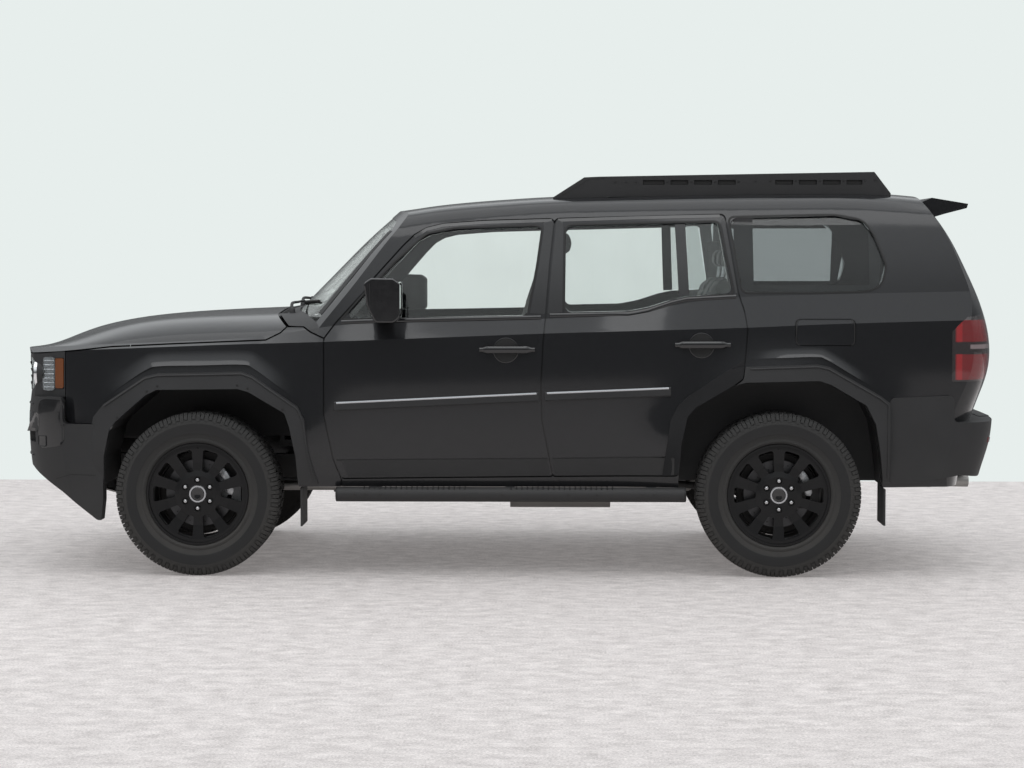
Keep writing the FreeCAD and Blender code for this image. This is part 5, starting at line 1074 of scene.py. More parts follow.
def lamp_bowls():
    """Round headlamps behind clear lenses, and the lamp corners with their amber markers."""
    for side, sign in (("left", -1), ("right", 1)):
        y, z = sign * HEADLAMP_Y, HEADLAMP_Z
        x = touch(["headlamps"], "front", y, z)[0].x
        lens = cover(f"headlamp_lens_{side}", ["headlamps"], "front", oval(y, z, HEADLAMP_RADIUS,
            HEADLAMP_RADIUS, 40), -0.0005, 0.0035)
        dress(lens, "lamp_lens")
        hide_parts("headlamps")
        bowl = lathe(f"headlamp_bowl_{side}", [(0.02, 0.0795), (0.03, 0.079), (0.062, 0.058),
            (0.078, 0.036), (0.082, 0.0), (0.088, 0.0), (0.086, 0.04), (0.066, 0.066), (0.032, 0.0798)],
            (x, y, z), "X", 40)
        dress(bowl, "reflector")
        shroud = lathe(f"headlamp_shroud_{side}", [(0.034, 0.0798), (0.034, 0.0822), (0.089, 0.0822),
            (0.091, 0.0), (0.0895, 0.0), (0.0875, 0.0798)], (x, y, z), "X", 40)
        dress(shroud, "black_trim")
        ring = bmesh.new()
        for radius, along in ((0.072, 0.022), (0.046, 0.03)):
            add_lathe(ring, [(along, radius - 0.004), (along - 0.004, radius - 0.002),
                (along - 0.004, radius + 0.002), (along, radius + 0.004), (along + 0.012, radius + 0.002),
                (along + 0.012, radius - 0.002)], (x, y, z), "X", 40)
        dress(from_bmesh(f"headlamp_ring_{side}", ring), "bright_trim")
        eyes = bmesh.new()
        for lift in (-0.021, 0.021):
            add_lathe(eyes, [(0.03, 0.0), (0.032, 0.009), (0.038, 0.016), (0.046, 0.0185), (0.07, 0.0185),
                (0.07, 0.0)], (x, y, z + lift), "X", 24)
        dress(from_bmesh(f"headlamp_eyes_{side}", eyes), "display")
    outline = side_outline([(0.0318, 0.48), (0.033, 0.564), (0.045, 0.564), (0.045, 0.478),
        (0.037, 0.476)], 0.012)
    corner = ["grille_panel", "headlamps", "fenders"]
    dress_pair(cover("lamp_corner_left", corner, "left", outline, 0.0012, step=0.02), "lamp_shell")
    ribs = bmesh.new()
    for k in range(7):
        z = z_at(0.486 + 0.0115 * k)
        _, normal = touch(corner, "left", x_at(0.039), z)
        add_tube(ribs, [touch(corner, "left", x_at(s), z)[0] + normal * 0.0025
            for s in (0.0335, 0.0375, 0.0445)], 0.0018, 6)
    dress_pair(from_bmesh("lamp_corner_ribs_left", ribs), "bright_trim")
    dress_pair(cover("lamp_corner_lens_left", corner, "left", outline, 0.0075, -0.005, step=0.02),
        "lamp_lens")
    marker = side_outline([(0.0458, 0.483), (0.0458, 0.561), (0.0545, 0.561), (0.0545, 0.483)], 0.008)
    dress_pair(cover("marker_lamp_left", ["headlamps"], "left", marker, 0.004, 0.006, step=0.03),
        "amber_lens")


def grille_bars():
    """A dark field with four bars, thin uprights and a surround."""
    bar = [(-0.01, -0.002), (-0.008, 0.01), (0.006, 0.014), (0.01, 0.01), (0.011, -0.002)]
    panel = ["grille_panel"]
    field = [(-0.6, 0.905), (0.6, 0.905), (0.6, 1.066), (-0.6, 1.066)]
    dress(cover("grille_field", panel, "front", rounded_outline(field, 0.02), 0.0008, step=0.06), "rubber")
    for k, z in enumerate((0.93, 0.964, 0.998, 1.032)):
        dress(band(f"grille_bar_{k}", panel, "front", [(-0.6, z), (0.6, z)], bar, step=0.06, soften=2),
            "gloss_trim")
    slats = bmesh.new()
    for k in range(41):
        y = -0.58 + 0.029 * k
        places = [touch(panel, "front", y, z)[0] + Vector((-0.004, 0, 0)) for z in (0.912, 0.985, 1.058)]
        add_tube(slats, places, 0.0028, 6)
    dress(from_bmesh("grille_uprights", slats), "black_trim")
    edge = band("grille_surround", panel, "front", rounded_outline(field, 0.03),
        [(-0.01, -0.002), (-0.009, 0.007), (0.004, 0.009), (0.01, 0.005), (0.01, -0.002)], closed=True,
        step=0.03, soften=1)
    dress(edge, "gloss_trim")


def bumper_face():
    """The intake, creases, corner lamps, skid plate and hooks of the front bumper."""
    low, high = z_at(0.318), z_at(0.397)
    x = x_at(0.0115)
    bars = [((x, -0.448, z - 0.004), (x + 0.016, 0.448, z + 0.004)) for z in (0.632, 0.664, 0.696, 0.728)]
    uprights = [((x + 0.003, y - 0.004, low + 0.001), (x + 0.012, y + 0.004, high - 0.001))
        for y in [-0.42 + 0.06 * k for k in range(15)]]
    dress(boxes("lower_intake_bars", bars, 0.0015), "black_trim")
    dress(boxes("lower_intake_uprights", uprights, 0.001), "gloss_trim")
    back = oblong(-0.452, low, 0.452, high, 0.01)
    dress(plate("lower_intake_back", back, "X", x + 0.0185, x + 0.0215), "rubber")
    recess = rounded_outline([(-0.86, 0.7), (-0.5, 0.7), (-0.5, 0.79), (-0.86, 0.8)], 0.03)
    dress_pair(cover("bumper_inset_left", ["front_bumper"], "front", recess, 0.0015, step=0.05),
        "gloss_trim")
    for label, z in (("upper", 0.838), ("lower", 0.586)):
        crease = band(f"bumper_crease_{label}", ["front_bumper"], "front", [(-0.8, z), (0.8, z)],
            section(0.006, 0.002, -0.001, 0.005), step=0.05, soften=2)
        dress(crease, "black_trim")
    lens = side_outline([(0.0288, 0.3335), (0.0288, 0.3603), (0.0377, 0.3603), (0.0377, 0.3335)], 0.008)
    dress_pair(cover("corner_lamp_left", ["front_bumper"], "left", lens, 0.002, step=0.03), "gloss_trim")
    ring = band("corner_lamp_frame_left", ["front_bumper"], "left", lens, section(0.003, 0.002, -0.001,
        0.005), closed=True, step=0.01)
    dress_pair(ring, "black_trim")
    shell = rounded_outline([(-2.322, 0.618), (-2.322, 0.866), (-2.178, 0.866), (-2.178, 0.64)], 0.045)
    dress_pair(cover("bumper_corner_shell_left", ["front_bumper"], "left", shell, 0.0012, step=0.03),
        "gloss_trim")
    split = [(0.033, 0.349), (0.042, 0.356), (0.052, 0.389), (0.06, 0.3905)]
    line = band("bumper_split_left", ["front_bumper"], "left", side_points(split),
        section(0.0015, 0.0015, -0.001, 0.0006), step=0.01)
    dress_pair(line, "rubber")
    valance = side_points([(0.048, 0.25), (0.064, 0.262), (0.089, 0.26)])
    low_line = band("valance_line_left", ["front_bumper"], "left", valance, section(0.0015, 0.0015, -0.001,
        0.0006), step=0.01)
    dress_pair(low_line, "rubber")
    skid = [(-2.33, 0.47), (-2.335, 0.48), (-2.2, 0.395), (-2.02, 0.345), (-2.02, 0.335), (-2.205, 0.384)]
    guard = plate("skid_plate", skid, "Y", -0.3, 0.3, 0.004)
    dress(guard, "exhaust_steel")
    hook = smooth_path([(-2.3, -0.395, 0.56), (-2.4, -0.395, 0.556), (-2.44, -0.395, 0.53),
        (-2.44, -0.395, 0.5), (-2.4, -0.395, 0.48), (-2.31, -0.395, 0.486)], 5)
    dress_pair(tube("tow_hook_left", hook, 0.0085, 10), "nut_steel")


def cowl_and_wipers():
    # Dark strips along the cowl stand in for its vent slots: painted shade where the openings would be.
    slot_shade_marks = bmesh.new()
    for k in range(26):
        y = -0.6 + 0.048 * k
        hits = [touch(["cowl"], "top", x, y) for x in (-1.14, -1.126, -1.112)]
        if all(hits):
            add_tube(slot_shade_marks, [h[0] + Vector((0, 0, 0.0005)) for h in hits], 0.0035, 6)
    dress(from_bmesh("cowl_slots", slot_shade_marks), "rubber")
    blade = [(-0.004, -0.0005), (-0.007, 0.008), (-0.004, 0.016), (0.004, 0.016), (0.007, 0.008),
        (0.004, -0.0005)]
    for label, start, end, pivot in (("driver", (-0.7, 1.34), (-0.02, 1.318), (-0.6, -1.09)),
            ("passenger", (0.02, 1.345), (0.62, 1.315), (0.1, -1.115))):
        made = band(f"wiper_blade_{label}", ["windscreen"], "front", [start, end], blade, step=0.04,
            soften=2)
        dress(made, "rubber")
        middle = ((start[0] + end[0]) / 2, (start[1] + end[1]) / 2)
        grip, normal = touch(["windscreen"], "front", *middle)
        y, x = pivot
        base, _ = touch(["cowl"], "top", x, y)
        knee = base.lerp(grip, 0.25) + Vector((-0.02, 0, 0.035))
        path = smooth_path([base + Vector((0, 0, 0.012)), knee, base.lerp(grip, 0.7) + normal * 0.03,
            grip + normal * 0.02], 5)
        taper = [0.009 - 0.0035 * i / (len(path) - 1) for i in range(len(path))]
        dress(tube(f"wiper_arm_{label}", path, taper, 8), "black_trim")
        boss = lathe(f"wiper_boss_{label}", [(-0.006, 0.0), (-0.006, 0.016), (0.016, 0.014),
            (0.024, 0.009), (0.025, 0.0)], base, "Z", 20)
        dress(boss, "black_trim")


lamp_bowls()
grille_bars()
bumper_face()
cowl_and_wipers()


# Rear end
def tail_lamp_finish():
    """Red and clear bands behind a dark edge, by height and length."""
    material, tree, surface = shader("tail_lamp_lens", Coat_Weight=1.0, Coat_Roughness=0.03, IOR=1.5)
    where = node(tree, "ShaderNodeTexCoord").outputs["Object"]
    parts = node(tree, "ShaderNodeSeparateXYZ", {"Vector": where})

    def between(value, low, high, soft):
        rise = node(tree, "ShaderNodeMapRange", {"Value": value}, From_Min=low, From_Max=low + soft)
        fall = node(tree, "ShaderNodeMapRange", {"Value": value}, From_Min=high - soft, From_Max=high)
        return maths(tree, "MULTIPLY", rise.outputs[0], maths(tree, "SUBTRACT", 1.0, fall.outputs[0]))

    upper = between(parts.outputs["Z"], 1.15, 1.262, 0.006)
    lower = between(parts.outputs["Z"], 0.965, 1.095, 0.006)
    clear = between(parts.outputs["Z"], 1.116, 1.142, 0.005)
    inside = between(parts.outputs["X"], 2.182, 3.0, 0.006)
    bar = between(parts.outputs["X"], 2.188, 2.221, 0.005)
    red = maths(tree, "MULTIPLY", maths(tree, "ADD", upper, lower), inside)
    tone = blend_colour(tree, red, (0.01, 0.005, 0.006), (0.22, 0.003, 0.006))
    tone = blend_colour(tree, maths(tree, "MULTIPLY", red, bar), tone, (0.42, 0.01, 0.014))
    tone = blend_colour(tree, maths(tree, "MULTIPLY", clear, between(parts.outputs["X"], 2.256, 3.0,
        0.005)), tone, (0.3, 0.24, 0.245))
    wave = node(tree, "ShaderNodeTexWave", {"Vector": where}, Scale=55.0, bands_direction="Z")
    feed(tree, surface, Base_Color=blend_colour(tree, maths(tree, "MULTIPLY", wave.outputs["Fac"], 0.45),
        tone, (0.012, 0.002, 0.003)))
    feed(tree, surface, Roughness=span(tree, wave.outputs["Fac"], 0.12, 0.3))
    bump(tree, surface, wave.outputs["Fac"], 0.3, 0.002)
    return material


def rear_details():
    """Seals, wiper, plain plate, lamps and sensors of the tailgate and the rear bumper."""
    pane = ["tailgate_glass"]
    window = mirror_pairs([(0.615, 0.7), (0.57, 0.82), (0.515, 0.915)])
    seal = band("tail_window_seal", ["tailgate"], "rear", rounded_outline(grown(window, 0.007), 0.036),
        SEAL, closed=True, step=0.02)
    dress(seal, "rubber", "tailgate")
    lines = bmesh.new()
    for k in range(10):
        z = 1.395 + 0.03 * k
        half = 0.53 - 0.0042 * k
        hits = [touch(pane, "inner_rear", y, z) for y in (-half, -half / 2, 0, half / 2, half)]
        if all(hits):
            add_tube(lines, [h[0] + h[1] * 0.0006 for h in hits], 0.0009, 4)
    dress(from_bmesh("defroster_lines", lines), "bright_trim", "tailgate")
    garnish = rounded_outline([(-0.52, 1.07), (0.52, 1.07), (0.5, 1.15), (-0.5, 1.15)], 0.02)
    dress(cover("tailgate_garnish", ["tailgate"], "rear", garnish, 0.006, 0.002, step=0.06), "gloss_trim",
        "tailgate")
    plate_place = [(-0.27, 0.945), (0.27, 0.945), (0.27, 1.06), (-0.27, 1.06)]
    dress(cover("plate_recess", ["tailgate"], "rear", rounded_outline(plate_place, 0.012), 0.0015,
        step=0.06), "black_trim", "tailgate")
    holder = [(-0.165, 0.955), (0.165, 0.955), (0.165, 1.045), (-0.165, 1.045)]
    dress(cover("blank_plate", ["tailgate"], "rear", rounded_outline(holder, 0.008), 0.005, 0.0,
        step=0.05), "exhaust_steel", "tailgate")
    lamps = [(-0.12, 1.063), (-0.06, 1.063), (-0.06, 1.07), (-0.12, 1.07)]
    dress_pair(cover("plate_lamp_left", ["tailgate"], "rear", lamps, 0.01, 0.0, step=0.02), "lamp_lens",
        "tailgate")
    grip = touch(["tailgate"], "rear", 0.0, 1.085)[0]
    path = [grip + Vector((0.002, y, -0.006)) for y in (-0.12, 0.0, 0.12)]
    dress(tube("tailgate_release", smooth_path(path, 4), 0.009, 10), "black_trim", "tailgate")
    pivot, normal = touch(pane, "rear", 0.0, 1.385)
    blade = band("rear_wiper_blade", pane, "rear", [(0.06, 1.42), (0.44, 1.452)],
        section(0.003, 0.006, -0.0005, 0.008), step=0.04, soften=2)
    dress(blade, "rubber", "tailgate")
    tip, out = touch(pane, "rear", 0.27, 1.438)
    arm = smooth_path([pivot + normal * 0.016, pivot.lerp(tip, 0.5) + normal * 0.026, tip + out * 0.012], 5)
    dress(tube("rear_wiper_arm", arm, 0.0055, 8), "black_trim", "tailgate")
    boss = lathe("rear_wiper_boss", [(-0.004, 0.0), (-0.004, 0.022), (0.012, 0.02), (0.026, 0.012),
        (0.028, 0.0)], pivot, "X", 20)
    dress(boss, "black_trim", "tailgate")
    stop = cover("high_stop_lamp", ["tailgate"], "rear", [(-0.16, 1.822), (0.16, 1.822), (0.16, 1.838),
        (-0.16, 1.838)], 0.003, 0.001, step=0.05)
    dress(stop, "stop_lens", "tailgate")
    step_pad = cover("bumper_step_pad", ["rear_bumper"], "top",
        rounded_outline([(2.375, -0.5), (2.435, -0.46), (2.442, 0.0), (2.435, 0.46), (2.375, 0.5)], 0.02),
        0.003, 0.001, step=0.08)
    dress(step_pad, "black_trim")
    for y in (-0.6, -0.22, 0.22, 0.6):
        place, _ = touch(["rear_bumper"], "rear", y, 0.69)
        sensor = lathe(f"parking_sensor_{int(50 + 50 * y)}", stud(-0.003, 0.01, 0.001, 0.0022, 0.007),
            place, "X", 20)
        dress(sensor, "gloss_trim")
    reflector = [(-0.8, 0.655), (-0.7, 0.65), (-0.7, 0.672), (-0.8, 0.68)]
    dress_pair(cover("rear_reflector_left", ["rear_bumper"], "rear", reflector, 0.003, 0.001, step=0.04),
        "stop_lens")
    inlay = rounded_outline([(-0.62, 0.5), (0.62, 0.5), (0.6, 0.61), (-0.6, 0.61)], 0.03)
    dress(cover("bumper_lower_inlay", ["rear_bumper"], "rear", inlay, 0.002, 0.001, step=0.07),
        "gloss_trim")
    _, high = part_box("exhaust")
    (y, z), x = pipe_end(), high.x
    tip = lathe("exhaust_tip", [(x - 0.11, 0.0265), (x - 0.104, 0.031), (x + 0.004, 0.033),
        (x + 0.008, 0.0315), (x + 0.004, 0.0285), (x - 0.1, 0.0262)], (0, y, z), "X", 32)
    dress(tip, "exhaust_steel")


def mirror_pairs(half):
    points = [(s * HALF_WIDTH, h * HEIGHT) for s, h in half]
    return points + [(-y, z) for y, z in reversed(points)]


def pipe_end():
    """The middle of the exhaust's rear end, across and up."""
    mesh = frame["nodes"]["exhaust"].data
    end = max(v.co.x for v in mesh.vertices)
    ring = [v.co for v in mesh.vertices if v.co.x > end - 0.02]
    ys, zs = [p.y for p in ring], [p.z for p in ring]
    return (min(ys) + max(ys)) / 2, (min(zs) + max(zs)) / 2


M["red_lens"] = tail_lamp_finish()
M["stop_lens"] = textured("stop_lens", (0.3, 0.005, 0.008), (0.1, 0.2), "brushed", 0.3, 0.001, 0.35,
    Coat_Weight=1.0, Coat_Roughness=0.03)
rear_details()


# Roof rack, side steps, flares and cladding
RACK_SLOTS = [(0.636, 0.658), (0.664, 0.682), (0.688, 0.706), (0.712, 0.73), (0.77, 0.788), (0.794, 0.812),
    (0.818, 0.836), (0.842, 0.858)]


def rack_details():
    """Bolts, dark slot backs that paint the shade inside the slots, a seam and pads on the roof rack."""
    bolts = bmesh.new()
    face = -0.622 * HALF_WIDTH
    for s, h in ((0.608, 1.0215), (0.619, 1.0215), (0.629, 1.0215), (0.661, 1.0215), (0.685, 1.022),
            (0.709, 1.0225), (0.733, 1.0225), (0.75, 1.0235), (0.765, 1.024), (0.791, 1.024),
            (0.815, 1.0245), (0.839, 1.025), (0.861, 1.0255), (0.871, 1.026)):
        centre = (x_at(s), face, z_at(h))
        add_lathe(bolts, stud(0.001, 0.0052, -0.003, -0.0036, 0.003), centre, steps=12)
    dress_pair(from_bmesh("rack_bolts_left", bolts), "chassis_steel")
    # Dark boxes at the bottom of the slot pockets: painted shade where the slots would look dark.
    slot_shade_marks = [((x_at(a) + 0.002, face + 0.0095, z_at(1.014) + 0.001), (x_at(b) - 0.002, face + 0.0125,
        z_at(1.026) - 0.001)) for a, b in RACK_SLOTS]
    dress_pair(boxes("rack_slot_fills_left", slot_shade_marks, 0.0008), "rubber")
    edge = [(x_at(s), face, z_at(h)) for s, h in ((0.55, 0.988), (0.5775, 1.031), (0.5925, 1.033))]
    seam = tube("rack_end_seam_left", [Vector(p) + Vector((0.02, 0.0, -0.004)) for p in edge], 0.0016, 6)
    dress_pair(seam, "rubber")
    pads = boxes("rack_bar_pads",
        [((x_at(a) + 0.01, -0.5, z_at(1.03) - 0.001), (x_at(b) - 0.01, 0.5, z_at(1.03) + 0.003))
        for a, b in ((0.585, 0.597), (0.652, 0.664), (0.782, 0.794), (0.847, 0.859))], 0.001)
    dress(pads, "rubber")


def step_details():
    """Treads, bolts and end caps of the side steps."""
    y, z, r = -0.966 * HALF_WIDTH, z_at(0.214), 0.036
    treads = bmesh.new()
    for start, end in ((-0.7, -0.16), (0.02, 0.56)):
        count = int((end - start) / 0.026)
        for k in range(count):
            x = start + 0.026 * k
            arc = [Vector((x, y + (r + 0.0018) * math.sin(a), z + (r + 0.0018) * math.cos(a)))
                for a in (-0.75, -0.4, 0.0, 0.4, 0.75)]
            add_tube(treads, arc, 0.0028, 6)
    dress_pair(from_bmesh("step_treads_left", treads), "rubber")
    bolts = bmesh.new()
    for x in (-0.742, -0.69, -0.62, -0.02, 0.3, 0.44, 0.66, 0.72):
        add_lathe(bolts, stud(0.002, 0.0055, -0.004, -0.005, 0.003), (x, y - r + 0.002, z + 0.004),
            steps=12)
    dress_pair(from_bmesh("step_bolts_left", bolts), "chassis_steel")
    caps = bmesh.new()
    for x, way in ((x_at(0.331), -1), (x_at(0.676), 1)):
        add_lathe(caps, [(x - way * 0.004, 0.0362), (x + way * 0.004, 0.0358), (x + way * 0.007, 0.03),
            (x + way * 0.008, 0.0), (x - way * 0.004, 0.0)], (0, y, z), "X", 28)
    dress_pair(from_bmesh("step_caps_left", caps), "rubber")


def flare_edges():
    lip = [(-0.0045, -0.002), (-0.004, 0.0035), (0.0, 0.005), (0.004, 0.0035), (0.0045, -0.002)]
    front = [(0.0975, 0.4391), (0.1396, 0.5109), (0.1525, 0.5191), (0.2366, 0.5237), (0.2475, 0.5134),
        (0.2919, 0.4339), (0.2976, 0.4), (0.3019, 0.3194), (0.308, 0.25)]
    dress_pair(band("front_flare_lip_left", ["arch_flares"], "left", side_points(front), lip, step=0.03),
        "black_trim")
    rear = [(0.725, 0.5328), (0.7341, 0.5375), (0.8065, 0.5437), (0.8172, 0.5375), (0.8685, 0.4621),
        (0.8767, 0.445), (0.8767, 0.26)]
    dress_pair(band("rear_flare_lip_left", ["arch_flares"], "left", side_points(rear), lip, step=0.03),
        "black_trim")
    inner = [(0.1115, 0.404), (0.142, 0.4725), (0.1525, 0.4865), (0.2325, 0.4893), (0.243, 0.481),
        (0.2775, 0.427), (0.2818, 0.393)]
    screws = bmesh.new()
    for s, h in inner:
        hit = touch(["arch_flares"], "left", x_at(s), z_at(h + 0.006))
        if hit:
            add_lathe(screws, stud(0.002, 0.006, -0.002, -0.0026, 0.0035), hit[0], steps=12)
    dress_pair(from_bmesh("flare_screws_left", screws), "rubber")


ARCH_SWELLS = [
    ("front", "fenders", 0.07, 0.0165, [(-1.976, 0.873), (-1.87, 0.95), (-1.77, 1.014), (-1.706, 1.032),
        (-1.5, 1.037), (-1.294, 1.041), (-1.238, 1.021), (-1.13, 0.943), (-1.023, 0.863)]),
    ("rear", "side_left", 0.046, 0.011, [(1.18, 1.07), (1.34, 1.076), (1.5, 1.081), (1.553, 1.068),
        (1.68, 0.993), (1.804, 0.919)]),
]


def arch_swells():
    """The painted side swells out towards the edge of each wheel-arch flare."""
    for end, node_name, width, rise, points in ARCH_SWELLS:
        path = resample([(p.x, p.y) for p in smooth_path([(x, z, 0) for x, z in points], 5)], 0.022, False)
        rings = []
        for i, p in enumerate(path):
            way = (path[min(i + 1, len(path) - 1)] - path[max(i - 1, 0)]).normalized()
            t = i / (len(path) - 1)
            fade = math.sin(math.pi * min(1.0, max(0.0, min(t, 1 - t) / 0.3)) / 2) ** 2
            top = []
            for k in range(9):
                u = k / 8
                x, z = p.x - way.y * width * (1 - u), p.y + way.x * width * (1 - u)
                hit = touch([node_name], "left", x, z)
                top.append((hit[0] if hit else Vector((x, top[-1][0].y, z)), 0.0003 + rise * fade * u ** 2))
            ring = [place - Vector((0, out, 0)) for place, out in top]
            rings.append(ring + [top[-1][0] + Vector((0, 0.002, 0)), top[0][0] + Vector((0, 0.002, 0))])
        dress_pair(ringed(f"{end}_arch_swell_left", rings), "body_paint")


def door_cladding():
    for label, outline, door, body in (("front", [(0.341, 0.2575), (0.3352, 0.301), (0.5395, 0.305),
            (0.5425, 0.262)], *FRONT_DOOR), ("rear", [(0.5478, 0.2625), (0.5445, 0.305), (0.6655, 0.3095),
            (0.6655, 0.266)], *REAR_DOOR)):
        skin = cover(f"{label}_door_cladding_left", [door], "left", side_points(outline), 0.003, 0.001,
            step=0.08)
        dress_pair(skin, "black_trim", body)


rack_details()
step_details()
flare_edges()
arch_swells()
door_cladding()


# Glass edges, mirror and lining
def windscreen_details():
    pane = ["windscreen"]
    rim = rounded_outline([(-0.775, 1.3), (0.775, 1.3), (0.655, 1.742), (-0.655, 1.742)], 0.06)
    edge = band("windscreen_frit", pane, "front", rim, section(0.024, 0.024, -0.0072, -0.006), closed=True,
        step=0.03, soften=1)
    dress(edge, "rubber")
    side = band("windscreen_moulding_left", pane, "front", [(-0.803, 1.285), (-0.745, 1.52),
        (-0.684, 1.752)], [(-0.021, -0.001), (-0.019, 0.004), (0.0, 0.008), (0.019, 0.004),
        (0.021, -0.001)], step=0.03, soften=2)
    dress_pair(side, "black_trim")
    top, normal = touch(pane, "front", 0.0, 1.7)
    base = top - normal * 0.012
    head = base + Vector((0.085, 0, -0.055))
    dress(tube("mirror_stem", smooth_path([base, base.lerp(head, 0.5) + Vector((0, 0, -0.012)), head], 5),
        0.009, 10), "cabin_trim")
    frame_of_mirror = plate("cabin_mirror",
        rounded_outline([(-0.125, head.z - 0.036), (0.125, head.z - 0.036), (0.118, head.z + 0.034),
        (-0.118, head.z + 0.034)], 0.022), "X", head.x - 0.012, head.x + 0.014, 0.005)
    dress(frame_of_mirror, "cabin_trim")
    face = plate("cabin_mirror_glass", rounded_outline([(-0.115, head.z - 0.029), (0.115, head.z - 0.029),
        (0.109, head.z + 0.028), (-0.109, head.z + 0.028)], 0.018), "X", head.x + 0.013, head.x + 0.0155,
        0.0006)
    dress(face, "reflector")
    pod = boxes("sensor_pod",
        [((base.x - 0.002, -0.055, base.z - 0.045), (base.x + 0.06, 0.055, base.z + 0.004))], 0.012)
    dress(pod, "cabin_trim")


def lining_and_carpet():
    """The headlining, the floor mats and the strips of the load floor."""
    inside = ["roof_panel", "side_left", "side_right"]
    patch = oblong(-0.5, -0.6, 1.98, 0.6, 0.06)
    dress(cover("headlining", inside, "inner_top", patch, 0.006, -0.001, step=0.12), "headlining")
    low = z_at(0.334)
    mats = [("driver_mat", (-0.86, -0.66), (-0.5, -0.18)), ("passenger_mat", (-0.86, 0.18), (-0.5, 0.66)),
        ("rear_mat_left", (0.19, -0.7), (0.44, -0.16)), ("rear_mat_right", (0.19, 0.16), (0.44, 0.7))]
    for label, a, b in mats:
        outline = oblong(a[0], a[1], b[0], b[1], 0.05)
        dress(plate(label, outline, "Z", low + 0.0005, low + 0.012, 0.003), "carpet")
    ribs = bmesh.new()
    for k in range(9):
        y = -0.4 + 0.1 * k
        add_tube(ribs, [(1.345, y, 0.6475), (2.055, y, 0.6475)], 0.0035, 6)
    dress(from_bmesh("load_floor_strips", ribs), "rubber")


windscreen_details()
lining_and_carpet()


# Cabin
def dash_details():
    """Displays, vents, knobs and the gear lever on the dashboard and its console."""
    dash = ["dashboard"]

    def panel(name, y0, y1, z0, z1, finish, proud=0.003, corner=0.015, slot="cabin_trim"):
        outline = rounded_outline([(y0, z0), (y1, z0), (y1, z1), (y0, z1)], corner)
        return dress(cover(name, dash, "rear", outline, proud, 0.0, step=0.05), finish, "body")

    panel("dash_upper_band", -0.78, 0.78, 1.18, 1.232, "cabin_trim", 0.006, 0.02)
    panel("centre_display", -0.15, 0.15, 1.095, 1.245, "display", 0.016, 0.012)
    panel("gauge_display", -0.53, -0.235, 1.186, 1.242, "display", 0.01, 0.02)
    panel("glove_box_lid", 0.235, 0.74, 0.985, 1.11, "cabin_trim", 0.004, 0.03)
    panel("switch_panel", -0.135, 0.135, 0.975, 1.075, "gloss_trim", 0.006, 0.012, "gloss_trim")
    for k, (y0, y1) in enumerate(((-0.8, -0.66), (-0.205, -0.165), (0.165, 0.205), (0.66, 0.8))):
        panel(f"vent_{k}", y0, y1, 1.125, 1.215, "rubber", 0.004, 0.01)
        fins = bmesh.new()
        for j in range(5):
            z = 1.138 + 0.016 * j
            hits = [touch(dash, "rear", y, z) for y in (y0 + 0.006, y1 - 0.006)]
            if all(hits):
                add_tube(fins, [h[0] + Vector((0.007, 0, 0)) for h in hits], 0.0028, 6)
        dress(from_bmesh(f"vent_fins_{k}", fins), "gloss_trim")
    knobs = bmesh.new()
    for y in (-0.095, 0.0, 0.095):
        place = touch(dash, "rear", y, 1.025)[0]
        add_lathe(knobs, [(0.004, 0.0), (0.004, 0.021), (0.02, 0.019), (0.024, 0.016), (0.024, 0.0)],
            place, "X", 28)
    dress(from_bmesh("climate_knobs", knobs), "bright_trim")
    hood = smooth_path([(0.0, -0.545, 1.215), (0.0, -0.5, 1.25), (0.0, -0.3825, 1.258),
        (0.0, -0.265, 1.25), (0.0, -0.22, 1.215)], 5)
    path = []
    for p in hood:
        hit = touch(dash, "rear", p.y, min(p.z, 1.246))
        path.append(Vector((hit[0].x + 0.02, p.y, p.z - 0.003)))
    dress(tube("gauge_hood", path, 0.012, 10), "cabin_trim")
    console = touch(dash, "top", x_at(0.435), 0.0)[0]
    boot = lathe("gear_boot", [(-0.002, 0.0), (-0.002, 0.055), (0.01, 0.05), (0.035, 0.026), (0.05, 0.012),
        (0.052, 0.0)], console, "Z", 28)
    dress(boot, "seat_cover")
    lever = smooth_path([console + Vector((0, 0, 0.04)), console + Vector((-0.004, 0, 0.1)),
        console + Vector((0.004, 0, 0.135))], 5)
    dress(tube("gear_lever", lever, 0.008, 12), "bright_trim")
    knob = lathe("gear_knob", [(0.128, 0.0), (0.13, 0.016), (0.15, 0.024), (0.172, 0.023), (0.184, 0.014),
        (0.187, 0.0)], console, "Z", 28)
    dress(knob, "gloss_trim")
    cups = bmesh.new()
    for s in (0.462, 0.48):
        place = touch(dash, "top", x_at(s), 0.0)[0]
        add_lathe(cups, [(-0.001, 0.034), (0.004, 0.036), (0.005, 0.04), (0.003, 0.044), (-0.001, 0.044)],
            place, "Z", 32)
    dress(from_bmesh("cup_rims", cups), "bright_trim")
    rest = touch(dash, "top", x_at(0.507), 0.0)[0]
    pad = boxes("console_armrest",
        [((x_at(0.492), -0.095, rest.z - 0.004), (x_at(0.5195), 0.095, rest.z + 0.04))], 0.016)
    dress(pad, "seat_cover")


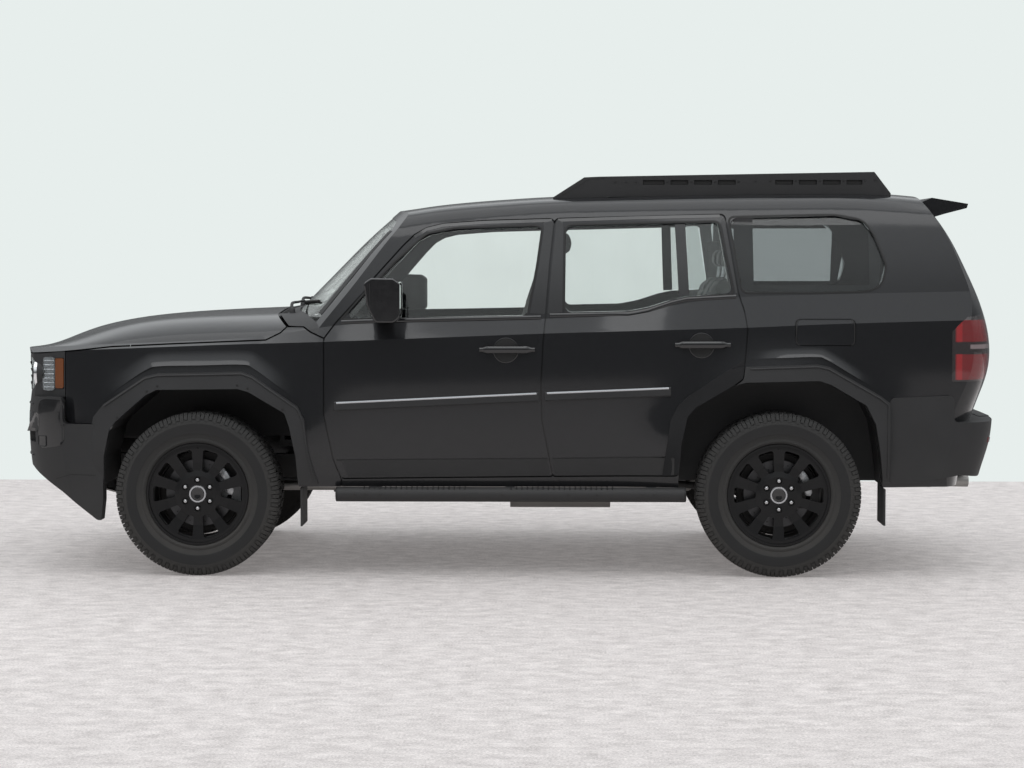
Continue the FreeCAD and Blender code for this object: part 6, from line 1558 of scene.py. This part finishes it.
def wheel_details():
    centre = Vector((x_at(0.37), -0.384 * HALF_WIDTH, z_at(0.605)))
    start = Vector((x_at(0.33), -0.384 * HALF_WIDTH, z_at(0.565)))
    axis = (centre - start).normalized()
    turn = axis.to_track_quat("Z", "Y").to_matrix().to_4x4()
    place = Matrix.Translation(centre) @ turn

    def on_wheel(made, finish):
        made.data.transform(place)
        return dress(made, finish, "steering_wheel")

    horn = lathe("horn_pad", [(0.012, 0.0), (0.012, 0.066), (0.024, 0.064), (0.036, 0.05), (0.041, 0.028),
        (0.042, 0.0)], (0, 0, 0), "Z", 40)
    on_wheel(horn, "cabin_trim")
    ring = bmesh.new()
    for k in range(60):
        a = TURN * k / 60
        b = a + TURN / 120
        add_tube(ring, [(0.168 * math.cos(a), 0.168 * math.sin(a), 0.006),
            (0.168 * math.cos(b), 0.168 * math.sin(b), 0.006)], 0.0011, 4)
    on_wheel(from_bmesh("wheel_stitching", ring), "stitch")
    buttons = bmesh.new()
    for side in (-1, 1):
        for k in range(3):
            add_box(buttons, (-0.012 + 0.022 * (k - 1), side * 0.088 - 0.01, 0.012),
                (0.006 + 0.022 * (k - 1), side * 0.088 + 0.01, 0.017))
    on_wheel(bevelled(from_bmesh("wheel_buttons", buttons), 0.0015), "gloss_trim")
    stalk = bmesh.new()
    for side, reach in ((-1, 0.155), (1, 0.15)):
        add_tube(stalk, smooth_path([(0, side * 0.03, -0.045), (0, side * 0.09, -0.038),
            (0, side * reach, -0.04)], 4), 0.0065, 8)
    made = from_bmesh("column_stalks", stalk)
    made.data.transform(place)
    dress(made, "cabin_trim")


def door_cards():
    """Inner panels of the doors with padded armrests, pulls and speakers."""
    cards = (
        ("front", *FRONT_DOOR, [(0.356, 0.305), (0.348, 0.62), (0.52, 0.635),
                                                         (0.527, 0.308)]),
        ("rear", *REAR_DOOR, [(0.562, 0.308), (0.557, 0.645), (0.69, 0.67),
                                                      (0.69, 0.5), (0.654, 0.43), (0.648, 0.308)]))
    for label, door, body, outline in cards:
        points = side_outline(outline, 0.05)
        dress_pair(cover(f"{label}_door_card_left", [door], "inner_left", points, 0.01, 0.0, step=0.08),
            "cabin_trim", body)
        (s0, _), (s1, _) = outline[1:3]
        x0, x1 = x_at(s0) + 0.1, x_at(s1) - 0.08
        y = touch([door], "inner_left", (x0 + x1) / 2, z_at(0.545))[0].y
        rest = boxes(f"{label}_door_armrest_left",
            [((x0 + 0.1, y + 0.004, z_at(0.52)), (x1, y + 0.06, z_at(0.545)))], 0.012)
        dress_pair(rest, "seat_cover", body)
        pull = smooth_path([(x0 + 0.02, y + 0.006, z_at(0.585)), (x0 + 0.04, y + 0.034, z_at(0.588)),
            (x0 + 0.13, y + 0.036, z_at(0.59)), (x0 + 0.15, y + 0.006, z_at(0.588))], 5)
        dress_pair(tube(f"{label}_door_pull_left", pull, 0.007, 10), "bright_trim", body)
        speaker = bmesh.new()
        centre = Vector((x0 + 0.12, y, z_at(0.385)))
        for r in (0.03, 0.045, 0.06, 0.075, 0.086):
            add_lathe(speaker, [(0.009, r - 0.002), (0.015, r - 0.001), (0.015, r + 0.001),
                (0.009, r + 0.002)], centre, steps=36)
        dress_pair(from_bmesh(f"{label}_speaker_rings_left", speaker), "rubber", body)


dash_details()
wheel_details()
door_cards()


# Seats
PAD_FRAMES = 20
PAD_SHRINK = 0.014


def swollen(made, pressure, cap):
    """Swell a closed form by cloth pressure, with no point moving further than the cap."""
    start = [v.co.copy() for v in made.data.vertices]
    cloth = made.modifiers.new("cloth", "CLOTH")
    cloth.settings.quality = 4
    cloth.settings.use_pressure = True
    cloth.settings.uniform_pressure_force = pressure
    cloth.settings.effector_weights.gravity = 0
    cloth.point_cache.frame_start, cloth.point_cache.frame_end = 1, PAD_FRAMES
    for step in range(1, PAD_FRAMES + 1):
        bpy.context.scene.frame_set(step)
    made = as_plain(made, made.name)
    for vertex, place in zip(made.data.vertices, start):
        shift = vertex.co - place
        if shift.length > cap:
            vertex.co = place + shift.normalized() * cap
    bpy.context.scene.frame_set(1)
    return made


def pad(name, shares, y0, y1, voxel=0.012, pressure=4.0, cap=0.02, flat_below=None):
    """A swollen pad from its side outline, flat where it rests."""
    outline = rounded_outline(grown(side_points(shares), -PAD_SHRINK), 0.035)
    made = plate(name, outline, "Y", y0 + PAD_SHRINK, y1 - PAD_SHRINK)
    remesh = made.modifiers.new("remesh", "REMESH")
    remesh.mode, remesh.voxel_size = "VOXEL", voxel
    made = swollen(as_plain(made, name), pressure, cap)
    for vertex in made.data.vertices:
        if flat_below is not None:
            vertex.co.z = max(vertex.co.z, flat_below)
        vertex.co.y = min(max(vertex.co.y, y0 - 0.004), y1 + 0.004)
    rounder = made.modifiers.new("rounder", "SUBSURF")
    rounder.levels = rounder.render_levels = 1
    made = as_plain(made, name)
    for face in made.data.polygons:
        face.use_smooth = True
    return made


def furrow(made, facing, lines, depth=0.009, width=0.009):
    """Press sewn channels into a pad; a line is (axis across it, its place, axis along it, low, high)."""
    facing = Vector(facing)
    normals = [v.normal.copy() for v in made.data.vertices]
    for vertex, normal in zip(made.data.vertices, normals):
        if normal.dot(facing) < 0.25:
            continue
        near = 0.0
        for across, place, along, low, high in lines:
            if low <= vertex.co[along] <= high:
                near = max(near, math.exp(-((vertex.co[across] - place) / width) ** 2))
        vertex.co -= normal * depth * near
    SURFACES[made.name] = tree_of(made.data)
    return made


def stitches(name, pads, view, paths):
    """Rows of thread along paths over the pads."""
    pitch, long = 0.011, 0.0065
    bm = bmesh.new()
    for (a0, b0), (a1, b1) in paths:
        reach = math.hypot(a1 - a0, b1 - b0)
        for k in range(int(reach / pitch)):
            t, u = k * pitch / reach, (k * pitch + long) / reach
            ends = [touch(pads, view, a0 + (a1 - a0) * s, b0 + (b1 - b0) * s) for s in (t, u)]
            if all(ends) and (ends[0][0] - ends[1][0]).length < 2 * long:
                add_tube(bm, [e[0] + e[1] * 0.0006 for e in ends], 0.0009, 4)
    return from_bmesh(name, bm)


def soft(made, node_name, fill=0.8):
    dress(made, "seat_cover")
    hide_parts(node_name)


def soft_pair(left, fill=0.8):
    right = mirrored(left, left.name.replace("left", "right"))
    soft(left, "front_seats", fill)
    soft(right, "front_seats", fill)


FRONT_SEAT_SIDES, FRONT_SEAT_MIDDLE = (-0.634, -0.1485), -0.391
SEAT_PANEL = 0.135


def front_seats():
    """Padded cushion, back and headrest with channels and thread, over a plain base, shell and rails."""
    y0, y1, mid = *FRONT_SEAT_SIDES, FRONT_SEAT_MIDDLE
    cushion = pad("front_cushion_left", [(0.398, 0.415), (0.398, 0.47), (0.404, 0.482), (0.5, 0.462),
        (0.506, 0.415)], y0, y1, flat_below=z_at(0.416))
    x0, x1 = x_at(0.402), x_at(0.497)
    lines = [(1, mid - SEAT_PANEL, 0, x0, x1), (1, mid + SEAT_PANEL, 0, x0, x1)]
    lines += [(0, x0 + 0.085 * k, 1, mid - SEAT_PANEL, mid + SEAT_PANEL) for k in range(1, 6)]
    furrow(cushion, (0, 0, 1), lines)
    back = pad("front_backrest_left", [(0.5, 0.43), (0.488, 0.46), (0.53, 0.8), (0.54, 0.812),
        (0.556, 0.8), (0.535, 0.43)], y0, y1)
    low, high = z_at(0.475), z_at(0.8)
    lines = [(1, mid - SEAT_PANEL, 2, low, high), (1, mid + SEAT_PANEL, 2, low, high)]
    lines += [(2, low + 0.105 * k, 1, mid - SEAT_PANEL, mid + SEAT_PANEL) for k in range(1, 6)]
    furrow(back, (-1, 0, 0), lines)
    head = pad("front_headrest_left", [(0.5335, 0.826), (0.537, 0.896), (0.565, 0.896), (0.5665, 0.826)],
        -0.505, -0.277, voxel=0.008, cap=0.012)
    furrow(head, (-1, 0, 0), [(2, z_at(0.862), 1, -0.5, -0.28)], 0.004, 0.007)
    rows = [[(x0 + 0.02, mid + side * SEAT_PANEL + away), (x1 - 0.03, mid + side * SEAT_PANEL + away)]
        for side in (-1, 1) for away in (-0.008, 0.008)]
    dress_pair(stitches("front_cushion_stitches_left", ["front_cushion_left"], "top", rows), "stitch")
    rows = [[(mid + side * SEAT_PANEL + away, low + 0.01), (mid + side * SEAT_PANEL + away, high - 0.03)]
        for side in (-1, 1) for away in (-0.008, 0.008)]
    dress_pair(stitches("front_backrest_stitches_left", ["front_backrest_left"], "front", rows), "stitch")
    soft_pair(cushion)
    soft_pair(back)
    soft_pair(head, 0.9)
    base = plate("front_seat_base_left", side_outline([(0.42, 0.34), (0.418, 0.415), (0.5, 0.415),
        (0.496, 0.34)], 0.03), "Y", -0.618, -0.165, 0.008)
    for made in dress_pair(base, "cabin_trim"):
        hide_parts("front_seats")
    rails = [((x_at(0.412), y - 0.016, z_at(0.3342)), (x_at(0.506), y + 0.016, z_at(0.3342) + 0.018))
        for y in (-0.575, -0.205)]
    dress_pair(boxes("front_seat_rails_left", rails, 0.003), "nut_steel")
    shell = plate("front_seat_shell_left", side_points([(0.536, 0.44), (0.556, 0.79), (0.558, 0.79),
        (0.5385, 0.44)]), "Y", -0.6, -0.182, 0.003)
    dress_pair(shell, "cabin_trim")
    posts = bmesh.new()
    for y in (mid - 0.055, mid + 0.055):
        add_tube(posts, [(x_at(0.544), y, z_at(0.795)), (x_at(0.55), y, z_at(0.85))], 0.006, 12)
    dress_pair(from_bmesh("front_head_posts_left", posts), "bright_trim")
    side = boxes("front_seat_side_left",
        [((x_at(0.42), -0.64, z_at(0.392)), (x_at(0.5), -0.618, z_at(0.425)))], 0.008)
    dress_pair(side, "cabin_trim")
    lever = boxes("front_seat_lever_left",
        [((x_at(0.47), -0.65, z_at(0.404)), (x_at(0.492), -0.638, z_at(0.414)))], 0.004)
    dress_pair(lever, "gloss_trim")


REAR_SEAMS = (-0.47, -0.19, 0.19, 0.47)
REAR_SEATS = (-0.33, 0.33)


def rear_seats():
    """One padded cushion, a back split in two and three headrests."""
    cushion = pad("rear_cushion", [(0.592, 0.4), (0.592, 0.45), (0.6, 0.462), (0.682, 0.446),
        (0.686, 0.4)], -0.594, 0.594, voxel=0.014, flat_below=z_at(0.401))
    x0, x1 = x_at(0.596), x_at(0.68)
    lines = [(1, y, 0, x0, x1) for y in REAR_SEAMS]
    lines += [(0, x0 + 0.09 * k, 1, side - 0.14, side + 0.14) for k in range(1, 5) for side in REAR_SEATS]
    soft(furrow(cushion, (0, 0, 1), lines), "rear_seat")
    profile = [(0.682, 0.42), (0.674, 0.446), (0.712, 0.77), (0.722, 0.782), (0.738, 0.77), (0.712, 0.42)]
    low, high = z_at(0.455), z_at(0.765)
    for label, y0, y1 in (("left", -0.594, 0.118), ("right", 0.124, 0.594)):
        back = pad(f"rear_backrest_{label}", profile, y0, y1, voxel=0.013)
        edges = [y for y in REAR_SEAMS if y0 < y < y1]
        lines = [(1, y, 2, low, high) for y in edges]
        for side in REAR_SEATS:
            if y0 < side < y1:
                lines += [(2, low + 0.105 * k, 1, side - 0.14, side + 0.14) for k in range(1, 6)]
        soft(furrow(back, (-1, 0, 0), lines), "rear_seat")
    posts = bmesh.new()
    for label, y0, y1 in (("left", -0.46, -0.25), ("middle", -0.1, 0.1), ("right", 0.25, 0.46)):
        head = pad(f"rear_headrest_{label}", [(0.716, 0.79), (0.719, 0.85), (0.736, 0.85), (0.738, 0.79)],
            y0, y1, voxel=0.009, cap=0.012)
        soft(head, "rear_seat", 0.9)
        for y in ((y0 + y1) / 2 - 0.045, (y0 + y1) / 2 + 0.045):
            add_tube(posts, [(x_at(0.726), y, z_at(0.765)), (x_at(0.7275), y, z_at(0.81))], 0.006, 12)
    dress(from_bmesh("rear_head_posts", posts), "bright_trim")
    base = plate("rear_seat_base", side_outline([(0.612, 0.34), (0.608, 0.4), (0.68, 0.4), (0.672, 0.34)],
        0.03), "Y", -0.575, 0.575, 0.008)
    dress(base, "cabin_trim")
    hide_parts("rear_seat")


WEBBING_WIDTH, WEBBING_THICK = 0.046, 0.0016


def strap(bm, points, across):
    points, across = [Vector(p) for p in points], Vector(across).normalized()
    rings = []
    for i, p in enumerate(points):
        out = frame_along(points, i, False).cross(across).normalized() * (WEBBING_THICK / 2)
        side = across * (WEBBING_WIDTH / 2)
        rings.append([p - side - out, p + side - out, p + side + out, p - side + out])
    add_rings(bm, rings)


def belts():
    """Webbing down the pillars, its guides and the buckles."""
    webbing, hardware = bmesh.new(), bmesh.new()
    for x, top, bottom in ((x_at(0.544), 1.6, 0.72), (x_at(0.726), 1.62, 1.08)):
        heights = [top + (bottom - top) * k / 8 for k in range(9)]
        hits = [touch(["side_left"], "inner_left", x, z) for z in heights]
        run = [h[0] + Vector((0, 0.01, 0)) for h in hits if h]
        if len(run) > 2:
            strap(webbing, smooth_path(run, 3), (1, 0, 0))
            for place in (run[0], run[-1]):
                add_box(hardware, place - Vector((0.034, 0.006, 0.03)),
                    place + Vector((0.034, 0.012, 0.03)))
    dress_pair(from_bmesh("belt_webbing_left", webbing, 1.0), "webbing")
    dress_pair(bevelled(from_bmesh("belt_guides_left", hardware), 0.005), "cabin_trim")
    buckles = [((x_at(0.49), -0.1475, z_at(0.455)), (x_at(0.49) + 0.03, -0.1345, z_at(0.455) + 0.085))]
    buckles += [((x_at(0.68), y, z_at(0.44)), (x_at(0.68) + 0.022, y + 0.03, z_at(0.44) + 0.06))
        for y in (-0.215, -0.12)]
    dress_pair(boxes("belt_buckles_left", buckles, 0.005), "cabin_trim")


def roof_fittings():
    for sign, label in ((-1, "left"), (1, "right")):
        y0, y1 = sorted((sign * 0.13, sign * 0.53))
        outline = oblong(-0.47, y0, -0.33, y1, 0.03)
        visor = cover(f"sun_visor_{label}", ["roof_panel"], "inner_top", outline, 0.03, -0.012, step=0.1)
        dress(visor, "headlining")
    lamp = oblong(-0.27, -0.07, -0.15, 0.07, 0.02)
    dress(cover("roof_console", ["roof_panel"], "inner_top", lamp, 0.022, -0.004, step=0.05), "cabin_trim")
    handles = bmesh.new()
    for x in (-0.1, 0.66):
        hits = [touch(["side_left"], "inner_left", x + dx, 1.69) for dx in (-0.09, 0.0, 0.09)]
        if all(hits):
            a, b, c = (h[0] + Vector((0, 0.003, 0)) for h in hits)
            drop = Vector((0, 0.03, -0.024))
            add_tube(handles, smooth_path([a, a + drop, b + drop * 1.15, c + drop, c], 4), 0.008, 10)
    if handles.verts:
        dress_pair(from_bmesh("grab_handles_left", handles), "cabin_trim")


front_seats()
rear_seats()
belts()
roof_fittings()


# Springs, dampers and what hangs under the floor
def add_helix(bm, centre, low, high, radius, wire, turns):
    steps = int(turns * 18)
    path = []
    for k in range(steps + 1):
        a = TURN * turns * k / steps
        path.append(Vector((centre[0] + radius * math.cos(a), centre[1] + radius * math.sin(a),
            low + (high - low) * k / steps)))
    add_tube(bm, path, wire, 8)


def springs_and_dampers():
    front, rear, y, top = AXLES[0], AXLES[1], -0.56, z_at(0.4)
    coils = bmesh.new()
    add_helix(coils, (front, y), 0.52, top - 0.012, 0.0375, 0.006, 6.5)
    add_helix(coils, (rear, y), AXLE_Z + 0.06, z_at(0.318) - 0.01, 0.0475, 0.007, 4.5)
    made = dress_pair(from_bmesh("coil_springs_left", coils, 1.0), "gloss_trim")
    struts = bmesh.new()
    add_lathe(struts, [(0.446, 0.0), (0.446, 0.03), (0.452, 0.032), (0.512, 0.032), (0.512, 0.0435),
        (0.52, 0.0435), (0.524, 0.026), (0.59, 0.026), (0.592, 0.014), (top - 0.012, 0.014),
        (top - 0.012, 0.042), (top, 0.042), (top, 0.0)], (front, y, 0), "Z", 28)
    add_lathe(struts, [(AXLE_Z + 0.045, 0.0), (AXLE_Z + 0.045, 0.054), (AXLE_Z + 0.052, 0.054),
        (AXLE_Z + 0.054, 0.018), (AXLE_Z + 0.1, 0.016), (AXLE_Z + 0.104, 0.0)], (rear, y, 0), "Z", 28)
    add_lathe(struts, [(0.594, 0.0), (0.59, 0.054), (0.598, 0.054), (0.604, 0.03), (0.604, 0.0)],
        (rear, y, 0), "Z", 28)
    legs = AXLE_Z - 0.1
    for side in (-0.034, 0.034):
        add_tube(struts, [(front + side, y, legs), (front + side, y, 0.47)], 0.0085, 12)
    x, low = rear + 0.12, AXLE_Z + 0.015
    add_lathe(struts, [(low, 0.0), (low, 0.0255), (low + 0.095, 0.0255), (low + 0.098, 0.01),
        (low + 0.125, 0.009), (low + 0.126, 0.021), (0.6, 0.021), (0.603, 0.0)], (x, y, 0), "Z", 24)
    made += dress_pair(from_bmesh("dampers_left", struts), "chassis_steel")
    for piece in made:
        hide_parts("springs")


def underside():
    """Tank straps, engine ribs and covers, frame bolts and exhaust clamps."""
    low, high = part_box("fuel_tank")
    straps = []
    for x in (low.x + 0.14, high.x - 0.14):
        straps += [((x - 0.018, low.y - 0.004, low.z - 0.004), (x + 0.018, high.y + 0.004, low.z)),
            ((x - 0.018, low.y - 0.004, low.z), (x + 0.018, low.y, high.z + 0.004)),
            ((x - 0.018, high.y, low.z), (x + 0.018, high.y + 0.004, high.z + 0.004))]
    dress(boxes("tank_straps", straps, 0.001), "exhaust_steel")
    low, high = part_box("engine_block")
    ribs = [((x, low.y + 0.02, low.z - 0.01), (x + 0.012, high.y - 0.02, low.z))
        for x in [low.x + 0.06 + 0.07 * k for k in range(7)]]
    dress(boxes("sump_ribs", ribs, 0.003), "cast_metal")
    covers = [((low.x + 0.05, y - 0.055, high.z - 0.002), (high.x - 0.08, y + 0.055, high.z + 0.02))
        for y in (-0.15, 0.15)]
    dress(boxes("engine_covers", covers, 0.012), "black_trim")
    bolts = bmesh.new()
    for x in (-1.85, -1.3, -0.7, -0.1, 0.5, 1.0, 1.75, 2.1):
        hit = touch(["frame_rails"], "left", x, 0.505)
        if hit:
            for dz in (-0.022, 0.022):
                add_lathe(bolts, stud(0.002, 0.011, -0.007, -0.009, 0.007), hit[0] + Vector((0, 0, dz)),
                    steps=6)
    dress_pair(from_bmesh("frame_bolts_left", bolts), "nut_steel")
    _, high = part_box("exhaust")
    clamp = bmesh.new()
    y, z = pipe_end()
    for x in (high.x - 0.2, high.x - 0.36):
        add_lathe(clamp, [(x, 0.03), (x + 0.002, 0.036), (x + 0.016, 0.036), (x + 0.018, 0.03)], (0, y, z),
            "X", 24)
    dress(from_bmesh("exhaust_clamps", clamp), "nut_steel")


springs_and_dampers()
underside()


# Camera, light and floor
FLOOR_REACH, FLOOR_BACK = 40, 3.83
BACKDROP, SKY_LIGHT = (0.8, 0.855, 0.84, 1.0), (0.95, 0.98, 1.0, 1.0)
SKY_RISE = {"From_Min": 0.06, "From_Max": 0.6, "To_Min": 0.13, "To_Max": 1.04}
LAMPS = [("overhead", (0, -0.8, 6.5), (0, 0, 0), (8, 3.6), 60), ("front_top", (-7.5, -1.5, 6.0),
    (-1, 0, 0.8), (3.5, 4), 70), ("rear_top", (7.5, 1.0, 6.0), (1, 0, 0.8), (3.5, 4), 70),
    ("left_top", (0.2, -5.4, 7.8), (0.2, -0.9, 1.1), (13, 2.4), 160)]
SENSOR_WIDTH, LENS = 36.0, 80.2
EYE, SIGHT = (0.267, -12.06, 1.5765), (-0.02193, 1.0, -0.05663)


def studio():
    """A wide floor, a pale backdrop, four area lamps and the camera."""
    floor = bpy.data.meshes.new("floor")
    corners = [(-FLOOR_REACH, -FLOOR_REACH, 0), (FLOOR_REACH, -FLOOR_REACH, 0),
        (FLOOR_REACH, FLOOR_BACK, 0), (-FLOOR_REACH, FLOOR_BACK, 0)]
    floor.from_pydata(corners, [], [(0, 1, 2, 3)])
    ground = link("floor", floor)
    ground.data.materials.append(floor_finish())
    world = bpy.data.worlds.new("studio")
    bpy.context.scene.world = world
    world.use_nodes = True
    tree = world.node_tree
    tree.nodes.clear()
    path = node(tree, "ShaderNodeLightPath")
    seen = maths(tree, "MAXIMUM", path.outputs["Is Camera Ray"], path.outputs["Is Transmission Ray"])
    backdrop = node(tree, "ShaderNodeBackground", Color=BACKDROP, Strength=1.0)
    upward = node(tree, "ShaderNodeSeparateXYZ",
        {"Vector": node(tree, "ShaderNodeTexCoord").outputs["Generated"]})
    sky = node(tree, "ShaderNodeMapRange", {"Value": upward.outputs["Z"]}, **SKY_RISE)
    sky.interpolation_type = "SMOOTHSTEP"
    light = node(tree, "ShaderNodeBackground", {"Strength": sky.outputs[0]}, Color=SKY_LIGHT)
    mix = tree.nodes.new("ShaderNodeMixShader")
    tree.links.new(seen, mix.inputs[0])
    tree.links.new(light.outputs[0], mix.inputs[1])
    tree.links.new(backdrop.outputs[0], mix.inputs[2])
    out = tree.nodes.new("ShaderNodeOutputWorld")
    tree.links.new(mix.outputs[0], out.inputs[0])
    for label, place, aim, size, power in LAMPS:
        data = bpy.data.lights.new(label, "AREA")
        data.shape, data.size, data.size_y, data.energy = "RECTANGLE", size[0], size[1], power
        lamp = link(label, data)
        lamp.location = place
        lamp.rotation_euler = (Vector(aim) - Vector(place)).to_track_quat("-Z", "Y").to_euler()
    camera = bpy.data.cameras.new("camera")
    camera.sensor_width, camera.lens = SENSOR_WIDTH, LENS
    made = link("camera", camera)
    made.location = EYE
    made.rotation_euler = Vector(SIGHT).to_track_quat("-Z", "Y").to_euler()
    bpy.context.scene.camera = made
    bpy.context.scene.view_settings.view_transform = "Standard"


studio()

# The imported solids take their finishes
CARRIED = {"knuckle_left": "cast_metal", "knuckle_right": "cast_metal",
    "rear_door_left": "rear_door_paint", "rear_door_right": "rear_door_paint",
    "rear_window_left": "door_glass", "rear_window_right": "door_glass"}
for part in frame["record"]["subparts"]:
    solid = frame["nodes"][part["node"]]
    finish = CARRIED.get(part["node"], part["material_slot"])
    solid.data.materials.clear()
    solid.data.materials.append(M[finish])
